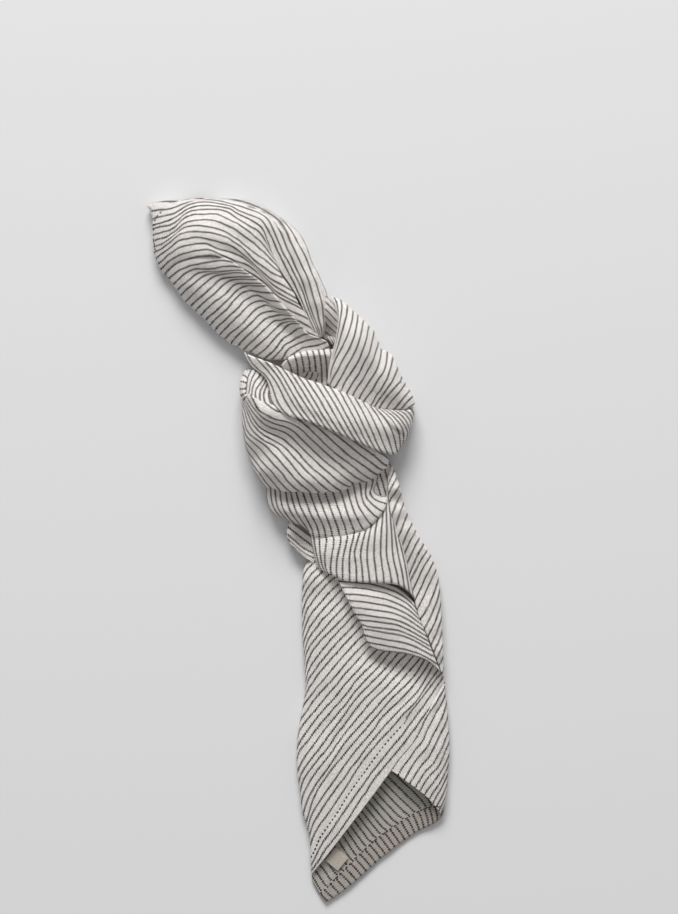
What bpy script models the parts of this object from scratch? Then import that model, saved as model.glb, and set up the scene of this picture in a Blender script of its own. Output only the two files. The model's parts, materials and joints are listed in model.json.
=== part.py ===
"""Linen napkin tied in a loose overhand knot and laid flat: a puffed corner at the top,
the knot, and a tail whose free end is folded over into an open mouth.

The cloth is gathered from corner to corner, so most of it is hidden inside the knot. What
shows is given panel by panel. A panel is a net whose rows follow the woven stripes, and a
list of heights that its surface passes through. Each panel of the knot, the corner and the
upper tail is filled down to the surface it rests on, as wound cloth is. The open end of the
tail is made of separate layers with the mouth between them.

Lengths are in millimetres in the tables and in metres in the scene. X runs to the right,
Y towards the puffed corner, Z up.
"""

import math

import bmesh
import bpy
import numpy as np

MM = 0.001

# The flap and the lower layer of the open end, and the gap that stays between them.
FLAP_THICK = 2.6
BASE_THICK = 2.0
# How far below the resting surface the fill runs before it is cut flat.
SUNK = 2.0
# The edge of a filled panel turns under by this share of its height, up to a limit.
TURN_UNDER = 0.45
TURN_MOST = 3.5
WALL_WIDTH = 2.6

VOXEL = 0.8
TRIANGLES = 8600
FLAT_CUT = 0.3

# The hidden strands: a low one that passes under the whole knot, and the wound heart of it.
LOW_STRAND_HEIGHT = 5.0
LOW_STRAND = (
    (-26, 94), (-18, 99), (0, 104), (13, 110), (16, 123), (21, 121), (28, 115), (35, 107),
    (42, 97), (48, 87), (53, 77), (52, 62), (46, 51), (43, 42), (47, 32), (51, 18), (58, 2),
    (64, -12), (67, -30), (66, -48), (40, -46), (20, -40), (5, -30), (3, -8), (-3, 2),
    (-4, 12), (-12, 21), (-15, 31), (-23, 46), (-27, 62), (-28, 80),
)
HEART_HEIGHT = 15.0
HEART = (
    (-25, 86), (-17, 91), (-6, 87), (6, 81), (20, 76), (33, 71), (45, 67), (49, 61), (44, 53),
    (36, 45), (25, 38), (10, 34), (-6, 34), (-16, 39), (-22, 52), (-26, 68),
)

# The woven label sewn inside the hem of the open end: its corner, two sides and thickness.
LABEL_CORNER = (18.9, -160.2)
LABEL_ALONG = (5.4, 6.6)
LABEL_ACROSS = (-6.4, 5.2)
LABEL_THICK = 0.8
LABEL_GAP = 0.45

# Each row of a net is one stripe: its number, then (x, y) points along it. Neighbouring rows
# have the same number of points, so that a column of them follows a fold.
NETS = {
    "leaf": [
        (-5.0, (
            (-70, 152), (-58, 153), (-46, 155), (-36, 158), (-26, 161), (-17, 164), (-8, 163),
            (-1, 157.5), (4, 150), (8, 142.5), (11.5, 134.5), (14.2, 124), (15.6, 106),
        )),
        (-4.0, (
            (-70, 156), (-58, 157), (-46, 159), (-36, 162), (-26, 166), (-16, 167.5), (-7, 165.3),
            (-1, 159.5), (4.3, 151), (8.5, 142.3), (12, 134), (14.2, 124), (15.4, 106),
        )),
        (-3.0, (
            (-71, 160), (-59, 161), (-47, 163), (-37, 166), (-26, 169.5), (-17, 170.3),
            (-9.5, 167.3), (-3, 160.5), (2, 151.5), (6, 143.5), (10, 134), (12.8, 122), (15.2, 105),
        )),
        (-2.0, (
            (-73, 164), (-61, 165), (-49, 167), (-38, 170), (-28, 172.7), (-19.5, 172.3),
            (-12, 168.3), (-5.5, 161), (-1, 153.5), (3, 144.5), (7, 134), (11, 120), (14.8, 104.6),
        )),
        (-1.0, (
            (-74, 168), (-62, 169), (-50, 171), (-40, 173.5), (-31, 175.2), (-22.5, 173.4),
            (-14.5, 169.3), (-8, 163.5), (-4, 154.5), (0, 144.5), (4.3, 133), (9, 119),
            (14.5, 104.3),
        )),
        (0.0, (
            (-74.3, 171.5), (-62, 173), (-50, 174.5), (-41, 175.8), (-33, 175.9), (-25, 173.8),
            (-17, 170), (-11, 164.8), (-7.5, 155.5), (-4, 145.5), (1, 134), (7, 118.5),
            (14.3, 104.1),
        )),
        (1.0, (
            (-74.6, 174.3), (-62, 175.4), (-51, 176.2), (-43, 176.4), (-36, 175.8), (-28, 172.8),
            (-20, 169), (-14.5, 163), (-11, 153), (-7, 143), (-1.5, 131.5), (5.5, 117), (14.1, 104),
        )),
        (2.0, (
            (-74.2, 170.8), (-62, 171.8), (-51, 174), (-43, 174.6), (-36, 173), (-29, 169.3),
            (-22, 165.8), (-17, 159.5), (-13.5, 151), (-9, 141.5), (-3, 130), (4.5, 115.5),
            (14, 103.9),
        )),
        (3.0, (
            (-74, 166.8), (-62, 168.2), (-51, 171), (-43, 171.4), (-36, 169.6), (-29, 165.6),
            (-22.5, 161), (-18, 154.5), (-14.5, 147.5), (-10, 139), (-4, 128.5), (4, 114.5),
            (13.9, 103.8),
        )),
        (4.0, (
            (-73.9, 163), (-62, 165.2), (-51, 168.2), (-43, 168), (-36, 165.4), (-29, 161.4),
            (-22.5, 156), (-17.5, 149.5), (-13, 142.5), (-8, 134), (-2, 124.5), (5, 113),
            (13.7, 103.6),
        )),
        (5.5, (
            (-73.6, 157.7), (-64, 159.8), (-55, 163.3), (-48, 164.2), (-40, 162.6), (-33, 159.4),
            (-27, 154.6), (-21, 148.9), (-15, 142), (-9, 134), (-2, 123.7), (4.8, 112.9),
            (13.4, 103.4),
        )),
        (7.0, (
            (-73, 151.5), (-66, 154), (-60, 158), (-53, 159.6), (-45, 158.6), (-37, 155.5),
            (-30, 150.9), (-24, 146), (-18, 140.2), (-11, 132.4), (-3.4, 123), (4.4, 112.5),
            (13.1, 103.2),
        )),
        (8.5, (
            (-72, 147), (-66, 150.3), (-59.5, 154.2), (-51, 155), (-44, 153.7), (-36.5, 151.2),
            (-30.5, 148.5), (-25, 144.3), (-19.5, 138.9), (-12.4, 131.4), (-4.6, 122.4), (3.8, 112),
            (13, 103),
        )),
        (10.0, (
            (-70, 141.7), (-65, 146.5), (-58, 149.8), (-50, 150.4), (-43, 149.3), (-36.5, 147.3),
            (-31, 145.4), (-26.2, 142.2), (-20.6, 137.8), (-13.6, 130.9), (-5.6, 122.1),
            (3.2, 111.9), (12.9, 103),
        )),
        (12.0, (
            (-67, 138), (-62, 141.8), (-56, 143.4), (-50, 143.9), (-43, 144.6), (-37, 144.8),
            (-32, 143.6), (-27.4, 141), (-21.4, 137), (-14.4, 130.3), (-6.3, 121.8), (2.7, 111.8),
            (12.8, 103),
        )),
        (13.0, (
            (-66, 137.2), (-61, 140.3), (-55, 141.2), (-50, 141.1), (-43, 141.4), (-36, 141.9),
            (-31, 141.8), (-27.6, 140.4), (-21.7, 136.7), (-14.7, 130), (-6.6, 121.5), (2.4, 111.5),
            (12.8, 103),
        )),
        (14.5, (
            (-63.3, 132.3), (-58, 136.2), (-53, 138.8), (-49, 139.4), (-43, 138.9), (-36, 138.6),
            (-30, 138.8), (-26.4, 138.7), (-21.9, 136.4), (-14.9, 129.7), (-6.8, 121.2),
            (2.2, 111.2), (12.8, 103),
        )),
        (16.5, (
            (-59.2, 127.3), (-54, 131.5), (-49, 135.4), (-45.5, 138), (-41.5, 138.2), (-36, 137.2),
            (-30, 136.9), (-25, 136.8), (-20.8, 134.9), (-14.5, 129), (-6.9, 120.9), (2, 111),
            (12.8, 102.9),
        )),
        (18.5, (
            (-54.3, 121.7), (-49, 126.6), (-44, 131), (-40.5, 134.4), (-37.5, 136.2), (-33, 136.2),
            (-28.5, 135.9), (-23.5, 135.4), (-18.8, 132.9), (-13.4, 127.6), (-6.6, 120.4),
            (2, 110.7), (12.8, 102.9),
        )),
        (20.5, (
            (-49.5, 117), (-44.5, 121.3), (-39.5, 125.6), (-35.5, 129.5), (-33, 132), (-30, 133.6),
            (-26, 133.7), (-20.5, 133), (-16, 130), (-11.6, 125.5), (-5.8, 119.4), (2.3, 110.3),
            (12.8, 102.8),
        )),
        (22.5, (
            (-44, 112.3), (-39, 116.5), (-33.5, 121), (-29.5, 124.6), (-27, 127.8), (-24.5, 129.4),
            (-21, 129), (-16, 128.6), (-12.2, 126), (-8.8, 122.2), (-4.3, 117.4), (3, 109.8),
            (12.8, 102.8),
        )),
        (24.5, (
            (-39.3, 107.6), (-34, 112), (-28.5, 116.6), (-24.5, 120.2), (-22, 123), (-19.5, 124.4),
            (-16, 124.3), (-12, 123.6), (-8.8, 121.2), (-6, 118.6), (-2.4, 115.2), (4, 109),
            (12.9, 102.7),
        )),
        (26.5, (
            (-33.5, 103.2), (-28.5, 107.2), (-23.5, 111.6), (-20, 115.2), (-17.8, 117.7),
            (-15.5, 119), (-12, 119.4), (-8.4, 119.2), (-5.4, 117.2), (-3, 114.8), (0.3, 112),
            (5.6, 107.6), (13, 102.6),
        )),
        (28.5, (
            (-27, 100.3), (-22.5, 104), (-17.5, 108.2), (-13.5, 111.6), (-11, 113.2), (-8, 114.6),
            (-5, 115.3), (-2, 115), (0.4, 113.6), (2.2, 111.8), (4.2, 109.7), (7.6, 106.4),
            (13.2, 102.4),
        )),
        (30.5, (
            (-19.5, 97.6), (-15.5, 101), (-11.5, 104.7), (-8.5, 107.6), (-6, 109.2), (-3.5, 110.3),
            (-1, 110.8), (2, 110.4), (4.2, 109.5), (5.8, 108.4), (7.4, 107), (9.8, 104.9),
            (13.6, 102.2),
        )),
        (32.5, (
            (-13.4, 94.8), (-10.5, 97.6), (-8.2, 100.6), (-6.5, 102.8), (-4.5, 104.5), (-2, 105.7),
            (0.5, 106.1), (3.5, 105.9), (6.5, 105.7), (8.5, 105.2), (10, 104.5), (11.8, 103.4),
            (14, 102),
        )),
        (34.0, (
            (-10, 92.6), (-8, 95), (-6.3, 97.6), (-4.5, 99.8), (-2, 101.6), (0.5, 102.8),
            (3.5, 103), (6.5, 102.6), (9, 102.6), (10.8, 102.6), (12.2, 102.4), (13.4, 102),
            (14.6, 101.6),
        )),
        (35.5, (
            (-8, 91.5), (-6, 93.4), (-4, 95.4), (-2, 97.3), (0, 98.7), (2.5, 99.6), (5, 100),
            (7.5, 100.2), (10, 100.5), (11.8, 100.8), (13.2, 101), (14.4, 101), (15.4, 101),
        )),
    ],
    "over": [
        (-1.0, (
            (15.2, 127.6), (17.4, 123.5), (18.6, 118.5), (19, 112.5), (17.8, 105), (15.8, 98),
            (14.4, 90), (13.9, 84.5),
        )),
        (0.0, (
            (17.2, 127.3), (19.2, 123), (19.8, 118), (19.7, 112.5), (18.4, 105), (16.6, 98),
            (15, 90), (14.4, 84.3),
        )),
        (1.0, (
            (20.5, 125.7), (21.2, 121.5), (21, 116.5), (20.3, 111.5), (19, 104.5), (17.3, 97.5),
            (15.8, 90), (15, 84),
        )),
        (2.0, (
            (24, 122.8), (23.6, 118.5), (22.8, 113.5), (21.8, 108.5), (20.2, 102), (18.4, 95.5),
            (16.8, 89.5), (15.6, 83.4),
        )),
        (3.0, (
            (26.8, 120.3), (26.5, 116.5), (25.9, 112), (24.8, 107), (22.9, 101), (20.6, 94.7),
            (18.4, 88.5), (16.7, 82.8),
        )),
        (4.0, (
            (29.6, 117.7), (29.1, 114), (28.3, 109.5), (27, 104.5), (25, 98.5), (22.6, 92.5),
            (20.2, 87), (18.2, 82.2),
        )),
        (5.0, (
            (32.1, 115.4), (31.6, 111.5), (30.6, 107), (29, 101.5), (26.8, 95.7), (24.3, 90.3),
            (21.8, 84.8), (20.3, 81),
        )),
        (6.0, (
            (34.6, 112.6), (34.2, 109), (33.4, 104.5), (32, 99), (29.7, 93.3), (27.1, 88),
            (24.6, 83.2), (22.6, 79.4),
        )),
        (7.0, (
            (37, 110), (36.6, 106.5), (35.8, 102), (34.3, 96.7), (32.1, 91.5), (29.6, 86.8),
            (27.5, 82), (26, 77.7),
        )),
        (8.0, (
            (39.3, 104), (38.8, 100.5), (38, 96.8), (36.6, 92.5), (34.4, 88), (32.3, 83.8),
            (30.6, 80), (29.4, 76.6),
        )),
        (9.0, (
            (41, 101.2), (41.3, 97.7), (40.8, 94), (39.6, 90), (37.9, 86), (35.8, 81.6), (34, 78),
            (32.5, 75.2),
        )),
        (10.0, (
            (43.6, 100.2), (43.6, 96.8), (43.1, 93), (42.1, 88.6), (40.6, 84.4), (38.7, 80.3),
            (37, 76.8), (35.6, 73.8),
        )),
        (11.0, (
            (46.5, 97.3), (46.3, 94), (45.5, 90.4), (44.1, 86.4), (42.5, 82.6), (40.9, 78.9),
            (39, 75.7), (37.4, 72.9),
        )),
        (12.0, (
            (48.5, 92.8), (48, 90), (47, 86.9), (45.7, 83.7), (44.3, 80.6), (42.8, 77.6),
            (41, 74.8), (39.3, 72.4),
        )),
        (13.0, (
            (50.6, 88.2), (49.8, 85.8), (48.6, 83.3), (47.2, 81), (45.8, 78.8), (44.4, 76.6),
            (43, 74.4), (41.8, 72.1),
        )),
        (14.0, (
            (52.6, 84.8), (51.4, 82.8), (50, 80.8), (48.6, 78.9), (47.3, 77.1), (46.2, 75.4),
            (45, 73.7), (44, 71.9),
        )),
        (15.0, (
            (54.5, 81.3), (53.2, 79.8), (51.9, 78.2), (50.7, 76.7), (49.6, 75.3), (48.7, 74),
            (47.7, 72.8), (47, 71.6),
        )),
        (16.0, (
            (56.1, 78), (55, 77), (53.9, 76), (52.8, 75), (51.9, 74), (51.1, 73.1), (50.4, 72.2),
            (49.8, 71.4),
        )),
        (17.0, (
            (57.4, 74), (56.5, 73.6), (55.7, 73.2), (55, 72.8), (54.4, 72.3), (53.9, 71.9),
            (53.4, 71.5), (53, 71.1),
        )),
    ],
    "wrap": [
        (-1.0, (
            (-28, 100.2), (-26.6, 95.8), (-23.8, 92), (-20.2, 89.6), (-17, 86.4), (-15.4, 82),
            (-14.6, 77.5), (-13.2, 73.8), (-10.4, 70.6), (-7, 68.2),
        )),
        (0.0, (
            (-26.4, 99), (-24.2, 94.8), (-20.8, 91.2), (-17.4, 88.5), (-14.8, 85), (-13.1, 81),
            (-11.8, 77), (-10, 73.3), (-7.6, 70), (-4.8, 67.3),
        )),
        (1.0, (
            (-21.8, 97), (-18.8, 93.4), (-15.6, 90), (-13, 86.6), (-10.8, 83), (-8.9, 79.4),
            (-7.2, 75.8), (-5.3, 72.3), (-2.9, 69), (-0.6, 66.4),
        )),
        (2.0, (
            (-17.4, 95.4), (-14.4, 91.9), (-11.6, 88.5), (-9.3, 85), (-7.3, 81.5), (-5.4, 77.9),
            (-3.5, 74.4), (-1.3, 71), (1.1, 67.7), (3.4, 65),
        )),
        (3.0, (
            (-13, 93.6), (-10.3, 90.2), (-8, 86.8), (-6, 83.3), (-4, 79.9), (-2.1, 76.5), (0, 73.1),
            (2.2, 69.8), (4.5, 66.7), (6.8, 63.8),
        )),
        (4.0, (
            (-8.6, 91.4), (-6.2, 88.2), (-4, 84.8), (-2, 81.3), (0, 78), (2, 74.8), (4.1, 71.6),
            (6.2, 68.5), (8.2, 65.4), (10.2, 62.6),
        )),
        (5.0, (
            (-4.7, 89.6), (-2.4, 86.2), (-0.3, 82.9), (1.8, 79.6), (3.8, 76.3), (5.8, 73.1),
            (7.8, 69.9), (9.8, 66.8), (11.8, 63.8), (13.6, 61.2),
        )),
        (6.0, (
            (-0.8, 87.7), (1.4, 84.5), (3.6, 81.2), (5.7, 77.9), (7.6, 74.6), (9.5, 71.3),
            (11.4, 68.1), (13.4, 65), (15.4, 62), (17.2, 59.6),
        )),
        (7.0, (
            (3.2, 86.1), (5.3, 83), (7.4, 79.8), (9.5, 76.5), (11.4, 73.2), (13.3, 69.9),
            (15.2, 66.6), (17.2, 63.4), (19.2, 60.4), (21, 58),
        )),
        (8.0, (
            (7.3, 84.9), (9.4, 81.8), (11.4, 78.6), (13.4, 75.3), (15.3, 71.9), (17.2, 68.5),
            (19.1, 65.1), (21.1, 61.8), (23, 58.8), (24.7, 56.4),
        )),
        (9.0, (
            (11.3, 83.5), (13.3, 80.4), (15.3, 77.2), (17.3, 73.8), (19.2, 70.4), (21.1, 66.9),
            (23, 63.5), (24.9, 60.1), (26.8, 57), (28.5, 54.7),
        )),
        (10.0, (
            (15.3, 82), (17.2, 78.9), (19.2, 75.5), (21.1, 72), (23, 68.5), (24.9, 65),
            (26.7, 61.6), (28.6, 58.2), (30.4, 55.2), (32, 53),
        )),
        (11.0, (
            (19.3, 80.7), (21.2, 77.5), (23.1, 74), (25, 70.5), (26.8, 67), (28.6, 63.5),
            (30.3, 60), (32, 56.7), (33.7, 53.8), (35.2, 51.7),
        )),
        (12.0, (
            (23.2, 79), (25.1, 75.9), (26.9, 72.5), (28.7, 69), (30.4, 65.5), (32, 62),
            (33.6, 58.7), (35.2, 55.4), (36.8, 52.5), (38.2, 50.5),
        )),
        (13.0, (
            (27.1, 77.2), (29, 74), (30.8, 70.7), (32.5, 67.3), (34.1, 63.9), (35.6, 60.5),
            (37, 57.2), (38.4, 54.1), (39.8, 51.4), (41, 49.6),
        )),
        (14.0, (
            (31, 75.3), (32.9, 72.2), (34.8, 69), (36.5, 65.7), (38, 62.4), (39.4, 59.2),
            (40.7, 56.1), (41.9, 53.2), (43, 50.7), (43.9, 49),
        )),
        (15.0, (
            (34.6, 73.6), (36.5, 70.8), (38.5, 67.9), (40.3, 64.8), (41.8, 61.8), (43.1, 58.7),
            (44.2, 55.8), (45.1, 53), (45.9, 50.5), (46.6, 48.6),
        )),
        (16.0, (
            (37.5, 72), (39.6, 69.7), (41.9, 67.1), (43.8, 64.3), (45.3, 61.5), (46.4, 58.8),
            (47.1, 56.2), (47.7, 53.7), (48.2, 51.6), (48.7, 50),
        )),
        (17.0, (
            (39.4, 71.6), (42, 69.6), (44.8, 67), (46.9, 64.2), (48.4, 61.5), (49.3, 59.1),
            (49.7, 56.9), (49.9, 55), (50, 53.4), (50.1, 52.1),
        )),
        (18.0, (
            (41.3, 71.5), (44.2, 69.5), (47.2, 66.9), (49.4, 64.2), (50.9, 61.6), (51.6, 59.5),
            (51.7, 57.7), (51.6, 56.2), (51.4, 55), (51.3, 54),
        )),
        (19.0, (
            (43.6, 71.3), (46.6, 69.3), (49.6, 66.7), (51.7, 64), (53.1, 61.4), (53.7, 59.7),
            (53.7, 58.3), (53.4, 57.2), (53, 56.3), (52.7, 55.6),
        )),
        (20.5, (
            (47.5, 71), (50.2, 69.5), (52.4, 67.5), (54, 65.1), (54.8, 62.8), (55, 61.2),
            (54.9, 60), (54.7, 59.1), (54.4, 58.3), (54.1, 57.7),
        )),
        (22.0, (
            (52, 70.9), (53.8, 69.9), (55.2, 68.4), (56, 66.7), (56.2, 65), (56.1, 63.8),
            (55.9, 62.8), (55.7, 62), (55.4, 61.3), (55.1, 60.8),
        )),
        (23.5, (
            (56.6, 72.4), (57, 71.5), (57.2, 70.4), (57.2, 69.2), (57, 68), (56.8, 67.1),
            (56.6, 66.3), (56.4, 65.6), (56.2, 65), (56, 64.5),
        )),
    ],
    "front": [
        (-3.0, (
            (-14.4, 86), (-13.8, 82), (-13, 78), (-11.8, 74.5), (-8.6, 70.8), (-3.6, 68),
            (2.4, 65.6), (9.6, 62.4), (18.5, 58.6), (28, 54.6), (36, 51.2), (44, 48.4),
        )),
        (-2.0, (
            (-16.4, 88), (-15.9, 84), (-15.3, 79.8), (-13.9, 75.6), (-10.4, 71.2), (-5, 67.6),
            (1.4, 65), (9, 61.5), (18.3, 57.4), (28, 53.2), (36.2, 50), (44, 47.4),
        )),
        (-1.0, (
            (-18.4, 88.8), (-18, 84.6), (-17.5, 79.8), (-16.2, 75), (-12.4, 70), (-6.6, 66.8),
            (0.4, 64.3), (8.4, 60.4), (18, 56), (28, 51.8), (36.5, 48.5), (44, 46.3),
        )),
        (0.0, (
            (-20.6, 89.8), (-20.3, 85), (-20, 80), (-18.6, 74.6), (-14.6, 69), (-8.4, 66),
            (-1.4, 63.5), (7.4, 59.3), (17.6, 54.6), (27.8, 50.2), (36.6, 46.9), (44, 44.9),
        )),
        (1.0, (
            (-22.9, 90.6), (-22.9, 85.4), (-22.5, 80), (-21, 74), (-16.9, 68.2), (-10.4, 65),
            (-3.4, 62.5), (6, 57.9), (16.8, 52.8), (27.2, 48.3), (36.4, 44.8), (43.3, 43.2),
        )),
        (2.0, (
            (-25.2, 91), (-25.6, 85.4), (-25.2, 79.8), (-23.6, 73.3), (-19.2, 66.8), (-12.6, 63.5),
            (-5.4, 61), (4.4, 55.9), (15.2, 50.5), (25.8, 45.9), (35, 42.5), (41.4, 41.2),
        )),
        (3.0, (
            (-27.4, 89.6), (-28.2, 84.6), (-27.8, 78.6), (-26, 71.8), (-21.6, 64.6), (-14.8, 61.2),
            (-7.6, 58.4), (2, 52.9), (12.8, 47.6), (23.4, 43), (32.4, 39.9), (38.4, 38.9),
        )),
        (4.0, (
            (-29.3, 86.6), (-29.9, 82), (-29.5, 75.8), (-27.7, 69), (-23.4, 61.8), (-17, 58.4),
            (-10, 55.2), (-0.8, 49.7), (9.6, 44.4), (19.8, 40), (28.4, 37.2), (34.4, 36.7),
        )),
        (5.0, (
            (-30, 82), (-30, 77.6), (-29.4, 71.6), (-27.8, 65.2), (-24, 58.8), (-18.4, 55.4),
            (-12.2, 51.8), (-3.8, 46.2), (5.8, 41), (15.2, 36.8), (23, 34.5), (28.6, 34.8),
        )),
        (6.0, (
            (-29.8, 75), (-29.6, 71.2), (-28.9, 66.2), (-27.4, 60.8), (-24, 55.4), (-19.4, 52.2),
            (-14.2, 48.4), (-7, 43), (1.4, 38.2), (9.6, 34.5), (16.4, 32.4), (21.4, 31.2),
        )),
        (7.0, (
            (-29.5, 68), (-29.1, 65), (-28.2, 60.8), (-26.6, 56), (-23.6, 51.6), (-19.8, 48.6),
            (-15.6, 44.8), (-9.8, 40.2), (-3, 36), (3.6, 32.9), (9, 31.1), (13.4, 30.2),
        )),
        (8.0, (
            (-29.1, 62), (-28.6, 59.3), (-27.5, 55.6), (-25.8, 51.6), (-23, 47.8), (-19.9, 44.9),
            (-16.6, 41.4), (-12.2, 37.6), (-7, 34.3), (-2, 32), (2.4, 30.9), (6, 30.2),
        )),
        (9.0, (
            (-28, 56), (-27.4, 53.6), (-26.3, 50.6), (-24.6, 47), (-22.1, 43.8), (-19.6, 41.2),
            (-17, 38.4), (-13.8, 35.6), (-10.2, 33.4), (-6.8, 31.9), (-3.6, 31), (-1, 30.5),
        )),
        (10.0, (
            (-26.4, 51.4), (-25.8, 49.4), (-24.6, 46.6), (-23, 43.4), (-21.1, 40.6), (-19.2, 38.4),
            (-17.3, 36.3), (-15.2, 34.4), (-12.9, 33), (-10.8, 32), (-8.8, 31.3), (-7, 30.8),
        )),
        (11.0, (
            (-24, 46.2), (-23.5, 44.6), (-22.6, 42.4), (-21.4, 39.9), (-20.1, 37.8), (-18.9, 36.2),
            (-17.8, 34.8), (-16.7, 33.7), (-15.6, 32.8), (-14.5, 32.1), (-13.5, 31.6),
            (-12.5, 31.2),
        )),
        (12.0, (
            (-21.6, 40.8), (-21.2, 39.9), (-20.6, 38.6), (-19.9, 37.2), (-19.2, 36), (-18.6, 35),
            (-18, 34.2), (-17.5, 33.5), (-17, 32.9), (-16.6, 32.4), (-16.3, 32.1), (-16, 31.9),
        )),
    ],
    "under": [
        (0.0, (
            (-16.8, 33), (-17, 30.5), (-16.9, 27.5), (-16.2, 24), (-14.9, 21), (-13, 18.8),
            (-11, 17.4), (-9.4, 16.6),
        )),
        (1.0, (
            (-14.6, 33), (-14.6, 30.5), (-14.4, 27), (-13.6, 23.5), (-12, 20.3), (-10, 17.9),
            (-8, 16.4), (-6.4, 15.6),
        )),
        (2.0, (
            (-12.4, 33), (-12.4, 30.3), (-12.1, 26.8), (-11.1, 22.8), (-9.3, 19.3), (-7.3, 16.9),
            (-5.4, 15.4), (-3.8, 14.7),
        )),
        (3.0, (
            (-9.8, 33), (-9.9, 30), (-9.6, 26.4), (-8.5, 22.2), (-6.6, 18.6), (-4.7, 16.2),
            (-2.8, 14.6), (-1, 13.9),
        )),
        (4.0, (
            (-7, 32.5), (-7, 29.8), (-6.5, 26), (-5.2, 21.6), (-3.2, 17.9), (-1.4, 15.4),
            (0.6, 13.4), (2.4, 12),
        )),
        (5.0, (
            (-5, 32), (-4.5, 29.2), (-3.6, 25.6), (-2, 21), (0, 17.2), (1.7, 14.6), (3.4, 12),
            (4.6, 9.4),
        )),
        (6.0, (
            (-2.4, 32), (-1.6, 29), (-0.5, 25.3), (1.3, 20.6), (3.3, 16.7), (5, 13.6), (6.2, 10.6),
            (6.7, 7.4),
        )),
        (7.0, (
            (0.9, 32), (1.8, 29), (3, 25.2), (4.9, 20.4), (6.9, 16.3), (8.5, 12.8), (9.4, 9.8),
            (9.7, 7),
        )),
        (8.0, (
            (4.4, 32), (5.3, 29), (6.6, 25.2), (8.4, 20.3), (10.3, 16.1), (11.9, 12.3), (12.7, 9.5),
            (12.8, 6.9),
        )),
        (9.0, (
            (8, 32), (9, 29), (10.4, 25.1), (12.2, 20.2), (14, 15.8), (15.4, 11.9), (16, 9.2),
            (16.2, 6.9),
        )),
        (10.0, (
            (11.8, 32), (12.8, 29), (14.2, 25), (16, 20), (17.7, 15.6), (19, 11.8), (19.6, 9.2),
            (19.8, 7.2),
        )),
        (11.0, (
            (15.8, 32), (16.8, 29), (18.1, 25), (19.9, 19.9), (21.4, 15.6), (22.6, 12), (23.2, 9.8),
            (23.5, 8.2),
        )),
        (12.0, (
            (19.6, 32.4), (20.6, 29.6), (21.8, 25.6), (23.5, 20.2), (25, 16), (26.2, 12.8),
            (27, 10.8), (27.4, 9.6),
        )),
        (13.0, (
            (23, 33.6), (23.9, 30.6), (25, 26.4), (26.7, 21), (28.5, 17), (30, 14), (31.2, 12.2),
            (32, 11),
        )),
        (14.0, (
            (26.2, 35), (27, 31.8), (27.8, 27.8), (29.2, 23), (31.4, 19.3), (33.4, 16.4),
            (34.8, 14.6), (35.8, 13.6),
        )),
        (15.0, (
            (29.4, 36.6), (30.2, 33), (30.6, 29.2), (31.6, 25), (34, 21.6), (36.4, 19.1),
            (38, 17.8), (39, 17),
        )),
        (16.0, (
            (32.6, 37.6), (33.2, 34.4), (32.8, 31), (33.2, 27.4), (35.6, 24.4), (38.2, 22.2),
            (40.2, 21), (41.6, 20.2),
        )),
        (17.0, (
            (35.6, 38.6), (36.4, 35.8), (35.8, 32.4), (35, 29.6), (36.6, 27), (39.2, 25.4),
            (41.8, 24.6), (43.4, 24),
        )),
        (18.0, (
            (38.4, 40.4), (39, 37.6), (38.4, 34.6), (37, 32), (37.6, 29.6), (39.8, 28.2),
            (42.4, 28), (44.2, 28.2),
        )),
    ],
    "middle": [
        (-1.0, ((5, 9.5), (5.4, 6.5), (6, 3), (6.8, 0), (7.6, -3), (8.4, -6), (9.4, -8.4), (10.4, -9.6))),
        (0.0, ((6.6, 9.5), (7, 6.5), (7.5, 3), (8, 0), (8.6, -3), (9.3, -5.8), (10.2, -8.2), (11.2, -9.6))),
        (1.0, ((9.6, 9.5), (9.7, 6.5), (9.8, 3), (10, 0), (10.4, -3), (11, -6), (11.8, -8.4), (12.8, -10))),
        (2.0, (
            (13, 9.5), (13.2, 6.5), (13, 3.3), (12.6, 0), (12.4, -3), (12.5, -6), (13, -8.6),
            (13.8, -10.6),
        )),
        (3.0, (
            (16.4, 9.5), (16.8, 6.5), (16.8, 3.3), (16.2, 0), (15.6, -3.2), (15.3, -6.4),
            (15.4, -9), (15.8, -11.6),
        )),
        (4.0, (
            (20, 9.8), (20.3, 6.8), (20, 3.5), (19.2, 0), (18.5, -3.4), (18.2, -6.8), (18.2, -9.8),
            (18.5, -12.7),
        )),
        (5.0, (
            (23.6, 10.6), (23.6, 7.4), (23, 3.8), (22.2, 0.2), (21.5, -3.6), (21.3, -7.4),
            (21.3, -10.8), (21.4, -14.2),
        )),
        (6.0, (
            (27.2, 12), (26.9, 8.4), (26, 4.4), (25, 0.4), (24.6, -3.6), (24.7, -7.6),
            (24.8, -11.2), (24.8, -14.7),
        )),
        (7.0, (
            (30.4, 13.4), (29.8, 9.6), (28.4, 5), (27.3, 0.6), (27.6, -3.6), (28.1, -7.6),
            (28.2, -11.2), (28.2, -14.9),
        )),
        (8.0, (
            (33.6, 15), (32.9, 11), (31.5, 6), (30.4, 1), (30.4, -3.6), (30.9, -7.6), (31.3, -11.4),
            (31.5, -15.1),
        )),
        (9.0, (
            (36.4, 17.4), (35.6, 13), (34.4, 7.6), (33.6, 2), (33.4, -3), (33.9, -7.4),
            (34.5, -11.4), (34.9, -15.2),
        )),
        (10.0, (
            (39.4, 20.4), (38.5, 15.6), (37.4, 9.4), (37, 3), (37, -2.6), (37.6, -7.2),
            (38.1, -11.4), (38.4, -15.3),
        )),
        (11.0, (
            (41.6, 24), (41.3, 18.4), (40.7, 11.4), (40.3, 4), (40.3, -2.2), (41, -7),
            (41.6, -11.4), (41.9, -15.4),
        )),
        (12.0, (
            (43, 28.4), (43.1, 21.6), (43.3, 13.4), (43.2, 5.2), (43.2, -1.6), (44.3, -6.8),
            (45.2, -11.4), (45.7, -15.7),
        )),
        (13.0, (
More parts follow.
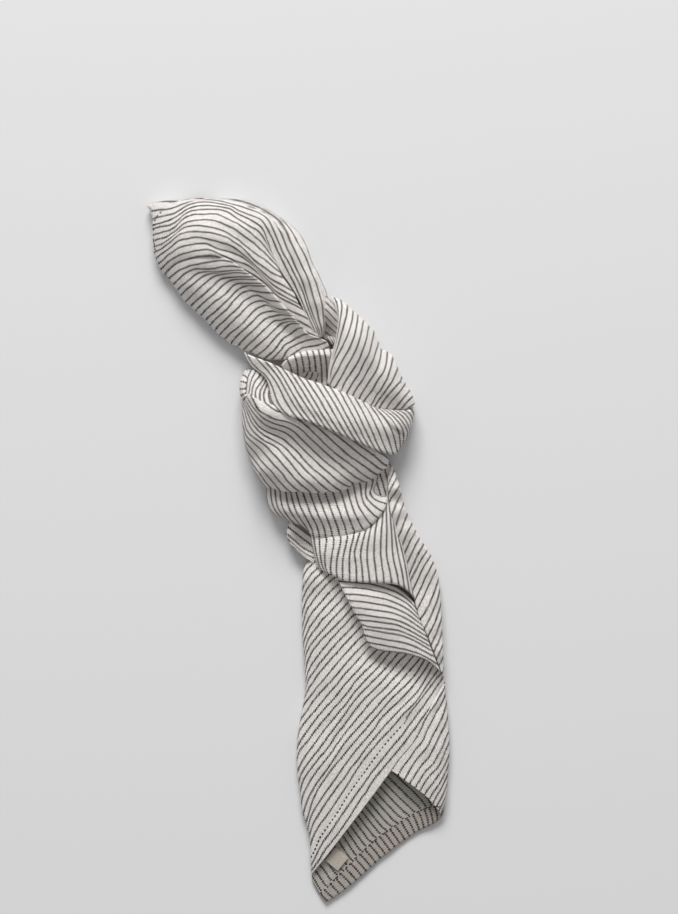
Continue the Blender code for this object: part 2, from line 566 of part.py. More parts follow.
            (43.8, 32.4), (44.4, 24.8), (45.3, 15.6), (45.9, 6.4), (46.2, -0.8), (47.4, -6.6),
            (48.6, -11.8), (49.4, -16.6),
        )),
        (14.0, (
            (44.2, 37), (45, 28.6), (46.2, 18.4), (47.6, 8), (48.8, 0), (50.2, -6.6), (51.4, -12.6),
            (52.2, -18.2),
        )),
        (15.0, (
            (44.4, 41), (45.2, 32), (46.6, 20.8), (48.7, 9.6), (51, 0.6), (52.6, -7), (53.7, -13.8),
            (54.6, -20.2),
        )),
        (16.0, (
            (44.6, 45), (45.2, 35.6), (46.4, 23.6), (48.8, 11.2), (51.9, 1), (53.9, -7.6),
            (55.4, -15.4), (57, -23.2),
        )),
    ],
    "side": [
        (0.0, ((43.8, 38), (44.4, 40.4), (45, 42.6), (45.6, 44.6))),
        (1.0, ((44, 33), (45, 36), (46.2, 38.6), (47.4, 40.6))),
        (2.0, ((44.2, 28.5), (45.6, 32), (47.3, 35), (49, 37.2))),
        (3.0, ((44.6, 24.5), (46.1, 28), (48, 31), (50, 33.2))),
        (4.0, ((45.2, 20.5), (46.8, 24), (48.7, 27), (50.7, 29.2))),
        (5.0, ((45.9, 16.5), (47.6, 20), (49.6, 23), (51.6, 25.2))),
        (6.0, ((46.8, 13), (48.6, 16.4), (50.7, 19.4), (52.9, 21.6))),
        (7.0, ((47.9, 9.6), (49.8, 13), (52.1, 16), (54.5, 18.3))),
        (8.0, ((49, 6.2), (51.1, 9.6), (53.6, 12.6), (56.3, 15))),
        (9.0, ((50.2, 2.8), (52.5, 6.2), (55.2, 9.3), (58.2, 11.9))),
        (10.0, ((51.3, -0.8), (53.8, 2.9), (56.8, 6.2), (60.2, 9))),
        (11.0, ((52.4, -4.6), (55, -0.6), (58.2, 2.9), (62, 6))),
        (12.0, ((53.4, -8.6), (56.1, -4.2), (59.6, -0.4), (63.8, 3))),
        (13.0, ((54.4, -12.6), (57.2, -7.8), (60.9, -3.8), (65.4, -0.2))),
        (14.0, ((55.3, -16.6), (58.2, -11.6), (62.1, -7.4), (66.9, -3.7))),
        (15.0, ((56.3, -20.6), (59.3, -15.4), (63.3, -11.2), (68.2, -7.6))),
        (16.0, ((57.4, -24.6), (60.5, -19.4), (64.5, -15.2), (69.2, -12))),
        (17.0, ((58.2, -28.4), (61.4, -23.2), (65.3, -19.2), (69.9, -16.6))),
        (18.0, ((59.2, -32), (62.3, -27), (66.2, -23.2), (70.3, -21))),
        (19.0, ((60.6, -35.6), (63.4, -30.8), (67, -27.2), (70.6, -25.4))),
        (20.0, ((62, -38.8), (64.7, -34.4), (67.9, -31), (70.9, -29.6))),
        (21.0, ((63.4, -41.8), (66, -37.8), (68.7, -34.8), (71.2, -33.8))),
        (22.0, ((64.6, -44.8), (66.9, -41.2), (69.3, -38.6), (71.4, -38))),
        (23.0, ((65.8, -47.8), (67.8, -44.6), (69.8, -42.6), (71.5, -42.2))),
        (24.0, ((67, -50.8), (68.7, -48.2), (70.3, -46.6), (71.5, -46.4))),
        (25.0, ((68.4, -54.2), (69.6, -52), (70.7, -50.8), (71.5, -50.6))),
        (26.0, ((69.8, -57.6), (70.6, -56), (71.2, -55), (71.7, -54.8))),
        (27.0, ((71.2, -61.2), (71.5, -60.2), (71.8, -59.4), (72.1, -59))),
    ],
    "tuck": [
        (0.0, ((17.6, -11.8), (25, -12.4), (34, -13.2), (42, -15), (48.5, -17.6), (53, -20.8), (57, -25))),
        (1.0, (
            (19.2, -14.6), (26.5, -15), (35.5, -16), (43.5, -18.2), (50, -21), (54.3, -24.2),
            (58.3, -28.4),
        )),
        (2.0, (
            (20.6, -17.6), (27.5, -17.8), (36.3, -18.9), (44.3, -21), (50.6, -23.9), (55, -27),
            (59, -31.4),
        )),
        (3.0, (
            (22.2, -21), (28.8, -21.1), (37.3, -22.3), (45, -24.1), (51.2, -27), (55.7, -30),
            (59.9, -33.8),
        )),
        (4.0, (
            (23.8, -24.2), (30, -24.5), (38.2, -25.7), (45.8, -27.4), (52, -30), (56.6, -33),
            (61.1, -36.6),
        )),
        (5.0, (
            (25.6, -27.5), (31.2, -27.9), (39.2, -29), (46.6, -30.4), (52.8, -33), (57.5, -36),
            (62.2, -39.4),
        )),
        (6.0, (
            (27.5, -31), (32.4, -31.3), (40.1, -32.4), (47.3, -33.5), (53.4, -36), (58.3, -38.9),
            (63.3, -42),
        )),
        (7.0, (
            (29.4, -34), (34, -34.1), (41.2, -34.9), (48.1, -36.1), (53.9, -38.6), (59, -41.4),
            (64.3, -44.6),
        )),
        (8.0, (
            (30.8, -36), (34.9, -37.2), (42.1, -37.9), (49, -38.9), (54.7, -41.2), (59.9, -44),
            (65.3, -47.2),
        )),
        (9.0, (
            (31.4, -38.4), (36, -38.8), (43.1, -40.1), (49.9, -41.2), (55.6, -43.3), (60.9, -46.2),
            (66.2, -49.4),
        )),
        (10.0, (
            (32.2, -41.4), (37, -42.4), (44.1, -43.7), (50.9, -44.9), (56.5, -46.6), (62, -49.4),
            (67.2, -52.2),
        )),
        (11.0, (
            (33.6, -44.8), (38.2, -45.7), (45.2, -47.1), (52, -48.3), (57.4, -49.8), (63, -52.4),
            (68.8, -56.2),
        )),
        (12.0, (
            (35.6, -47.6), (40.2, -49.2), (46.4, -49.9), (53, -50.7), (58.4, -52.2), (64.4, -54.7),
            (70.6, -60.6),
        )),
    ],
    "tail": [
        (0.0, (
            (1.8, -7.5), (2.6, -6.2), (3.6, -5.2), (4.8, -4.2), (6, -3.4), (7.2, -2.8), (8.4, -2.4),
            (9.6, -2.2),
        )),
        (1.0, (
            (1.2, -14), (2.4, -11.6), (4, -9.4), (5.8, -7.8), (7.6, -6.7), (9.4, -6), (11.4, -5.8),
            (13.4, -6.2),
        )),
        (2.3, (
            (0.8, -21), (2.4, -17.4), (4.6, -14.2), (7.2, -11.8), (9.8, -10.2), (12.4, -9.2),
            (15.2, -8.8), (18, -9.2),
        )),
        (3.3, (
            (0.8, -28), (2.6, -23.8), (5.6, -19.6), (9, -16.2), (12.5, -13.7), (15.6, -12.2),
            (18.6, -11.4), (21.6, -11.4),
        )),
        (4.9, (
            (1.2, -35.5), (3.4, -30.3), (6.8, -25.2), (10.6, -20.9), (14.4, -17.3), (18, -14.8),
            (21.4, -13.4), (24.8, -13),
        )),
        (6.9, (
            (1.7, -45.5), (4.5, -39.8), (8.4, -33.9), (12.4, -28.9), (16.8, -24.1), (20.8, -20.6),
            (24.8, -17.8), (28.6, -16),
        )),
        (9.1, (
            (2.3, -55.5), (6, -49.5), (10.5, -43), (15, -37.2), (19.5, -31.9), (23.8, -27.7),
            (28, -24), (32, -21),
        )),
        (11.1, (
            (3, -64.5), (7.5, -58.2), (12.5, -51.4), (17.5, -45), (22.5, -39), (27, -33.8),
            (31.5, -29.2), (36, -25.4),
        )),
        (12.7, (
            (2.6, -72.4), (8, -66), (14, -58.8), (20, -51.5), (25.5, -45), (30, -40), (35, -35.2),
            (40, -31),
        )),
        (14.3, (
            (0.8, -80.4), (7, -73.6), (14, -65.8), (21, -58.4), (28, -51), (33.5, -45.4), (39, -40),
            (45, -35),
        )),
        (16.0, (
            (-0.4, -88.4), (8, -80), (16.5, -71.2), (25, -62.5), (33, -54.2), (39.5, -47.6),
            (46, -42), (52, -37.6),
        )),
        (17.3, (
            (-1.4, -95.2), (8.5, -85.6), (18.5, -75.4), (28, -65.6), (37, -56.5), (44.5, -49.6),
            (51.5, -43.6), (58, -39),
        )),
        (18.5, (
            (-1.8, -101.6), (10, -90.8), (21, -79.9), (32, -69.1), (42, -60), (50, -52.6),
            (57.5, -46), (64, -41.6),
        )),
        (19.7, (
            (-1.4, -108.2), (11, -96.2), (23.5, -84.4), (36, -73), (47, -63.4), (56, -55.2),
            (63, -49.6), (68.6, -46),
        )),
        (21.0, (
            (-0.8, -115), (12, -101.8), (25.5, -89), (39, -77.4), (51, -67.2), (61, -58.6),
            (67, -53.6), (71, -51),
        )),
        (22.3, (
            (0.4, -121.4), (13, -107.3), (27, -94), (41, -81.9), (54, -71.4), (64.5, -62.2),
            (69, -58.4), (71.8, -56.4),
        )),
        (23.5, (
            (1.4, -127.6), (14, -112.9), (28, -98.9), (42.5, -84.8), (55, -73.5), (64.5, -64.8),
            (68.6, -61.4), (71.6, -59.4),
        )),
        (24.9, (
            (2.7, -134), (15, -119), (29, -104.6), (43, -90.2), (55, -78.4), (64.5, -69), (69, -65),
            (72, -62.6),
        )),
        (26.2, (
            (4.2, -140), (12, -127), (21.5, -115.4), (33, -102.4), (45.5, -89.2), (56.5, -78.6),
            (65, -71), (72.4, -65),
        )),
        (27.5, (
            (5.3, -147), (12.5, -134.4), (22, -121.8), (33.5, -107.8), (46, -93.8), (57, -83.2),
            (65.5, -75), (72.7, -67.6),
        )),
        (28.7, (
            (5, -154), (12, -142.6), (21.5, -129.6), (33.5, -114.2), (45.5, -99.6), (56.5, -88.6),
            (65.2, -79.2), (73, -70.2),
        )),
        (29.8, (
            (5.8, -161.5), (13, -152.3), (22.5, -139.8), (34, -124.6), (45.5, -109), (56.5, -96),
            (65.5, -84), (73.4, -73.4),
        )),
    ],
    "cuff": [
        (29.8, ((45.5, -109), (50.5, -103), (56.5, -96), (62, -88.8), (68, -80.6), (73.4, -73.4))),
        (30.8, ((49, -111.6), (53.4, -106), (58.8, -98.8), (63.8, -92), (69.2, -84.4), (73.9, -77.6))),
        (31.8, ((52.6, -114.2), (56.4, -108.8), (61, -102), (65.4, -95.8), (70, -88.8), (74.3, -82.4))),
        (32.8, ((56.4, -116.8), (59.6, -111.6), (63.5, -105.2), (67.3, -99.6), (71.2, -93), (74.7, -87.4))),
        (33.8, ((60, -119.4), (62.8, -114.2), (66.1, -108.4), (69.3, -103.2), (72.4, -97.6), (75, -92.8))),
        (34.8, ((63.3, -122), (65.6, -117.2), (68.4, -111.8), (70.9, -107), (73.2, -102.4), (75, -98.4))),
        (35.8, (
            (66.2, -124.8), (68.1, -120.2), (70.3, -115.2), (72.2, -111), (73.8, -107.2),
            (74.9, -103.8),
        )),
        (36.8, (
            (68.8, -127.8), (70, -123.8), (71.5, -119.2), (72.7, -115.4), (73.7, -112.4),
            (74.4, -110.2),
        )),
        (37.8, ((71, -131), (71.5, -128), (72.2, -123.8), (72.8, -120.2), (73.3, -117.2), (73.8, -114.8))),
    ],
    "base": [
        (-2.0, (
            (60, -108), (65, -112), (69, -117), (71.5, -122), (72.3, -126), (72.4, -128.4),
            (72.2, -130.4), (71.6, -131.8),
        )),
        (-1.0, (
            (54, -108), (59.5, -112.6), (64.2, -117.8), (68, -123), (69.4, -127.4), (69.9, -130.4),
            (70.1, -132.6), (69.9, -134.2),
        )),
        (0.0, (
            (49, -108.4), (54.6, -113.4), (59.6, -118.6), (63.8, -123.6), (66, -128), (67, -131.6),
            (67.6, -134.2), (67.7, -136.2),
        )),
        (1.0, (
            (45.4, -109.6), (50.8, -114.8), (56, -119.8), (60.6, -124.4), (63.4, -128.6),
            (64.8, -132.6), (65.4, -135.4), (65.8, -137.6),
        )),
        (2.0, (
            (42.4, -111.6), (47.6, -116.8), (52.8, -121.8), (57.4, -126.2), (60.6, -129.6),
            (62.2, -133.6), (63, -136.4), (63.5, -138.6),
        )),
        (3.0, (
            (40.4, -114), (45.4, -119.2), (50.4, -124.2), (54.8, -128.4), (57.8, -131.2),
            (59.6, -134.8), (60.6, -137.6), (61.2, -139.7),
        )),
        (4.0, (
            (38.6, -116.6), (43.4, -121.8), (48, -126.6), (52, -130.6), (54.8, -132.8),
            (56.8, -136.2), (58, -139), (58.8, -141),
        )),
        (5.0, (
            (36.8, -119.2), (41.2, -124.2), (45.6, -129), (49.2, -132.8), (51.8, -134.6),
            (54, -138), (55.4, -140.6), (56.4, -142.6),
        )),
        (6.0, (
            (35, -121.6), (39.2, -126.6), (43.2, -131.2), (46.6, -134.8), (48.9, -136.5),
            (51.2, -139.8), (52.9, -142.4), (54, -144.3),
        )),
        (7.0, (
            (33.2, -124), (37, -128.8), (40.8, -133.2), (44, -136.8), (46.2, -138.4),
            (48.6, -141.6), (50.3, -144.2), (51.5, -146),
        )),
        (8.0, (
            (31.4, -126.4), (35, -131), (38.6, -135.4), (41.6, -138.8), (43.5, -140.3),
            (46, -143.4), (47.8, -146), (49, -147.8),
        )),
        (9.0, (
            (29.6, -128.8), (33, -133.2), (36.4, -137.4), (39.2, -140.8), (40.9, -142.1),
            (43.4, -145.2), (45.3, -147.7), (46.6, -149.6),
        )),
        (10.0, (
            (27.8, -131.2), (31, -135.4), (34.2, -139.6), (36.8, -142.9), (38.4, -144),
            (40.9, -147), (42.8, -149.5), (44.2, -151.4),
        )),
        (11.0, (
            (26, -133.6), (29, -137.8), (32, -141.8), (34.4, -145), (35.9, -146.1), (38.4, -149),
            (40.4, -151.5), (41.8, -153.3),
        )),
        (12.0, (
            (24.2, -136.2), (27, -140.2), (29.8, -144.1), (32, -147.2), (33.4, -148.3),
            (36, -151.2), (38, -153.6), (39.4, -155.4),
        )),
        (13.0, (
            (22.4, -138.8), (25, -142.7), (27.6, -146.5), (29.6, -149.5), (31, -150.6),
            (33.6, -153.4), (35.6, -155.8), (37, -157.6),
        )),
        (14.0, (
            (20.6, -141.4), (23, -145.2), (25.4, -148.9), (27.4, -151.8), (28.6, -152.9),
            (31.2, -155.7), (33.2, -158), (34.6, -159.8),
        )),
        (15.0, (
            (18.6, -144), (20.8, -147.8), (23.2, -151.4), (25, -154.2), (26.2, -155.2),
            (28.8, -158), (30.8, -160.2), (32.2, -162),
        )),
        (16.0, (
            (16.4, -146.8), (18.6, -150.4), (20.8, -154), (22.6, -156.7), (23.8, -157.7),
            (26.4, -160.3), (28.3, -162.5), (29.7, -164.2),
        )),
        (17.0, (
            (14, -149.8), (16.2, -153.2), (18.4, -156.6), (20.2, -159.2), (21.4, -160.2),
            (23.8, -162.7), (25.7, -164.8), (27.1, -166.4),
        )),
        (18.0, (
            (11.6, -152.8), (13.8, -156), (15.9, -159.2), (17.7, -161.7), (18.9, -162.7),
            (21.2, -165.1), (23, -167), (24.3, -168.6),
        )),
        (19.0, (
            (9, -156), (11.2, -159), (13.3, -162), (15, -164.4), (16.2, -165.4), (18.4, -167.6),
            (20.1, -169.4), (21.4, -170.8),
        )),
        (20.0, (
            (7, -159.4), (8.8, -162), (10.7, -164.8), (12.3, -167.2), (13.4, -168.2),
            (15.5, -170.2), (17.1, -171.8), (18.3, -173),
        )),
        (21.0, (
            (5.9, -163), (7.2, -165), (8.6, -167.4), (9.9, -169.6), (10.8, -170.8), (12.6, -172.8),
            (14.1, -174.2), (15.2, -175.2),
        )),
        (22.0, (
            (6, -165), (6.8, -166.8), (7.8, -168.8), (8.8, -170.8), (9.6, -172), (11, -174),
            (12.2, -175.4), (13.3, -176.4),
        )),
    ],
    "hollow": [
        (-1.0, ((-9.6, 93.2), (-9.2, 92.4), (-8.8, 91.6), (-8.4, 90.8), (-8, 90))),
        (0.0, ((-6.5, 96.5), (-5.8, 95), (-5, 93.4), (-4.4, 91.4), (-4, 89))),
        (1.0, ((-3, 98.8), (-2.2, 97), (-1.6, 94.6), (-1.2, 91.4), (-1, 87.4))),
        (2.0, ((0, 99.8), (0.8, 98.2), (1.4, 95.4), (1.8, 91.4), (2, 86.4))),
        (3.0, ((3, 100.4), (3.8, 99), (4.5, 95.8), (4.9, 91.4), (5, 85.4))),
        (4.0, ((6, 100.8), (6.8, 99.2), (7.4, 96), (7.8, 91.4), (8, 84.6))),
        (5.0, ((9, 101), (9.8, 99), (10.4, 96), (10.8, 91.4), (11, 83.6))),
        (6.0, ((12, 101.2), (12.6, 98.4), (13, 95.4), (13.4, 91), (13.8, 83))),
        (7.0, ((15, 101.4), (15.6, 98), (15.8, 95), (15.8, 91), (16, 82.6))),
        (8.0, ((17.5, 101.5), (17.8, 98), (17.8, 95), (17.8, 91), (18, 82))),
    ],
    "pocket": [
        (0.0, ((-4.5, 15.4), (-3, 14), (0, 11.6), (3, 9.4), (6, 7.4))),
        (1.0, ((-6.2, 12.5), (-4.6, 11.4), (-1, 8.4), (3, 5.2), (6.8, 2.6))),
        (2.0, ((-6.9, 9.2), (-5.6, 8.2), (-2.2, 5), (2, 1.6), (7.4, -1))),
        (3.0, ((-6.2, 6.2), (-5, 5.4), (-1.6, 2.2), (3, -1.2), (7.8, -3.6))),
        (4.0, ((-4, 2.8), (-3, 2.2), (0.6, -0.6), (4.6, -3.2), (8.2, -5.6))),
        (5.0, ((-0.8, -0.4), (0, -0.8), (3, -2.6), (6, -4.6), (8.8, -7))),
        (6.0, ((2.6, -3), (3.4, -3.4), (5, -4.4), (7, -6), (9.4, -8.4))),
    ],
}

# Each panel's heights, as (x, y, z): silhouettes first, then ridges and troughs.
HEIGHTS = {
    "leaf": (
        (-74, 174, 7), (-74, 162, 8), (-73, 150, 7), (-66, 137, 6), (-57, 125.5, 6),
        (-46, 113.5, 6), (-36, 105, 6), (-26, 100, 7), (-12, 94, 8), (-62, 173, 11), (-50, 176, 8),
        (-35, 176.5, 8), (-20, 173, 8), (-9, 167, 8), (0, 159, 8), (8, 143, 8), (13.5, 130, 8),
        (14.5, 118, 8), (15.5, 106, 7), (-62, 160, 14), (-50, 162, 17), (-35, 163, 17.5),
        (-25, 160, 16), (-20, 165, 13.5), (-18, 160, 13), (-14, 150, 12.5), (-8, 138, 12.5),
        (0, 125, 12), (8, 112, 10.5), (-50, 150, 17.5), (-40, 146, 18), (-30, 144, 18.5),
        (-22, 137, 18.5), (-14, 130, 18), (-6, 122, 17), (2, 114, 15), (9, 107, 12.5),
        (15, 102.5, 9), (-50, 139, 16), (-38, 137.5, 16), (-30, 133, 15.5), (-22, 127, 15),
        (-14, 120, 14.5), (-6, 113, 13.5), (0, 107.5, 12.5), (8, 103, 10.5), (-58, 133, 11),
        (-48, 129, 11), (-38, 121, 11), (-28, 112, 11), (-18, 104, 10.5), (-8, 98, 10),
        (-8, 158, 13.5), (-3, 148, 14.5), (3, 136, 14.5), (8, 124, 13), (11, 114, 11),
    ),
    "over": (
        (15.2, 127.6, 13), (19, 118, 20), (19, 108, 20.5), (17, 99, 20), (15, 90, 19),
        (14.2, 84, 17), (24, 122.5, 14), (29.6, 117.7, 13.5), (37, 110, 13), (39.3, 104, 12.5),
        (27, 110, 22), (32, 104, 20.5), (35, 97, 18.5), (25, 98, 22.5), (22, 88, 20),
        (30, 86, 18.5), (39, 92, 16), (37, 83, 15.5), (38, 76, 14), (41, 101, 12.5),
        (46.5, 97.3, 12), (50.6, 88.2, 12), (54.5, 81.3, 12), (57.4, 74, 12.5), (45.5, 90, 17),
        (48, 82, 17), (50, 76, 15.5), (44, 80, 17), (44, 72, 13.5), (53, 71.3, 13), (30, 77, 17),
        (22, 80, 18.5),
    ),
    "wrap": (
        (-28, 100, 14), (-24, 92, 14), (-17, 86.4, 20), (-15, 79, 23), (-11, 71, 27),
        (-7, 68.2, 28), (-17.4, 95.4, 21), (-8.6, 91.4, 23.5), (3.2, 86, 24.5), (15.3, 82, 24.5),
        (27, 77.2, 22.5), (37.5, 72, 19), (45, 71.2, 16), (52, 70.9, 14), (56.6, 72, 12),
        (-12, 86, 24.5), (-4, 80, 27.5), (6, 76, 29), (18, 70.5, 29), (30, 66, 27.5),
        (40, 63, 23.5), (48, 62.5, 19), (54, 64, 14.5), (-0.6, 66.4, 29.5), (10.2, 62.6, 30.5),
        (21, 58, 30), (32, 53, 26.5), (41, 49.6, 21), (46.6, 48.6, 16.5), (50.1, 52.1, 14),
        (54.1, 57.7, 12), (56, 64.5, 11),
    ),
    "front": (
        (-14.4, 86, 19), (-20.6, 89.8, 17), (-27.4, 89.6, 13), (-30, 82, 11), (-29.5, 68, 11),
        (-28, 56, 10.5), (-24, 46.2, 10), (-16, 31.9, 11), (-20, 80, 24), (-25.2, 79.8, 20),
        (-18.6, 74.6, 26), (-12.4, 70, 26.5), (-6.6, 67, 26.5), (0.4, 64.5, 26.5), (9, 61, 26),
        (18, 57, 25.5), (28, 53, 23.5), (36.5, 49, 20), (44, 46.5, 15), (-22, 64, 21),
        (-15, 61, 22.5), (-5, 58.5, 23.5), (5, 55, 23.5), (15, 50.5, 22.5), (26, 46, 20.5),
        (36, 42.5, 17), (43, 43, 13.5), (-24, 55, 16.5), (-17, 52, 20), (-9, 48, 22), (1, 43, 22),
        (12, 39.5, 20.5), (23, 37, 18), (32, 38, 15.5), (-19.5, 41, 16), (-12.2, 37.6, 18),
        (-4, 34.5, 18.5), (5, 33, 18), (16, 32.4, 16.5), (-7, 30.8, 15.5), (6, 30.2, 15.5),
        (21.4, 31.2, 14.5), (28.6, 34.8, 14), (38.4, 38.9, 13), (44, 44.9, 12),
    ),
    "under": (
        (-16.8, 33, 7), (-12.4, 33, 9), (-7, 32.5, 10.5), (4.4, 32, 11), (15.8, 32, 11),
        (26, 35, 11), (35.6, 38.6, 10.5), (38.4, 40.4, 10), (-16.9, 27.5, 7), (-14.9, 21, 7),
        (-9.4, 16.6, 7.5), (-3.8, 14.7, 8), (2.4, 12, 8), (-12, 22.8, 10.5), (-8, 20, 12.5),
        (0, 19.5, 14.5), (10, 19, 15), (20, 19.5, 15), (28, 19.5, 15), (34, 20, 14.5),
        (39, 19.5, 13.5), (37, 25.5, 12.5), (43, 24.5, 12.5), (44.2, 28.2, 11), (38, 31, 9.5),
        (-5, 26.5, 11.5), (5, 26, 12), (15, 26, 12), (25, 26.5, 12), (31, 28, 12), (4.6, 9.4, 8.5),
        (6.7, 7.4, 9), (12.8, 6.9, 10), (19.8, 7.2, 11), (27.4, 9.6, 12), (32, 11, 13),
        (35.8, 13.6, 13.5), (8, 12.5, 11), (18, 12, 12), (25, 13.5, 13),
    ),
    "middle": (
        (5, 9.5, 7), (13, 9.5, 8), (23.6, 10.6, 9), (33.6, 15, 10.5), (39.4, 20.4, 10.5),
        (43, 28.4, 10), (44.4, 41, 9), (6.8, 0, 8), (10.4, -9.6, 8.5), (10, 0, 10.5), (16, 1, 12),
        (25, 1, 12.5), (34, 3, 13.5), (40.3, 6, 14), (44, 12, 13.5), (46, 20, 12), (51.9, 1, 11.5),
        (48.8, 11.2, 11.5), (55.4, -15.4, 11), (57, -23.2, 9), (18.2, -9.8, 12), (28, -9, 13.5),
        (38, -9, 14), (46, -8, 14.5), (51, -9, 13.5), (13.8, -10.6, 10.5), (21.4, -14.2, 12.5),
        (31.5, -15.1, 14), (41.9, -15.4, 14.5), (49.4, -16.6, 14), (52.2, -18.2, 13),
        (54.6, -20.2, 12),
    ),
    "side": (
        (43.8, 38, 8), (45.6, 44.6, 8), (44.6, 24.5, 8.5), (46.8, 13, 8.5), (50.2, 2.8, 8.5),
        (53.4, -8.6, 8.5), (56.3, -20.6, 8), (59.2, -32, 9), (63.4, -41.8, 9), (67, -50.8, 8.5),
        (71.2, -61.2, 7.5), (47.5, 37.5, 8), (49, 32, 9.5), (50, 22, 10.5), (54, 12, 11),
        (59, 1, 11.5), (63.5, -10, 11.5), (66, -24, 11.5), (68.5, -38, 10.5), (70.3, -50, 9),
        (49, 37.2, 6.5), (51.6, 25.2, 7), (56.3, 15, 7), (62, 6, 7), (66.9, -3.7, 7),
        (69.9, -16.6, 7), (70.9, -29.6, 7), (71.5, -42.2, 7), (72.1, -59, 6.5),
    ),
    "tuck": (
        (17.6, -11.8, 8), (34, -13.2, 9), (48.5, -17.6, 9), (57, -25, 7.5), (20.6, -17.6, 11),
        (25.6, -27.5, 12), (30.8, -36, 12), (33.6, -44.8, 12), (35.6, -47.6, 11.5), (30, -22, 13),
        (38, -25.7, 13.5), (46, -29, 13), (52, -31, 12), (59.9, -33.8, 9.5), (36, -36, 13.5),
        (44, -41, 13.5), (52, -43, 13), (60, -45, 12), (65.3, -47.2, 10), (46.4, -49.9, 12.5),
        (53, -50.7, 13), (58.4, -52.2, 13), (64.4, -54.7, 11.5), (70.6, -60.6, 8),
        (68.8, -56.2, 8.5),
    ),
    "tail": (
        (1.8, -7.5, 5), (0.8, -21, 4.5), (1.2, -35.5, 4.5), (2.3, -55.5, 4.5), (2.6, -72.4, 4.5),
        (-0.4, -88.4, 4.5), (-1.8, -101.6, 4.5), (0.4, -121.4, 4.5), (4.2, -140, 4.5), (5, -154, 4),
        (5.8, -161.5, 3.6), (9.6, -2.2, 6), (13.4, -6.2, 6), (18, -9.2, 6), (21.6, -11.4, 6),
        (32, -21, 6), (45, -35, 6), (58, -39, 6), (68.6, -46, 6), (71.8, -56.4, 6),
        (72.2, -61.6, 6.2), (72.9, -69.2, 6), (73.4, -74, 5.5), (6, -14, 7.5), (10, -30, 8),
        (14, -22, 6.5), (20, -33, 7), (12, -45, 8.3), (22, -42, 7), (15, -65, 8.6), (28, -51, 7.4),
        (35, -58, 8), (20, -85, 8.6), (40, -70, 8.6), (52, -62, 8), (62, -60, 7.3), (12, -100, 7.8),
        (30, -98, 8.6), (50, -85, 8.6), (62, -75, 8.2), (12, -122, 7.3), (22, -118, 8.2),
        (35, -112, 8.5), (45, -102, 8.6), (58, -91, 8.5), (13, -140, 6.8), (22, -132, 7.8),
        (10, -152, 5.3), (15, -149.8, 6), (22.5, -139.8, 7.2), (34, -124.6, 8), (45.5, -109, 8.2),
    ),
    "cuff": (
        (45.5, -109, 8.2), (56.5, -96, 8.5), (65.5, -84, 8), (73.4, -73.4, 5.5), (49, -111.6, 8.2),
        (56.4, -116.8, 8.4), (63.3, -122, 8), (68.8, -127.8, 6.5), (71, -131, 5), (60, -105, 8.6),
        (66, -109, 8.6), (70, -98, 8), (72.5, -112, 6), (75, -97, 5), (74.4, -110, 4.5),
        (73.8, -114.8, 4.5), (68, -118, 8),
    ),
    "base": (
        (49, -108.4, 2), (30, -130, 2), (10, -156, 2), (13.3, -176.4, 2.2), (29.7, -164.2, 2),
        (44.2, -151.4, 2), (58.8, -141, 2.1), (67.7, -136.2, 2.8), (71.6, -131.8, 4),
        (69.4, -127.4, 4), (63.4, -128.6, 2.5), (50, -122, 2), (72, -122, 4.4), (60, -108, 2.2),
    ),
    "hollow": (
        (-9.6, 93.2, 9), (0, 99.8, 10), (9, 101, 10), (17.5, 101.5, 9), (-6, 95.4, 11.5),
        (0.8, 98.2, 12.5), (9.8, 99, 12.5), (15.6, 98, 11), (-5, 92, 8), (1.5, 94.4, 8),
        (10.6, 95, 8), (15.8, 94, 8), (-4, 89, 5.5), (5, 91, 5.5), (11, 90, 5.5), (5, 85.4, 5),
        (16, 82.6, 5), (17.9, 91, 6),
    ),
    "pocket": (
        (-4.5, 15.4, 7), (-6.9, 9.2, 6), (-6.2, 6.2, 6), (-0.8, -0.4, 6), (2.6, -3, 6.5),
        (-3, 14, 8), (-5.6, 8.2, 7.5), (-3, 2.2, 7.5), (0, -0.8, 7.5), (3.4, -3.4, 8),
        (-1.2, 8, 3.5), (-1, 2.6, 3.8), (3, -1, 4), (6, -5, 6), (2, 8, 3.5), (6, 7.4, 5), (7, 0, 5),
        (9.4, -8.4, 7),
    ),
}

# How far each hidden row of the corner has come up from below, by column: 0 lies underneath.
LEAF_RISE = {
    -5.0: (0, 0, 0, 0, 0, 0, 0.05, 0.1, 0.15, 0.15, 0.15, 0.2, 0.6),
    -4.0: (0, 0, 0, 0, 0, 0, 0.1, 0.3, 0.5, 0.55, 0.6, 0.7, 0.9),
    -3.0: (0, 0, 0, 0, 0, 0.1, 0.5, 0.9, 1, 1, 1, 1, 1),
    -2.0: (0, 0, 0, 0, 0.1, 0.4, 0.8, 1, 1, 1, 1, 1, 1),
    -1.0: (0, 0, 0, 0.1, 0.3, 0.7, 0.95, 1, 1, 1, 1, 1, 1),
    0.0: (0, 0, 0.1, 0.3, 0.65, 0.9, 1, 1, 1, 1, 1, 1, 1),
    1.0: (0.6, 0.6, 0.7, 0.8, 0.95, 1, 1, 1, 1, 1, 1, 1, 1),
}

FILLED = ("leaf", "over", "wrap", "front", "hollow", "under", "pocket", "middle", "side", "tuck")
# The tail is filled above this stripe, and open below it.
MOUTH_STRIPE = 21.0


def curve(points, count):
    """Points at even steps of a smooth curve through the given ones."""
    points = np.array(points, float)
    last = len(points) - 1
    out = []
    for step in np.linspace(0, last, count):
        i = min(int(step), last - 1)
        f = step - i
        before, after = points[max(i - 1, 0)], points[min(i + 2, last)]
        a, b = points[i], points[i + 1]
        out.append(
            0.5
            * (
                2 * a
                + (b - before) * f
                + (2 * before - 5 * a + 4 * b - after) * f**2
                + (3 * a - before - 3 * b + after) * f**3
            )
        )
    return np.array(out)


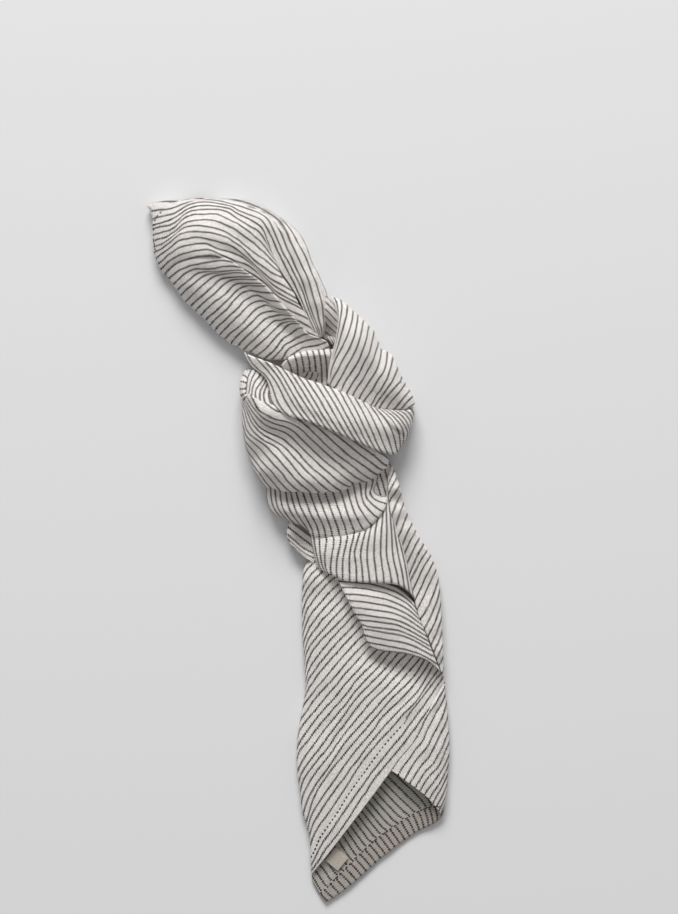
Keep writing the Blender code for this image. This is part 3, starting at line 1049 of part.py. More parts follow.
def height_through(table):
    """The height field that passes through each (x, y, z) of the table with the least bend."""
    table = np.array(table, float)
    flat, z = table[:, :2], table[:, 2]

    def bend(gap):
        return np.where(gap > 0, gap**2 * np.log(gap + 1e-12), 0)

    count = len(flat)
    gaps = np.linalg.norm(flat[:, None] - flat[None], axis=2)
    plane = np.hstack([np.ones((count, 1)), flat])
    left = np.zeros((count + 3, count + 3))
    left[:count, :count] = bend(gaps) + 2.0 * np.eye(count)
    left[:count, count:] = plane
    left[count:, :count] = plane.T
    weights = np.linalg.solve(left, np.concatenate([z, np.zeros(3)]))

    def height(x, y):
        gap = np.hypot(x - flat[:, 0], y - flat[:, 1])
        return bend(gap) @ weights[:count] + weights[count] + weights[count + 1] * x + weights[count + 2] * y

    return height


def panel(name, fine=2, rows=None):
    """The panel's grid of points, fine steps to each row and column of its net."""
    net = rows or NETS[name]
    height = height_through(HEIGHTS[name])
    grid = []
    for stripe, points in net:
        rise = LEAF_RISE.get(stripe) if name == "leaf" else None
        rise = rise or [1] * len(points)
        # A hidden row lies just above the resting surface.
        lifted = [(x, y, 1 + (height(x, y) - 1) * up) for (x, y), up in zip(points, rise)]
        grid.append(curve(lifted, fine * (len(points) - 1) + 1))
    grid = np.array(grid)
    columns = [curve(grid[:, j], fine * (len(net) - 1) + 1) for j in range(grid.shape[1])]
    return np.transpose(np.array(columns), (1, 0, 2))


def rim(rows, columns):
    """The grid's border, as (row, column) in order."""
    top = [(0, j) for j in range(columns - 1)]
    right = [(i, columns - 1) for i in range(rows - 1)]
    bottom = [(rows - 1, j) for j in range(columns - 1, 0, -1)]
    left = [(i, 0) for i in range(rows - 1, 0, -1)]
    return top + right + bottom + left


def outward(loop):
    """For each point of a closed loop, the level direction that leads out of it."""
    ahead = np.roll(loop, -1, axis=0) - np.roll(loop, 1, axis=0)
    area = np.sum(loop[:, 0] * np.roll(loop[:, 1], -1) - np.roll(loop[:, 0], -1) * loop[:, 1])
    out = np.stack([ahead[:, 1], -ahead[:, 0]], axis=1) * (1 if area > 0 else -1)
    return out / np.maximum(np.linalg.norm(out, axis=1, keepdims=True), 1e-9)


class Shell:
    """Points and faces gathered for one mesh."""

    def __init__(self):
        self.points = []
        self.faces = []

    def add(self, points, faces):
        start = len(self.points)
        self.points += [tuple(float(v) for v in p) for p in points]
        self.faces += [tuple(start + i for i in face) for face in faces]


def closed(shell, upper, lower, rings):
    """A closed body between two grids of the same size, joined round the border by rings."""
    rows, columns = upper.shape[:2]
    border = rim(rows, columns)
    points = list(upper.reshape(-1, 3)) + list(lower.reshape(-1, 3))
    size = rows * columns
    faces = []
    for i in range(rows - 1):
        for j in range(columns - 1):
            a = i * columns + j
            quad = (a, a + 1, a + columns + 1, a + columns)
            faces.append(quad)
            faces.append(tuple(size + k for k in reversed(quad)))
    levels = [[i * columns + j for i, j in border]]
    for ring in rings:
        levels.append(list(range(len(points), len(points) + len(ring))))
        points += list(ring)
    levels.append([size + i * columns + j for i, j in border])
    count = len(border)
    for high, low in zip(levels, levels[1:]):
        for k in range(count):
            nxt = (k + 1) % count
            faces.append((high[nxt], high[k], low[k], low[nxt]))
    shell.add(points, faces)


def filled(shell, grid):
    """A panel of wound cloth: its top, an edge that turns under, and a flat underside."""
    rows, columns = grid.shape[:2]
    border = rim(rows, columns)
    loop = np.array([grid[i, j] for i, j in border])
    out = outward(loop[:, :2])
    high = loop[:, 2:3]
    rings = []
    for drop in (0.35, 0.7, 0.92):
        inward = np.minimum(TURN_UNDER * high, TURN_MOST) * (1 - math.sqrt(1 - drop**2))
        rings.append(np.hstack([loop[:, :2] - out * inward, high * (1 - drop)]))
    lower = grid.copy()
    lower[:, :, 2] = -SUNK
    for (i, j), point in zip(border, rings[-1]):
        lower[i, j, :2] = point[:2]
    closed(shell, grid, lower, rings)


def layer(shell, grid, thick):
    """A single layer of cloth under the grid."""
    lower = grid.copy()
    lower[:, :, 2] -= thick
    closed(shell, grid, lower, [])


def strand(shell, outline, height):
    """A level body of hidden cloth with the given outline."""
    count = len(outline)
    points = [(x, y, height) for x, y in outline] + [(x, y, -SUNK) for x, y in outline]
    faces = [tuple(range(count)), tuple(reversed(range(count, 2 * count)))]
    for k in range(count):
        nxt = (k + 1) % count
        faces.append((nxt, k, count + k, count + nxt))
    shell.add(points, faces)


def wall(shell, edge, centre):
    """The turned edge of the tail, from the flap down to the lower layer."""
    edge = np.array(edge)
    along = np.gradient(edge[:, :2], axis=0)
    side = np.stack([along[:, 1], -along[:, 0]], axis=1)
    side /= np.linalg.norm(side, axis=1, keepdims=True)
    towards = np.sum(side * (np.array(centre) - edge[:, :2]), axis=1, keepdims=True)
    side = np.where(towards > 0, side, -side)
    upper = np.stack([edge, edge + np.hstack([side * WALL_WIDTH, np.zeros((len(edge), 1))])], axis=1)
    lower = upper.copy()
    lower[:, 0, :2] += side * 1.2
    lower[:, 1, :2] += side * 0.6
    lower[:, :, 2] = -SUNK
    closed(shell, upper, lower, [])


def mesh_object(name, points, faces, collection):
    mesh = bpy.data.meshes.new(name)
    mesh.from_pydata([tuple(v * MM for v in p) for p in points], [], faces)
    mesh.validate()
    obj = bpy.data.objects.new(name, mesh)
    collection.objects.link(obj)
    return obj


def outer_skin(mesh):
    """Keeps the largest connected piece, which fills any hollow sealed inside it."""
    bm = bmesh.new()
    bm.from_mesh(mesh)
    bm.faces.ensure_lookup_table()
    seen = set()
    pieces = []
    for face in bm.faces:
        if face.index in seen:
            continue
        stack, piece = [face], []
        seen.add(face.index)
        while stack:
            current = stack.pop()
            piece.append(current)
            for edge in current.edges:
                for other in edge.link_faces:
                    if other.index not in seen:
                        seen.add(other.index)
                        stack.append(other)
        pieces.append(piece)
    keep = set(max(pieces, key=len))
    bmesh.ops.delete(bm, geom=[f for f in bm.faces if f not in keep], context="FACES")
    bm.to_mesh(mesh)
    bm.free()


def evaluated(obj):
    bpy.context.view_layer.update()
    graph = bpy.context.evaluated_depsgraph_get()
    return bpy.data.meshes.new_from_object(obj.evaluated_get(graph))


def rest_flat(obj):
    """Cuts the underside level, and moves the cut down to z = 0."""
    bm = bmesh.new()
    bm.from_mesh(obj.data)
    level = FLAT_CUT * MM
    geometry = bm.verts[:] + bm.edges[:] + bm.faces[:]
    bmesh.ops.bisect_plane(
        bm, geom=geometry, plane_co=(0, 0, level), plane_no=(0, 0, -1), dist=1e-6, clear_outer=True
    )
    rim_edges = [e for e in bm.edges if e.is_boundary]
    bmesh.ops.holes_fill(bm, edges=rim_edges, sides=0)
    bmesh.ops.triangulate(bm, faces=[f for f in bm.faces if len(f.verts) > 3])
    bmesh.ops.translate(bm, verts=bm.verts, vec=(0, 0, -level))
    bmesh.ops.recalc_face_normals(bm, faces=bm.faces)
    bm.to_mesh(obj.data)
    bm.free()


def fabric(name, colour, rough):
    material = bpy.data.materials.new(name)
    material.use_nodes = True
    shader = next(n for n in material.node_tree.nodes if n.type == "BSDF_PRINCIPLED")
    shader.inputs["Base Color"].default_value = (*colour, 1)
    shader.inputs["Roughness"].default_value = rough
    return material


def build():
    for obj in list(bpy.data.objects):
        bpy.data.objects.remove(obj)
    home = bpy.data.collections.new("knotted_napkin")
    bpy.context.scene.collection.children.link(home)

    shell = Shell()
    for name in FILLED:
        filled(shell, panel(name))
    strand(shell, LOW_STRAND, LOW_STRAND_HEIGHT)
    strand(shell, HEART, HEART_HEIGHT)
    upper_rows = [row for row in NETS["tail"] if row[0] <= MOUTH_STRIPE]
    lower_rows = [row for row in NETS["tail"] if row[0] >= MOUTH_STRIPE]
    filled(shell, panel("tail", rows=upper_rows))
    flap = panel("tail", rows=lower_rows)
    cuff = panel("cuff")
    layer(shell, flap, FLAP_THICK)
    layer(shell, cuff, FLAP_THICK)
    layer(shell, panel("base"), BASE_THICK + SUNK)
    # The lower layer runs on under the flap, up to the filled part of the tail.
    under = flap.copy()
    under[:, :, 2] = BASE_THICK
    layer(shell, under, BASE_THICK + SUNK)
    under = cuff.copy()
    under[:, :, 2] = BASE_THICK
    layer(shell, under, BASE_THICK + SUNK)
    wall(shell, flap[:, 0], (40, -120))
    wall(shell, flap[:, -1], (40, -90))
    wall(shell, cuff[:, -1], (40, -100))

    napkin = mesh_object("napkin_cloth", shell.points, shell.faces, home)
    remesh = napkin.modifiers.new("one_skin", "REMESH")
    remesh.mode = "VOXEL"
    remesh.voxel_size = VOXEL * MM
    napkin_mesh = evaluated(napkin)
    napkin.modifiers.clear()
    napkin.data = napkin_mesh
    outer_skin(napkin.data)

    smooth = napkin.modifiers.new("even", "SMOOTH")
    smooth.factor = 0.5
    smooth.iterations = 2
    fewer = napkin.modifiers.new("fewer", "DECIMATE")
    napkin.data.calc_loop_triangles()
    fewer.ratio = TRIANGLES / len(napkin.data.loop_triangles)
    napkin_mesh = evaluated(napkin)
    napkin.modifiers.clear()
    napkin.data = napkin_mesh
    rest_flat(napkin)
    outer_skin(napkin.data)

    along, across = np.array(LABEL_ALONG), np.array(LABEL_ACROSS)
    first = np.array(LABEL_CORNER)
    low = BASE_THICK + LABEL_GAP - FLAT_CUT
    corners = [first, first + along, first + along + across, first + across]
    points = [(*c, low) for c in corners] + [(*c, low + LABEL_THICK) for c in corners]
    faces = [(3, 2, 1, 0), (4, 5, 6, 7)]
    faces += [(k, (k + 1) % 4, 4 + (k + 1) % 4, 4 + k) for k in range(4)]
    label = mesh_object("label", points, faces, home)

    # The resting box is centred on the origin.
    corners = np.array([v.co for v in napkin.data.vertices])
    middle = (corners.min(axis=0) + corners.max(axis=0)) / 2
    for obj in (napkin, label):
        for vertex in obj.data.vertices:
            vertex.co.x -= middle[0]
            vertex.co.y -= middle[1]
        obj.data.update()
    napkin.data.materials.clear()
    napkin.data.materials.append(fabric("striped_linen", (0.62, 0.60, 0.57), 0.95))
    label.data.materials.append(fabric("woven_label", (0.50, 0.45, 0.40), 0.9))


build()
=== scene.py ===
"""The linen napkin as it looks: a knotted, striped cloth with a puffed corner, a woven label
and a tail whose hemmed end is folded over into an open mouth.

Lengths in the tables are millimetres, taken flat on the table top: X to the right, Y towards
the puffed corner, Z up. Each net's rows are single stripes of the weave, so the same numbers
place the folds and the pattern on them.
"""

import json
import math

import bpy  # noqa: E402
import numpy as np  # noqa: E402
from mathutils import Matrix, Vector  # noqa: E402

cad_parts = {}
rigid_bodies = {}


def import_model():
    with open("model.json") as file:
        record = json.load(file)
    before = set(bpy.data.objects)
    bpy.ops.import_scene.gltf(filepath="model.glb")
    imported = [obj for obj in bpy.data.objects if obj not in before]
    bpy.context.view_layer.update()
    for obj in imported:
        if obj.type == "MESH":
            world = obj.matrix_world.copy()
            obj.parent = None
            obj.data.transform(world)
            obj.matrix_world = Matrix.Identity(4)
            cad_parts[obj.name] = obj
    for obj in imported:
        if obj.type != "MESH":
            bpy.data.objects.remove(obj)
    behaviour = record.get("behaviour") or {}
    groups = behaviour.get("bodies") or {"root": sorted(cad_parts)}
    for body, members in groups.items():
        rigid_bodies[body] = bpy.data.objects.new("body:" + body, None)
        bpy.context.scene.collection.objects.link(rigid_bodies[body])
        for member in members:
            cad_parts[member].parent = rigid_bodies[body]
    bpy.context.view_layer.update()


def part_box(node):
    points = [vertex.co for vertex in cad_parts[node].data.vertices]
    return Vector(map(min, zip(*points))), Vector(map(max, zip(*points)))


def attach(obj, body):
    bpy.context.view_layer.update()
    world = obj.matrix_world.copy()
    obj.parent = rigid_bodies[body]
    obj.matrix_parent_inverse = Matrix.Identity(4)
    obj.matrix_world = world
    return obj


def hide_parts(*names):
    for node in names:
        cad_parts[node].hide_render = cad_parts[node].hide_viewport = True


MM = 0.001

# The borders that the puffed corner's leaf shares with its vane and with its flank.
RIDGE = (
    (-74, 163.4), (-69, 164.4), (-64, 165.9), (-60, 168.3), (-56.5, 171), (-53, 172.4), (-50, 172.9),
    (-45, 173), (-41.7, 172.6), (-37.1, 171.7), (-34.8, 171.3), (-33.2, 170.2), (-31.3, 168.8),
    (-28.6, 167.5), (-26.3, 166.5), (-24, 165.2), (-21.7, 163.8), (-19.8, 162.3), (-18.2, 160.8),
    (-17, 157), (-15.6, 153), (-14.6, 150),
)
BRINK = (
    (-67.6, 139.2), (-66, 140.8), (-64.5, 141.9), (-62.9, 143.1), (-61, 144.2), (-58.7, 145.1),
    (-56.8, 145.6), (-54.8, 146), (-52.9, 146.6), (-50.6, 147), (-48.3, 147.2), (-46.4, 147.3),
    (-44.1, 147.5),
)

# Each row of a net is one stripe: its number, then (x, y) points along it. Neighbouring rows
# are laid so that a column of points follows a fold.
NETS = {}
NETS["leaf"] = (
    (0, RIDGE),
    (1, ((-74, 161.6), (-68.3, 162.7), (-64.8, 163), (-62, 164.4), (-60, 166), (-57.5, 168.6),
        (-54.5, 170.2), (-49.5, 170.8), (-45, 171), (-41, 170.8), (-38.2, 170.4), (-36.3, 169.4),
        (-34.4, 168.7), (-32.5, 167.1), (-30.5, 165.8), (-28.6, 164.6), (-26.7, 163.5), (-24.8, 162.1),
        (-22.8, 161.2), (-20.9, 160), (-19.4, 158.5), (-18.2, 156.9), (-16.7, 154.4), (-15.2, 151),
        (-13.4, 148))),
    (2, ((-74, 158.4), (-68.3, 159.9), (-65, 160.4), (-62, 162.2), (-60, 164.2), (-57.8, 166.4),
        (-54.8, 167.7), (-52.5, 168.3), (-48.3, 168.3), (-43.7, 168.5), (-41, 168.2), (-39.1, 167.5),
        (-37.5, 166.7), (-35.6, 165.8), (-33.5, 164.6), (-31.3, 163.8), (-28.6, 161.9), (-26.7, 160.6),
        (-24.8, 159.4), (-22.8, 157.3), (-20.9, 155.8), (-19, 154.2), (-17.1, 151.9), (-15.6, 149.8),
        (-13.8, 147.2), (-12.2, 145.4))),
    (3, ((-73.8, 155.4), (-70.2, 156.5), (-67.2, 156.9), (-64.5, 158.5), (-61.8, 160), (-60, 161.6),
        (-58, 163.6), (-55.5, 164.7), (-51.8, 165.2), (-49.5, 165.4), (-47.2, 165.6), (-43.3, 165.1),
        (-41.4, 164.6), (-39.1, 164), (-37.5, 163.1), (-35.6, 162.1), (-32.5, 160.8), (-30.5, 159.2),
        (-28.6, 157.9), (-26.7, 156.5), (-24.8, 155.2), (-22.8, 153.7), (-20.9, 151.9), (-19, 150.4),
        (-17.1, 148.8), (-15.5, 147.1), (-13.4, 144.8), (-11.3, 142.8))),
    (4, ((-73.6, 152.8), (-69, 153.8), (-66.8, 155), (-64.8, 156.2), (-62.9, 157.7), (-61, 159),
        (-59.5, 160.4), (-57.5, 161.7), (-54.8, 162.3), (-52.2, 162.5), (-49.5, 162.5), (-47.2, 162.1),
        (-44.8, 161.7), (-42.5, 161.2), (-40.2, 160.6), (-37.9, 159.8), (-35.2, 158.5), (-33.2, 156.9),
        (-30.9, 155.8), (-28.6, 153.8), (-26.7, 152.3), (-24.8, 150.8), (-22.8, 149.2), (-20.2, 147.3),
        (-17.9, 146.2), (-15.5, 144.2), (-13.4, 142.2), (-11.6, 140.8), (-9.8, 139.6))),
    (5, ((-73.4, 149.8), (-69, 151.5), (-66.8, 153.1), (-64.5, 154.6), (-62.5, 156.2), (-61, 157.6),
        (-59.5, 158.5), (-57.5, 159), (-56, 159.3), (-52.9, 159.6), (-50.6, 159.6), (-48.7, 159.2),
        (-46.4, 159), (-44.5, 158.9), (-42.5, 158.3), (-40.2, 157.7), (-37.9, 156.9), (-36, 156.5),
        (-34.3, 155.2), (-32.8, 154.2), (-30.9, 153.1), (-28.6, 151.5), (-26.7, 149.6), (-25.2, 148.1),
        (-23.2, 145.8), (-21.3, 144.2), (-19, 142.7), (-16.7, 141.2), (-14.8, 139.6), (-12.8, 138.6),
        (-10.6, 137.6), (-8.4, 137))),
    (6, ((-72.2, 146.8), (-70.2, 148.3), (-68.3, 149.4), (-66.8, 150.4), (-64.8, 151.7), (-62.9, 153.1),
        (-61, 154.6), (-59.5, 155.5), (-57.5, 155.7), (-55.2, 156), (-53.3, 156.5), (-51, 156.6),
        (-49.5, 156.5), (-47.5, 156.1), (-45.6, 155.5), (-43.3, 155), (-41.8, 154.6), (-39.5, 153.8),
        (-37.2, 153.5), (-34.5, 152.5), (-32.5, 151.3), (-30.5, 150), (-28.6, 148.3), (-26.7, 146.8),
        (-24.8, 145.2), (-22.5, 143), (-20.2, 140.8), (-18.6, 139.4), (-16.7, 137.8), (-14.8, 136.4),
        (-12.5, 135), (-9.6, 133.6), (-7.3, 132.4), (-3.6, 130.2))),
    (7, ((-71.2, 144.2), (-69.5, 145.2), (-67.9, 146.3), (-66.4, 147.7), (-64.8, 149), (-62.9, 149.8),
        (-61.4, 151), (-59.5, 151.7), (-57.5, 152.5), (-55.6, 152.8), (-52.9, 153.1), (-50.6, 153.5),
        (-46.4, 153.4), (-44.8, 152.9), (-43.3, 151.9), (-41, 151), (-39.1, 150.4), (-37.2, 150),
        (-34.5, 149.2), (-32.5, 148.5), (-30.5, 147.7), (-28.6, 146.9), (-27.1, 145.8), (-24.8, 144.2),
        (-22.8, 142.5), (-20.9, 140.4), (-19, 138.6), (-17.2, 136.8), (-15.4, 135), (-13.4, 133.4),
        (-11.7, 132), (-8.8, 130.4), (-5.8, 128.8), (-1.6, 126.4))),
    (8, ((-70, 141.4), (-68.3, 142.7), (-66.8, 144.2), (-65.6, 145.2), (-63.7, 146), (-61.8, 147.1),
        (-59.8, 148.1), (-57.5, 148.7), (-55.2, 149.2), (-53.3, 149.6), (-51, 149.9), (-49.1, 150.2),
        (-46.8, 150.5), (-44.8, 150.4), (-42.2, 149.2), (-39.1, 147.7), (-36, 146.7), (-33.6, 145.4),
        (-31.3, 144.7), (-28.6, 144), (-26.7, 143.3), (-24, 141.5), (-21.7, 139.8), (-19.4, 137.4),
        (-17.2, 135), (-15, 133), (-13.2, 131), (-10.9, 129.2), (-8, 127.6), (-5, 126), (-0.4, 123.6))),
    (9, BRINK + (
        (-41.8, 147.3), (-38, 145.6), (-34, 143.4), (-30, 141.6), (-26.3, 140), (-24, 138.7),
        (-20.9, 136.7), (-18.6, 135.2), (-16.7, 133.6), (-14.8, 131.6), (-13, 129.6), (-11, 127.6),
        (-9, 126.2), (-6, 124.8), (-3.2, 123.5), (1.4, 121.2),
    )),
    (10, ((-56, 142), (-50, 142.4), (-44, 141.8), (-38, 139.6), (-32, 136.8), (-26, 133.4), (-20, 129.4),
        (-15, 126), (-11.4, 123.4), (-8, 121.6), (-5.5, 120.6), (-2.5, 119.4), (0.2, 118.3),
        (4.6, 116.2))),
    (11, ((-50, 138), (-43, 137), (-36, 134.4), (-29, 130.6), (-22, 126), (-16, 121.4), (-11, 118.2),
        (-8, 117.2), (-5.2, 116.7), (-2.1, 115.9), (0.6, 114.7), (3.7, 112.9), (7.2, 111.2))),
    (12, ((-44, 133), (-37, 130), (-30, 126), (-22, 121), (-15, 116.4), (-9, 113.4), (-5, 112.4),
        (-1, 111.4), (3, 110), (9.2, 107))),
)
NETS["flank"] = (
    (9, BRINK + ((-41.8, 147.4), (-38.6, 147.4),)),
    (10, ((-65.8, 136.9), (-63.5, 138.5), (-61.8, 139.6), (-59.5, 141), (-57.5, 141.5), (-54.8, 142.7),
        (-52.9, 143), (-50.6, 143.2), (-49.1, 143.7), (-46.4, 144), (-44.1, 144.5), (-41.4, 144.8),
        (-39.1, 145.1), (-36.4, 144.8), (-33, 144.4))),
    (11, ((-63.8, 133.8), (-61.9, 135.2), (-59.8, 137), (-57.8, 138.5), (-55.7, 139.8), (-53.2, 140.8),
        (-50.7, 141.2), (-48, 140.9), (-45.3, 140.9), (-42.8, 141.2), (-40.3, 141.6), (-37.8, 142),
        (-34.8, 142.2), (-32.3, 142), (-28.8, 141.4))),
    (12, ((-61.6, 131), (-59.4, 132.7), (-56.9, 134.3), (-54.8, 136), (-53.2, 137.5), (-51.5, 138.7),
        (-49.8, 139.3), (-48, 139.5), (-45.5, 139.6), (-42, 139.4), (-38, 139.6), (-34, 140),
        (-30.4, 140.1), (-27.2, 140))),
    (13, ((-59.9, 128.3), (-57.8, 130.4), (-55.3, 132), (-53.2, 133.5), (-51.1, 135.4), (-49.4, 136.6),
        (-47.3, 137.9), (-45.6, 138.5), (-43, 138.8), (-39, 138.9), (-35, 139.3), (-31, 139.6),
        (-28, 139.4), (-26, 139.3))),
    (14, ((-57.6, 125.2), (-55.7, 126.8), (-53.6, 128.5), (-51.5, 130.4), (-49.4, 132.3), (-47.3, 133.9),
        (-45.7, 135.4), (-44, 136.6), (-42.3, 137.5), (-40.9, 138), (-38.2, 138.4), (-35.7, 138.8),
        (-33.2, 139.1), (-30.7, 139.3), (-28.6, 138.9), (-27.1, 138.6), (-25, 138.6))),
    (15, ((-54.9, 123), (-52.8, 124.8), (-50.7, 126.4), (-48.2, 128.1), (-46.1, 130.2), (-44.4, 131.6),
        (-42.3, 133.5), (-40.7, 135.2), (-39, 136.2), (-36.4, 136.7), (-33, 136.8), (-29, 136.9),
        (-25.4, 136.7), (-22.6, 136.9))),
    (16, ((-52.6, 120.4), (-50.3, 122.7), (-47.3, 125), (-45.3, 126.8), (-43.2, 128.1), (-41.5, 129.8),
        (-39.8, 131.4), (-38.2, 133.1), (-36.5, 134.3), (-34.8, 135.3), (-33.2, 135.8), (-30.7, 135.8),
        (-28.2, 136), (-25.7, 135.8), (-22.3, 135.6), (-21, 135.7))),
    (17, ((-49.8, 118.3), (-47.3, 120.6), (-45.7, 122.3), (-43.2, 124.3), (-40.7, 126), (-38.6, 127.5),
        (-36.9, 128.9), (-35.7, 130.2), (-34.4, 131.8), (-32.8, 133.2), (-31, 134), (-28, 133.8),
        (-24.4, 133.7), (-21, 133.6), (-18.2, 133.6))),
    (18, ((-47.3, 115.9), (-45.3, 117.9), (-42.3, 119.8), (-40.3, 121.8), (-38.2, 123.5), (-36.1, 125.6),
        (-34.4, 127.3), (-32.8, 128.9), (-31.5, 130.6), (-29.8, 131.4), (-27.8, 132.5), (-25.7, 132.9),
        (-24, 132.7), (-21.5, 132.5), (-19, 132.5), (-16.8, 132.3))),
    (19, ((-45.3, 113.3), (-42.8, 115.8), (-40.7, 117.7), (-38.6, 119.3), (-36.5, 121), (-34.4, 123.3),
        (-32.8, 125.6), (-31.1, 127.3), (-29.4, 128.9), (-27.3, 130), (-24.8, 130.4), (-22.3, 130),
        (-19.8, 129.5), (-18.6, 129.2), (-16.3, 129), (-13.2, 128.9))),
    (20, ((-42.8, 110.9), (-40.7, 113.1), (-38.2, 115), (-35.7, 117.3), (-33.6, 119.1), (-31.5, 121),
        (-29.8, 122.7), (-28.2, 125.2), (-26.1, 126.4), (-24, 127.5), (-21.9, 128.1), (-19.8, 127.7),
        (-18.6, 126.9), (-17.1, 126), (-14.8, 125.4), (-12.5, 125), (-9.6, 124.5))),
    (21, ((-40.5, 108.6), (-38.2, 110.8), (-36.1, 112.7), (-33.6, 115), (-31.1, 117.3), (-29, 119.3),
        (-27.3, 121.4), (-25.7, 123.1), (-23.6, 124.3), (-21.1, 125.2), (-18.6, 125.4), (-17.1, 124.8),
        (-14.8, 123.5), (-12.5, 121.7), (-10.2, 121), (-7.1, 120.4), (-5.8, 120.4))),
    (22, ((-37.8, 106.7), (-35.3, 108.9), (-32.8, 110.6), (-30.3, 112.5), (-28.2, 114.3), (-26.1, 116.8),
        (-24.4, 118.9), (-22.3, 121), (-20.3, 122), (-18.2, 122.9), (-16.7, 123.4), (-15, 122.6),
        (-13, 121), (-10.6, 120.1), (-7.4, 119.7), (-4.8, 119.4))),
    (23, ((-34.8, 104), (-32.8, 106.8), (-30.3, 108.9), (-27.8, 111), (-25.3, 113.1), (-22.8, 115.6),
        (-20.7, 118.1), (-18.6, 119.4), (-16.3, 119.8), (-14, 120.2), (-12, 119.9), (-9, 119.2),
        (-6.4, 118.8), (-4.2, 118.6))),
    (24, ((-31.3, 102.9), (-29, 105.2), (-26.5, 107.7), (-24, 109.8), (-21.5, 112.3), (-19, 114.8),
        (-17.1, 116.7), (-14.8, 117.3), (-12.5, 117.7), (-10.2, 118.3), (-8, 118.2), (-5.6, 117.9),
        (-3.6, 117.8))),
    (25, ((-28.6, 100.8), (-26.5, 103.1), (-24.4, 104.8), (-21.9, 106.8), (-19, 109.8), (-16.7, 111.9),
        (-14.8, 113.8), (-13.2, 115.2), (-11.5, 115.7), (-9.4, 115.5), (-7.5, 116), (-5.5, 116.3),
        (-3.2, 116), (-1.8, 115.8))),
    (26, ((-24.8, 100.2), (-22.3, 102.3), (-19.8, 104.3), (-16.3, 107.3), (-14, 109.6), (-11.7, 111.9),
        (-10.2, 113.5), (-8.6, 114.4), (-5.6, 114.9), (-3, 115), (-1, 114.8))),
    (27, ((-21.5, 98.3), (-19.4, 99.6), (-17.1, 101.5), (-14.8, 103.8), (-12.8, 106.2), (-10.9, 108.5),
        (-9, 110.2), (-7.6, 111.8), (-5.8, 113.3), (-3.2, 114), (0, 113.7))),
    (28, ((-17.7, 96.5), (-15.5, 98.5), (-13.2, 100.4), (-10.9, 103.1), (-9.4, 105.4), (-7.5, 107.3),
        (-5.5, 108.5), (-3.6, 109.6), (-2.1, 110.8), (-0.5, 111.6), (1.8, 111.6))),
    (29, ((-14.2, 96.3), (-12.1, 98.1), (-10.2, 100), (-8.6, 101.9), (-7.5, 103.5), (-4.8, 105),
        (-2.5, 106.5), (-0.2, 107.7), (2.2, 108.6), (4.6, 108.8))),
    (30, ((-9.2, 96.3), (-7.5, 98.8), (-6.3, 100.8), (-4.4, 102.3), (-2.1, 103.5), (0.6, 104.8),
        (3.3, 105.6), (6, 106.2), (8, 106.4), (11, 106.6))),
    (31, ((-6, 96.2), (-3.6, 98.8), (-1.3, 100.4), (1.4, 102.1), (3.7, 102.6), (7.9, 103), (11, 104),
        (13.6, 105))),
    (32, ((-1, 96.2), (1.8, 98.5), (4.1, 99.8), (6.4, 100.2), (7.9, 100.3), (11, 101), (14.6, 102.8))),
    (33, ((1, 93.8), (4, 95.6), (8, 96.8), (12, 98), (15, 100))),
)
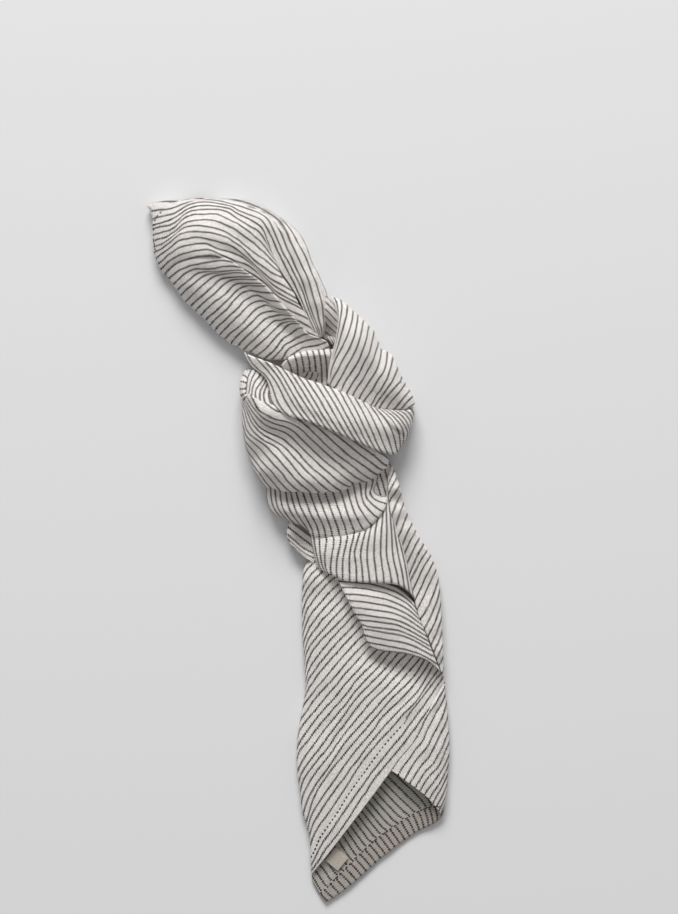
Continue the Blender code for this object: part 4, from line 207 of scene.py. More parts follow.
NETS["vane"] = (
    (0, RIDGE + (
        (-13.8, 147.8), (-11.7, 143.3), (-9.6, 139.5), (-7.5, 136.6), (-4.6, 132.4), (-2.1, 128.3),
        (-0.4, 125.5), (1.4, 121.5), (3.6, 116.5), (5.6, 112), (7.6, 107.4),
    )),
    (-1, ((-74, 166.5), (-68, 168), (-64, 168.4), (-60, 170.6), (-56, 173.2), (-50, 175), (-44, 174.6),
        (-40, 173.9), (-36.3, 173.1), (-34, 172.5), (-32.1, 171.2), (-29.4, 169.8), (-26.7, 168.8),
        (-24, 167.7), (-21.3, 166.9), (-19.4, 165.8), (-17.8, 164.2), (-15.8, 160.3), (-13.8, 156.6),
        (-12.1, 152.4), (-10.4, 148.7), (-8.3, 144.5), (-6.5, 140.6), (-4.4, 137.2), (-2.7, 133.7),
        (-1, 129.9), (0.6, 126), (2.4, 121.8), (4.4, 117.4), (6.6, 112), (8.8, 107))),
    (-2, ((-74.8, 170.6), (-69, 171), (-64, 171.6), (-58, 174), (-52, 176), (-46, 176.2), (-40, 175.4),
        (-34, 173.9), (-29, 172.4), (-25, 171), (-21, 169.6), (-18, 168), (-15.5, 165.4), (-14.4, 163.4),
        (-13.1, 160.3), (-11.7, 157), (-10.2, 153.7), (-8.8, 149.9), (-7.1, 147), (-5, 143.3),
        (-3.3, 139.9), (-1.7, 136.6), (0, 133.3), (1.5, 129.9), (3.1, 124.9), (4.6, 120.6), (6.2, 116.4),
        (7.9, 112.6), (9.4, 109), (9.8, 107.2))),
    (-3, ((-73.8, 174.6), (-69, 175.6), (-62, 175), (-54, 176.6), (-46, 177), (-40, 176.4), (-34, 175.2),
        (-29, 174), (-25, 172.8), (-21, 171.2), (-17, 169.2), (-14, 166.8), (-12.1, 164.1),
        (-10.4, 161.2), (-9, 158.3), (-7.9, 155.3), (-6.7, 152), (-5, 148.7), (-3.6, 145.3),
        (-1.9, 141.6), (-0.4, 138.6), (1, 135.6), (2.1, 132.4), (3.1, 128.7), (4.4, 124.9), (5.6, 120.3),
        (7.2, 116.4), (8.7, 112.8), (10, 109.2), (10.4, 107.4))),
    (-4, ((-38, 176.8), (-32, 176.2), (-27, 175), (-22, 173), (-18, 171), (-14.4, 168.8), (-12, 167),
        (-10, 165.3), (-8.3, 162.4), (-6.3, 159.1), (-5, 155.3), (-3.3, 152), (-1.7, 148.3), (0, 144.9),
        (1.7, 141.2), (3.8, 137), (5, 133.3), (6.3, 128.7), (7.5, 124.5), (8.6, 120.6), (9.6, 115.5),
        (10.8, 111.6), (11.2, 108.4), (11, 107.6))),
    (-5, ((-26, 175.2), (-19, 172.6), (-15, 170.2), (-11.5, 167.8), (-9.4, 166.4), (-7.9, 164.9),
        (-5.4, 162), (-2.9, 158.3), (-1.3, 154.5), (0.8, 151.2), (2.9, 147.4), (4.2, 143.7),
        (5.8, 139.5), (7.9, 134.9), (9.2, 130.3), (10.4, 126.6), (11.4, 122.4), (11.6, 118.3),
        (12, 114.6), (12, 111), (11.8, 108.4))),
    (-6, ((-15, 170.4), (-10, 168), (-6.4, 165.2), (-3, 162.5), (0, 159.4), (2.2, 155.6), (4, 151.4),
        (5.4, 147), (7, 143), (9.2, 139.5), (10.9, 135.3), (12.9, 131.2), (14, 127.6), (13.9, 124.1),
        (13.4, 119.9), (13, 116.2), (12.8, 112), (12.6, 109))),
)
NETS["nook"] = (
    (-1, ((33, 42.6), (34, 38.6), (35.6, 33), (37.6, 27))),
    (0, ((35.6, 43.6), (36.6, 40), (38.6, 34), (40.6, 27.6))),
    (1, ((38.4, 44.4), (39.6, 40), (41.6, 34), (43.2, 27.6))),
    (2, ((41.6, 45), (42.8, 40), (44.4, 34), (45.8, 27.4))),
    (3, ((44.8, 45), (46, 39.6), (47.2, 33), (48.6, 26.4))),
)
NETS["over"] = (
    (-0.6, ((15.2, 127.6), (17.4, 123.5), (18.6, 118.5), (18.8, 112.5), (17.6, 105), (15.6, 98),
        (14.2, 90), (13.6, 84))),
    (1, ((20.4, 126), (21.1, 122.8), (20.5, 118.7), (20, 115), (19.3, 111), (18.2, 105), (16.6, 98.5),
        (15, 90.5), (14.2, 84.2))),
    (2, ((23.9, 123), (23.3, 117.4), (22.2, 113.5), (21.3, 110.9), (20.3, 106.5), (19.4, 103.5),
        (18.2, 100.3), (16.7, 96), (15.4, 91), (14.6, 84))),
    (3, ((26.6, 120.6), (26.1, 115.7), (25.3, 112.6), (23.7, 107.4), (22.2, 104.3), (20, 100),
        (18.5, 97.4), (17.2, 94.8), (16.1, 92.2), (15.1, 88.5), (14.8, 83.8))),
    (4, ((29, 118.3), (28.7, 115.7), (28.3, 112.6), (27, 107), (24.6, 100.9), (21.3, 95.7), (18.5, 90),
        (16.8, 87.4), (15, 83.5))),
    (5, ((31.8, 115.7), (31.3, 113.9), (30.3, 108.3), (28.7, 102.2), (26.3, 97), (23.3, 92.2),
        (20.7, 87), (18.1, 83), (16.6, 81.2))),
    (6, ((34.5, 112.8), (34, 110.9), (32.9, 104.8), (31.1, 99.6), (29, 94.8), (26.1, 90), (22.4, 84.8),
        (20.5, 80.4), (20, 79))),
    (7, ((37, 110.2), (36.3, 106.1), (34.6, 99.1), (31.8, 93.9), (29.6, 89.1), (26.3, 84.3),
        (23.5, 79.6), (22.8, 78))),
    (8, ((39.4, 104.8), (38.3, 101.3), (36.6, 95.7), (33.3, 89.6), (30.3, 84.3), (27, 79.6), (26, 76.8))),
    (9, ((40.6, 101.3), (40, 96.1), (38.1, 90.4), (35, 85.7), (31.6, 80.4), (29.8, 77), (29, 75.2))),
    (10, ((43.6, 100.4), (43.3, 95.7), (42, 90), (39, 86.1), (35.9, 80.4), (32.4, 76.1), (31.4, 74.2))),
    (11, ((46.5, 97.5), (45.5, 92.6), (43.7, 87), (41.1, 82.2), (38.5, 78.7), (35.9, 73.9), (35, 72))),
    (12, ((48.8, 92.3), (48.1, 90), (45.9, 84.8), (42.4, 80), (39.8, 76.5), (37.4, 73), (36.6, 71.6))),
    (13, ((50.8, 87.8), (50.3, 85.2), (47.7, 82.6), (45.5, 80), (43.3, 77.8), (41.6, 75.2), (39.4, 71.6))),
    (14, ((52.8, 84.4), (49.8, 80), (47.7, 77.8), (45.5, 75.2), (43, 71.4))),
    (15, ((54.9, 80.8), (52.4, 77.8), (50.3, 75.2), (47, 71.2))),
    (16, ((56.4, 77.8), (54.6, 76), (52.6, 74), (50.4, 71.2))),
    (17, ((57.4, 74), (56, 73), (54.4, 72), (53, 71))),
)
NETS["wrap"] = (
    (-1, ((-28, 100.2), (-26.6, 95.8), (-23.8, 92), (-20.2, 89.6), (-17, 86.4), (-15.4, 82),
        (-14.6, 77.5), (-13.2, 73.8), (-10.4, 70.6), (-7, 68.2))),
    (0, ((-26.4, 99), (-24.2, 94.8), (-20.8, 91.2), (-17.4, 88.5), (-14.8, 85), (-13.1, 81), (-11.8, 77),
        (-10, 73.3), (-7.6, 70), (-4.8, 67.3))),
    (1, ((-21.8, 97), (-18.8, 93.4), (-15.6, 90), (-13, 86.6), (-10.8, 83), (-8.9, 79.4), (-7.2, 75.8),
        (-5.3, 72.3), (-2.9, 69), (-0.6, 66.4))),
    (2, ((-17.4, 95.4), (-14.4, 91.9), (-11.6, 88.5), (-9.3, 85), (-7.3, 81.5), (-5.4, 77.9),
        (-3.5, 74.4), (-1.3, 71), (1.1, 67.7), (3.4, 65))),
    (3, ((-13, 93.6), (-10.3, 90.2), (-8, 86.8), (-6, 83.3), (-4, 79.9), (-2.1, 76.5), (0, 73.1),
        (2.2, 69.8), (4.5, 66.7), (6.8, 63.8))),
    (4, ((-8.6, 91.4), (-6.2, 88.2), (-4, 84.8), (-2, 81.3), (0, 78), (2, 74.8), (4.1, 71.6),
        (6.2, 68.5), (8.2, 65.4), (10.2, 62.6))),
    (5, ((-4.7, 89.6), (-2.4, 86.2), (-0.3, 82.9), (1.8, 79.6), (3.8, 76.3), (5.8, 73.1), (7.8, 69.9),
        (9.8, 66.8), (11.8, 63.8), (13.6, 61.2))),
    (6, ((-0.8, 87.7), (1.4, 84.5), (3.6, 81.2), (5.7, 77.9), (7.6, 74.6), (9.5, 71.3), (11.4, 68.1),
        (13.4, 65), (15.4, 62), (17.2, 59.6))),
    (7, ((3.2, 86.1), (5.3, 83), (7.4, 79.8), (9.5, 76.5), (11.4, 73.2), (13.3, 69.9), (15.2, 66.6),
        (17.2, 63.4), (19.2, 60.4), (21, 58))),
    (8, ((7.3, 84.9), (9.4, 81.8), (11.4, 78.6), (13.4, 75.3), (15.3, 71.9), (17.2, 68.5), (19.1, 65.1),
        (21.1, 61.8), (23, 58.8), (24.7, 56.4))),
    (9, ((11.3, 83.5), (13.3, 80.4), (15.3, 77.2), (17.3, 73.8), (19.2, 70.4), (21.1, 66.9), (23, 63.5),
        (24.9, 60.1), (26.8, 57), (28.5, 54.7))),
    (10, ((15.3, 82), (17.2, 78.9), (19.2, 75.5), (21.1, 72), (23, 68.5), (24.9, 65), (26.7, 61.6),
        (28.6, 58.2), (30.4, 55.2), (32, 53))),
    (11, ((19.3, 80.7), (21.2, 77.5), (23.1, 74), (25, 70.5), (26.8, 67), (28.6, 63.5), (30.3, 60),
        (32, 56.7), (33.7, 53.8), (35.2, 51.7))),
    (12, ((23.2, 79), (25.1, 75.9), (26.9, 72.5), (28.7, 69), (30.4, 65.5), (32, 62), (33.6, 58.7),
        (35.2, 55.4), (36.8, 52.5), (38.2, 50.5))),
    (13, ((27.1, 77.2), (29, 74), (30.8, 70.7), (32.5, 67.3), (34.1, 63.9), (35.6, 60.5), (37, 57.2),
        (38.4, 54.1), (39.8, 51.4), (41, 49.6))),
    (14, ((31, 75.3), (32.9, 72.2), (34.8, 69), (36.5, 65.7), (38, 62.4), (39.4, 59.2), (40.7, 56.1),
        (41.9, 53.2), (43, 50.7), (43.9, 49))),
    (15, ((34.6, 73.6), (36.5, 70.8), (38.5, 67.9), (40.3, 64.8), (41.8, 61.8), (43.1, 58.7),
        (44.2, 55.8), (45.1, 53), (45.9, 50.5), (46.6, 48.6))),
    (16, ((37.5, 72), (39.6, 69.7), (41.9, 67.1), (43.8, 64.3), (45.3, 61.5), (46.4, 58.8), (47.1, 56.2),
        (47.7, 53.7), (48.2, 51.6), (48.7, 50))),
    (17, ((39.4, 71.6), (42, 69.6), (44.8, 67), (46.9, 64.2), (48.4, 61.5), (49.3, 59.1), (49.7, 56.9),
        (49.9, 55), (50, 53.4), (50.1, 52.1))),
    (18, ((41.3, 71.5), (44.2, 69.5), (47.2, 66.9), (49.4, 64.2), (50.9, 61.6), (51.6, 59.5),
        (51.7, 57.7), (51.6, 56.2), (51.4, 55), (51.3, 54))),
    (19, ((43.6, 71.3), (46.6, 69.3), (49.6, 66.7), (51.7, 64), (53.1, 61.4), (53.7, 59.7), (53.7, 58.3),
        (53.4, 57.2), (53, 56.3), (52.7, 55.6))),
    (20.5, ((47.5, 71), (50.2, 69.5), (52.4, 67.5), (54, 65.1), (54.8, 62.8), (55, 61.2), (54.9, 60),
        (54.7, 59.1), (54.4, 58.3), (54.1, 57.7))),
    (22, ((52, 70.9), (53.8, 69.9), (55.2, 68.4), (56, 66.7), (56.2, 65), (56.1, 63.8), (55.9, 62.8),
        (55.7, 62), (55.4, 61.3), (55.1, 60.8))),
    (23.5, ((56.6, 72.4), (57, 71.5), (57.2, 70.4), (57.2, 69.2), (57, 68), (56.8, 67.1), (56.6, 66.3),
        (56.4, 65.6), (56.2, 65), (56, 64.5))),
)
NETS["front"] = (
    (-3, ((33, 55.5), (37, 52.5), (39.9, 49.9), (41.7, 48.9), (44.2, 47.4))),
    (-2, ((31.5, 55.8), (36, 52.2), (39.9, 49.5), (41.7, 48.5), (44.3, 46.6))),
    (-1, ((23.5, 58.2), (27.3, 54.9), (30.5, 52.6), (34.1, 50.2), (37.9, 47.3), (41.4, 44.2), (43.6, 43))),
    (0, ((9, 65.2), (12.9, 61.1), (17, 59.2), (20.5, 56.4), (24.1, 53.5), (27.6, 50.7), (31.1, 47.9),
        (35.2, 44.9), (39.4, 41.7), (41.4, 40.8))),
    (1, ((-3.5, 71.2), (0.2, 67), (4.6, 65.1), (8.5, 62.6), (11.7, 59.6), (14.9, 56.7), (18.2, 53.6),
        (21.4, 50.7), (24.9, 47.9), (28.5, 45.4), (32, 43), (35.8, 40.1), (38.6, 38.6))),
    (2, ((-17, 74.4), (-13, 71.1), (-9.8, 69.7), (-5, 68.6), (-1.6, 67.1), (1.4, 64.3), (4.3, 62.3),
        (7.2, 59.1), (10.8, 55.7), (14.9, 51.7), (18.8, 48.5), (22.9, 45.5), (26.1, 43), (30.2, 39.8),
        (33.8, 37.1), (35.4, 36.2))),
    (3, ((-24.4, 78.8), (-22.7, 74.8), (-20, 70.4), (-16.3, 68.2), (-13.1, 66.3), (-8.6, 65.5),
        (-4.5, 64.3), (-1, 62.6), (2.2, 59.8), (5.8, 56.3), (8.9, 53.3), (12.9, 49.6), (17.3, 45.8),
        (22, 41.9), (26.1, 38.8), (30.2, 35.5), (32.2, 34.9))),
    (4, ((-26.2, 77.4), (-24.3, 73.9), (-21, 69.8), (-18.4, 67), (-15.1, 65.1), (-11.9, 63.6),
        (-7.8, 62.8), (-3.9, 61), (-1.3, 58.6), (1.6, 55.7), (5.2, 52.3), (8.6, 49), (12, 45.8),
        (15.5, 42.9), (18.8, 40.5), (22.8, 37), (26.4, 34.5))),
    (5, ((-27.2, 76.4), (-24.2, 70.8), (-21, 67.1), (-17.8, 63.8), (-14.5, 62.1), (-9.8, 60.7),
        (-6, 59.2), (-3.1, 56.1), (0.2, 52.9), (3.1, 49.9), (6.9, 46.4), (9.9, 43.5), (14.6, 39.4),
        (18.8, 35.8), (22.6, 33.3), (24.6, 32.5))),
    (6, ((-27.9, 75.6), (-25.1, 70), (-22.2, 65), (-19.2, 61.7), (-16, 59.8), (-12.5, 58.3),
        (-8.6, 56.9), (-5.7, 54.1), (-2.8, 52), (0.2, 48.5), (3.1, 44.9), (6.9, 41.5), (10.8, 38.2),
        (14.6, 34.9), (17.6, 32.4), (20.7, 30.3))),
    (7, ((-28.5, 75), (-26.1, 70), (-24.1, 65), (-21.6, 61.7), (-18.9, 59.1), (-16.6, 57.6),
        (-12.8, 55.7), (-9.2, 53.6), (-6, 51.1), (-3.1, 47.4), (0.2, 44.2), (3.4, 40.5), (7, 37.2),
        (10.2, 34.1), (13.5, 31.4), (15.1, 30.1))),
    (8, ((-29, 74), (-27.2, 70), (-26.1, 65), (-23.9, 61.1), (-21, 58.2), (-17.5, 55.5), (-13.6, 53.8),
        (-10.7, 51.6), (-7.5, 48.2), (-4.5, 44.4), (-1.3, 40.4), (1.6, 37.3), (5.5, 34.1), (8.5, 31.1),
        (9.6, 29.7))),
    (9, ((-29, 71.5), (-27.9, 66.7), (-26.6, 61.1), (-23.9, 57.7), (-20.1, 55.4), (-16.9, 53.2),
        (-13.6, 49.6), (-10.4, 46.4), (-7.5, 42.6), (-4.5, 39.4), (-1.3, 35.5), (2.2, 32.6), (5.4, 29.7))),
    (10, ((-29, 67), (-28.4, 63.2), (-27.2, 58.8), (-24.8, 55.8), (-21.3, 53.2), (-18.4, 50.1),
        (-15.4, 46.7), (-12.2, 43), (-8.6, 39.4), (-6, 35.4), (-2.8, 32.3), (-0.2, 30.3))),
    (11, ((-28.7, 62.5), (-28.1, 58.5), (-26.9, 54.6), (-23.9, 51.4), (-21, 47.9), (-18.4, 44.6),
        (-15.4, 42), (-12.8, 38.8), (-9.5, 34.6), (-6, 31.1), (-4.9, 30.2))),
    (12, ((-28.2, 57.5), (-27.2, 53), (-25.4, 49.4), (-22.5, 45.7), (-19.8, 42.3), (-16.9, 39.1),
        (-13.9, 35.7), (-10.7, 31.7), (-9.6, 30.6))),
    (13, ((-26.8, 51.5), (-25.6, 48), (-24.2, 44.8), (-22.2, 42), (-19.5, 38.8), (-17.2, 34.9),
        (-14.3, 32.1))),
    (14, ((-24.6, 45.4), (-23.4, 42.2), (-22.2, 39.9), (-20.1, 36.4), (-18.1, 33.5), (-17, 32.4))),
)
NETS["under"] = (
    (0, ((-16.8, 33), (-17, 30.5), (-16.9, 27.5), (-16.2, 24), (-14.9, 21), (-13, 18.8), (-11, 17.4),
        (-9.4, 16.6))),
    (1, ((-14.6, 33), (-14.6, 30.5), (-14.4, 27), (-13.6, 23.5), (-12, 20.3), (-10, 17.9), (-8, 16.4),
        (-6.4, 15.6))),
    (2, ((-12.4, 33), (-12.4, 30.3), (-12.1, 26.8), (-11.1, 22.8), (-9.3, 19.3), (-7.3, 16.9),
        (-5.4, 15.4), (-3.8, 14.7))),
    (3, ((-9.8, 33), (-9.9, 30), (-9.6, 26.4), (-8.5, 22.2), (-6.6, 18.6), (-4.7, 16.2), (-2.8, 14.6),
        (-1, 13.9))),
    (4, ((-7, 32.5), (-7, 29.8), (-6.5, 26), (-5.2, 21.6), (-3.2, 17.9), (-1.4, 15.4), (0.6, 13.4),
        (2.4, 12))),
    (5, ((-5, 32), (-4.5, 29.2), (-3.6, 25.6), (-2, 21), (0, 17.2), (1.7, 14.6), (3.4, 12), (4.6, 9.4))),
    (6, ((-2.4, 32), (-1.6, 29), (-0.5, 25.3), (1.3, 20.6), (3.3, 16.7), (5, 13.6), (6.2, 10.6),
        (6.7, 7.4))),
    (7, ((0.9, 32), (1.8, 29), (3, 25.2), (4.9, 20.4), (6.9, 16.3), (8.5, 12.8), (9.4, 9.8), (9.7, 7))),
    (8, ((4.4, 32), (5.3, 29), (6.6, 25.2), (8.4, 20.3), (10.3, 16.1), (11.9, 12.3), (12.7, 9.5),
        (12.8, 6.9))),
    (9, ((8, 32), (9, 29), (10.4, 25.1), (12.2, 20.2), (14, 15.8), (15.4, 11.9), (16, 9.2), (16.2, 6.9))),
    (10, ((11.8, 32), (12.8, 29), (14.2, 25), (16, 20), (17.7, 15.6), (19, 11.8), (19.6, 9.2),
        (19.8, 7.2))),
    (11, ((15.8, 32), (16.8, 29), (18.1, 25), (19.9, 19.9), (21.4, 15.6), (22.6, 12), (23.2, 9.8),
        (23.5, 8.2))),
    (12, ((19.6, 32.4), (20.6, 29.6), (21.8, 25.6), (23.5, 20.2), (25, 16), (26.2, 12.8), (27, 10.8),
        (27.4, 9.6))),
    (13, ((23, 33.6), (23.9, 30.6), (25, 26.4), (26.7, 21), (28.5, 17), (30, 14), (31.2, 12.2), (32, 11))),
    (14, ((26.2, 35), (27, 31.8), (27.8, 27.8), (29.2, 23), (31.4, 19.3), (33.4, 16.4), (34.8, 14.6),
        (35.8, 13.6))),
    (15, ((29.4, 36.6), (30.2, 33), (30.6, 29.2), (31.6, 25), (34, 21.6), (36.4, 19.1), (38, 17.8),
        (39, 17))),
    (16, ((32.6, 37.6), (33.2, 34.4), (32.8, 31), (33.2, 27.4), (35.6, 24.4), (38.2, 22.2), (40.2, 21),
        (41.6, 20.2))),
    (17, ((35.6, 38.6), (36.4, 35.8), (35.8, 32.4), (35, 29.6), (36.6, 27), (39.2, 25.4), (41.8, 24.6),
        (43.4, 24))),
    (18, ((38.4, 40.4), (39, 37.6), (38.4, 34.6), (37, 32), (37.6, 29.6), (39.8, 28.2), (42.4, 28),
        (44.2, 28.2))),
)
NETS["middle"] = (
    (-1, ((5, 9.5), (5.4, 6.5), (6, 3), (6.8, 0), (7.6, -3), (8.4, -6), (9.4, -8.4), (10.4, -9.6))),
    (0, ((6.6, 9.5), (7, 6.5), (7.5, 3), (8, 0), (8.6, -3), (9.3, -5.8), (10.2, -8.2), (11.2, -9.6))),
    (1, ((9.6, 9.5), (9.7, 6.5), (9.8, 3), (10, 0), (10.4, -3), (11, -6), (11.8, -8.4), (12.8, -10))),
    (2, ((13, 9.5), (13.2, 6.5), (13, 3.3), (12.6, 0), (12.4, -3), (12.5, -6), (13, -8.6), (13.8, -10.6))),
    (3, ((16.4, 9.5), (16.8, 6.5), (16.8, 3.3), (16.2, 0), (15.6, -3.2), (15.3, -6.4), (15.4, -9),
        (15.8, -11.6))),
    (4, ((20, 9.8), (20.3, 6.8), (20, 3.5), (19.2, 0), (18.5, -3.4), (18.2, -6.8), (18.2, -9.8),
        (18.5, -12.7))),
    (5, ((23.6, 10.6), (23.6, 7.4), (23, 3.8), (22.2, 0.2), (21.5, -3.6), (21.3, -7.4), (21.3, -10.8),
        (21.4, -14.2))),
    (6, ((27.2, 12), (26.9, 8.4), (26, 4.4), (25, 0.4), (24.6, -3.6), (24.7, -7.6), (24.8, -11.2),
        (24.8, -14.7))),
    (7, ((30.4, 13.4), (29.8, 9.6), (28.4, 5), (27.3, 0.6), (27.6, -3.6), (28.1, -7.6), (28.2, -11.2),
        (28.2, -14.9))),
    (8, ((33.6, 15), (32.9, 11), (31.5, 6), (30.4, 1), (30.4, -3.6), (30.9, -7.6), (31.3, -11.4),
        (31.5, -15.1))),
    (9, ((36.4, 17.4), (35.6, 13), (34.4, 7.6), (33.6, 2), (33.4, -3), (33.9, -7.4), (34.5, -11.4),
        (34.9, -15.2))),
    (10, ((39.4, 20.4), (38.5, 15.6), (37.4, 9.4), (37, 3), (37, -2.6), (37.6, -7.2), (38.1, -11.4),
        (38.4, -15.3))),
    (11, ((41.6, 24), (41.3, 18.4), (40.7, 11.4), (40.3, 4), (40.3, -2.2), (41, -7), (41.6, -11.4),
        (41.9, -15.4))),
    (12, ((43, 28.4), (43.1, 21.6), (43.3, 13.4), (43.2, 5.2), (43.2, -1.6), (44.3, -6.8), (45.2, -11.4),
        (45.7, -15.7))),
    (13, ((43.8, 32.4), (44.4, 24.8), (45.3, 15.6), (45.9, 6.4), (46.2, -0.8), (47.4, -6.6),
        (48.6, -11.8), (49.4, -16.6))),
    (14, ((44.2, 37), (45, 28.6), (46.2, 18.4), (47.6, 8), (48.8, 0), (50.2, -6.6), (51.4, -12.6),
        (52.2, -18.2))),
    (15, ((44.4, 41), (45.2, 32), (46.6, 20.8), (48.7, 9.6), (51, 0.6), (52.6, -7), (53.7, -13.8),
        (54.6, -20.2))),
    (16, ((44.6, 45), (45.2, 35.6), (46.4, 23.6), (48.8, 11.2), (51.9, 1), (53.9, -7.6), (55.4, -15.4),
        (57, -23.2))),
)
NETS["side"] = (
    (0, ((43.8, 38), (44.4, 40.4), (45, 42.6), (45.6, 44.6))),
    (1, ((43.9, 33.5), (45, 36.2), (46.2, 38.8), (47.2, 41))),
    (2, ((44.1, 29), (45.3, 31.6), (46.8, 34.4), (48.4, 37.4))),
    (3, ((44.5, 25), (46, 27.6), (47.8, 30.4), (49.8, 33.4))),
    (4, ((45.7, 17.8), (46.9, 21.4), (48.6, 25.4), (50.8, 29.6))),
    (5, ((47.2, 11.6), (48.8, 16), (50.2, 20.2), (52, 24.6))),
    (6, ((48.9, 6.6), (50.4, 10.8), (51.9, 14.8), (53.9, 19.2))),
    (7, ((50.2, 2.4), (52.3, 6.4), (54, 10.4), (56.2, 14.4))),
    (8, ((51.6, -1.8), (53.6, 2.4), (55.6, 6.6), (58, 10.8))),
    (9, ((52.9, -6.8), (54.9, -2.6), (57.2, 2.4), (60, 7.2))),
    (10, ((54.2, -12), (56.4, -7), (58.9, -1.4), (62, 4))),
    (11, ((54.9, -15), (58, -9), (60.6, -3.6), (64, 1))),
    (12, ((56.1, -19.6), (59, -13.6), (61.8, -7.6), (65.6, -1.8))),
    (13, ((57.3, -24.2), (60.4, -18.2), (63.4, -11.6), (67, -5))),
    (14, ((58.4, -28.8), (61.8, -22.4), (64.9, -15.6), (68.3, -8.8))),
    (15, ((59.9, -33.9), (64, -27.6), (67, -20.6), (69.5, -13.4))),
    (16, ((62, -38.6), (65.6, -31.8), (68.4, -25), (70.2, -18.8))),
    (17, ((63.8, -42.4), (67, -36), (69.4, -30), (70.7, -25.4))),
    (18, ((65.5, -46.4), (68, -41), (70, -35.8), (71, -32.4))),
    (19, ((66.8, -50), (68.8, -46), (70.3, -42.4), (71.3, -39.6))),
    (20, ((68.2, -53.6), (69.6, -50.6), (70.8, -48), (71.5, -46.4))),
    (21, ((69.5, -56.8), (70.5, -54.8), (71.3, -53.2), (71.8, -52.2))),
    (22, ((71.2, -61.2), (71.5, -60.2), (71.8, -59.4), (72.1, -58.6))),
)
NETS["tuck"] = (
    (0, ((17.6, -11.8), (25, -12.4), (34, -13.2), (42, -15), (48.5, -17.6), (53, -20.8), (57, -25))),
    (1, ((19.2, -14.6), (26.5, -15), (35.5, -16), (43.5, -18.2), (50, -21), (54.3, -24.2), (58.3, -28.4))),
    (2, ((20.6, -17.6), (27.5, -17.8), (36.3, -18.9), (44.3, -21), (50.6, -23.9), (55, -27), (59, -31.4))),
    (3, ((22.2, -21), (28.8, -21.1), (37.3, -22.3), (45, -24.1), (51.2, -27), (55.7, -30), (59.9, -33.8))),
    (4, ((23.8, -24.2), (30, -24.5), (38.2, -25.7), (45.8, -27.4), (52, -30), (56.6, -33), (61.1, -36.6))),
    (5, ((25.6, -27.5), (31.2, -27.9), (39.2, -29), (46.6, -30.4), (52.8, -33), (57.5, -36),
        (62.2, -39.4))),
    (6, ((27.5, -31), (32.4, -31.3), (40.1, -32.4), (47.3, -33.5), (53.4, -36), (58.3, -38.9),
        (63.3, -42))),
    (7, ((29.4, -34), (34, -34.1), (41.2, -34.9), (48.1, -36.1), (53.9, -38.6), (59, -41.4),
        (64.3, -44.6))),
    (8, ((30.8, -36), (34.9, -37.2), (42.1, -37.9), (49, -38.9), (54.7, -41.2), (59.9, -44),
        (65.3, -47.2))),
    (9, ((31.4, -38.4), (36, -38.8), (43.1, -40.1), (49.9, -41.2), (55.6, -43.3), (60.9, -46.2),
        (66.2, -49.4))),
    (10, ((32.2, -41.4), (37, -42.4), (44.1, -43.7), (50.9, -44.9), (56.5, -46.6), (62, -49.4),
        (67.2, -52.2))),
    (11, ((33.6, -44.8), (38.2, -45.7), (45.2, -47.1), (52, -48.3), (57.4, -49.8), (63, -52.4),
        (68.8, -56.2))),
    (12, ((35.6, -47.6), (40.2, -49.2), (46.4, -49.9), (53, -50.7), (58.4, -52.2), (64.4, -54.7),
        (70.6, -60.6))),
)
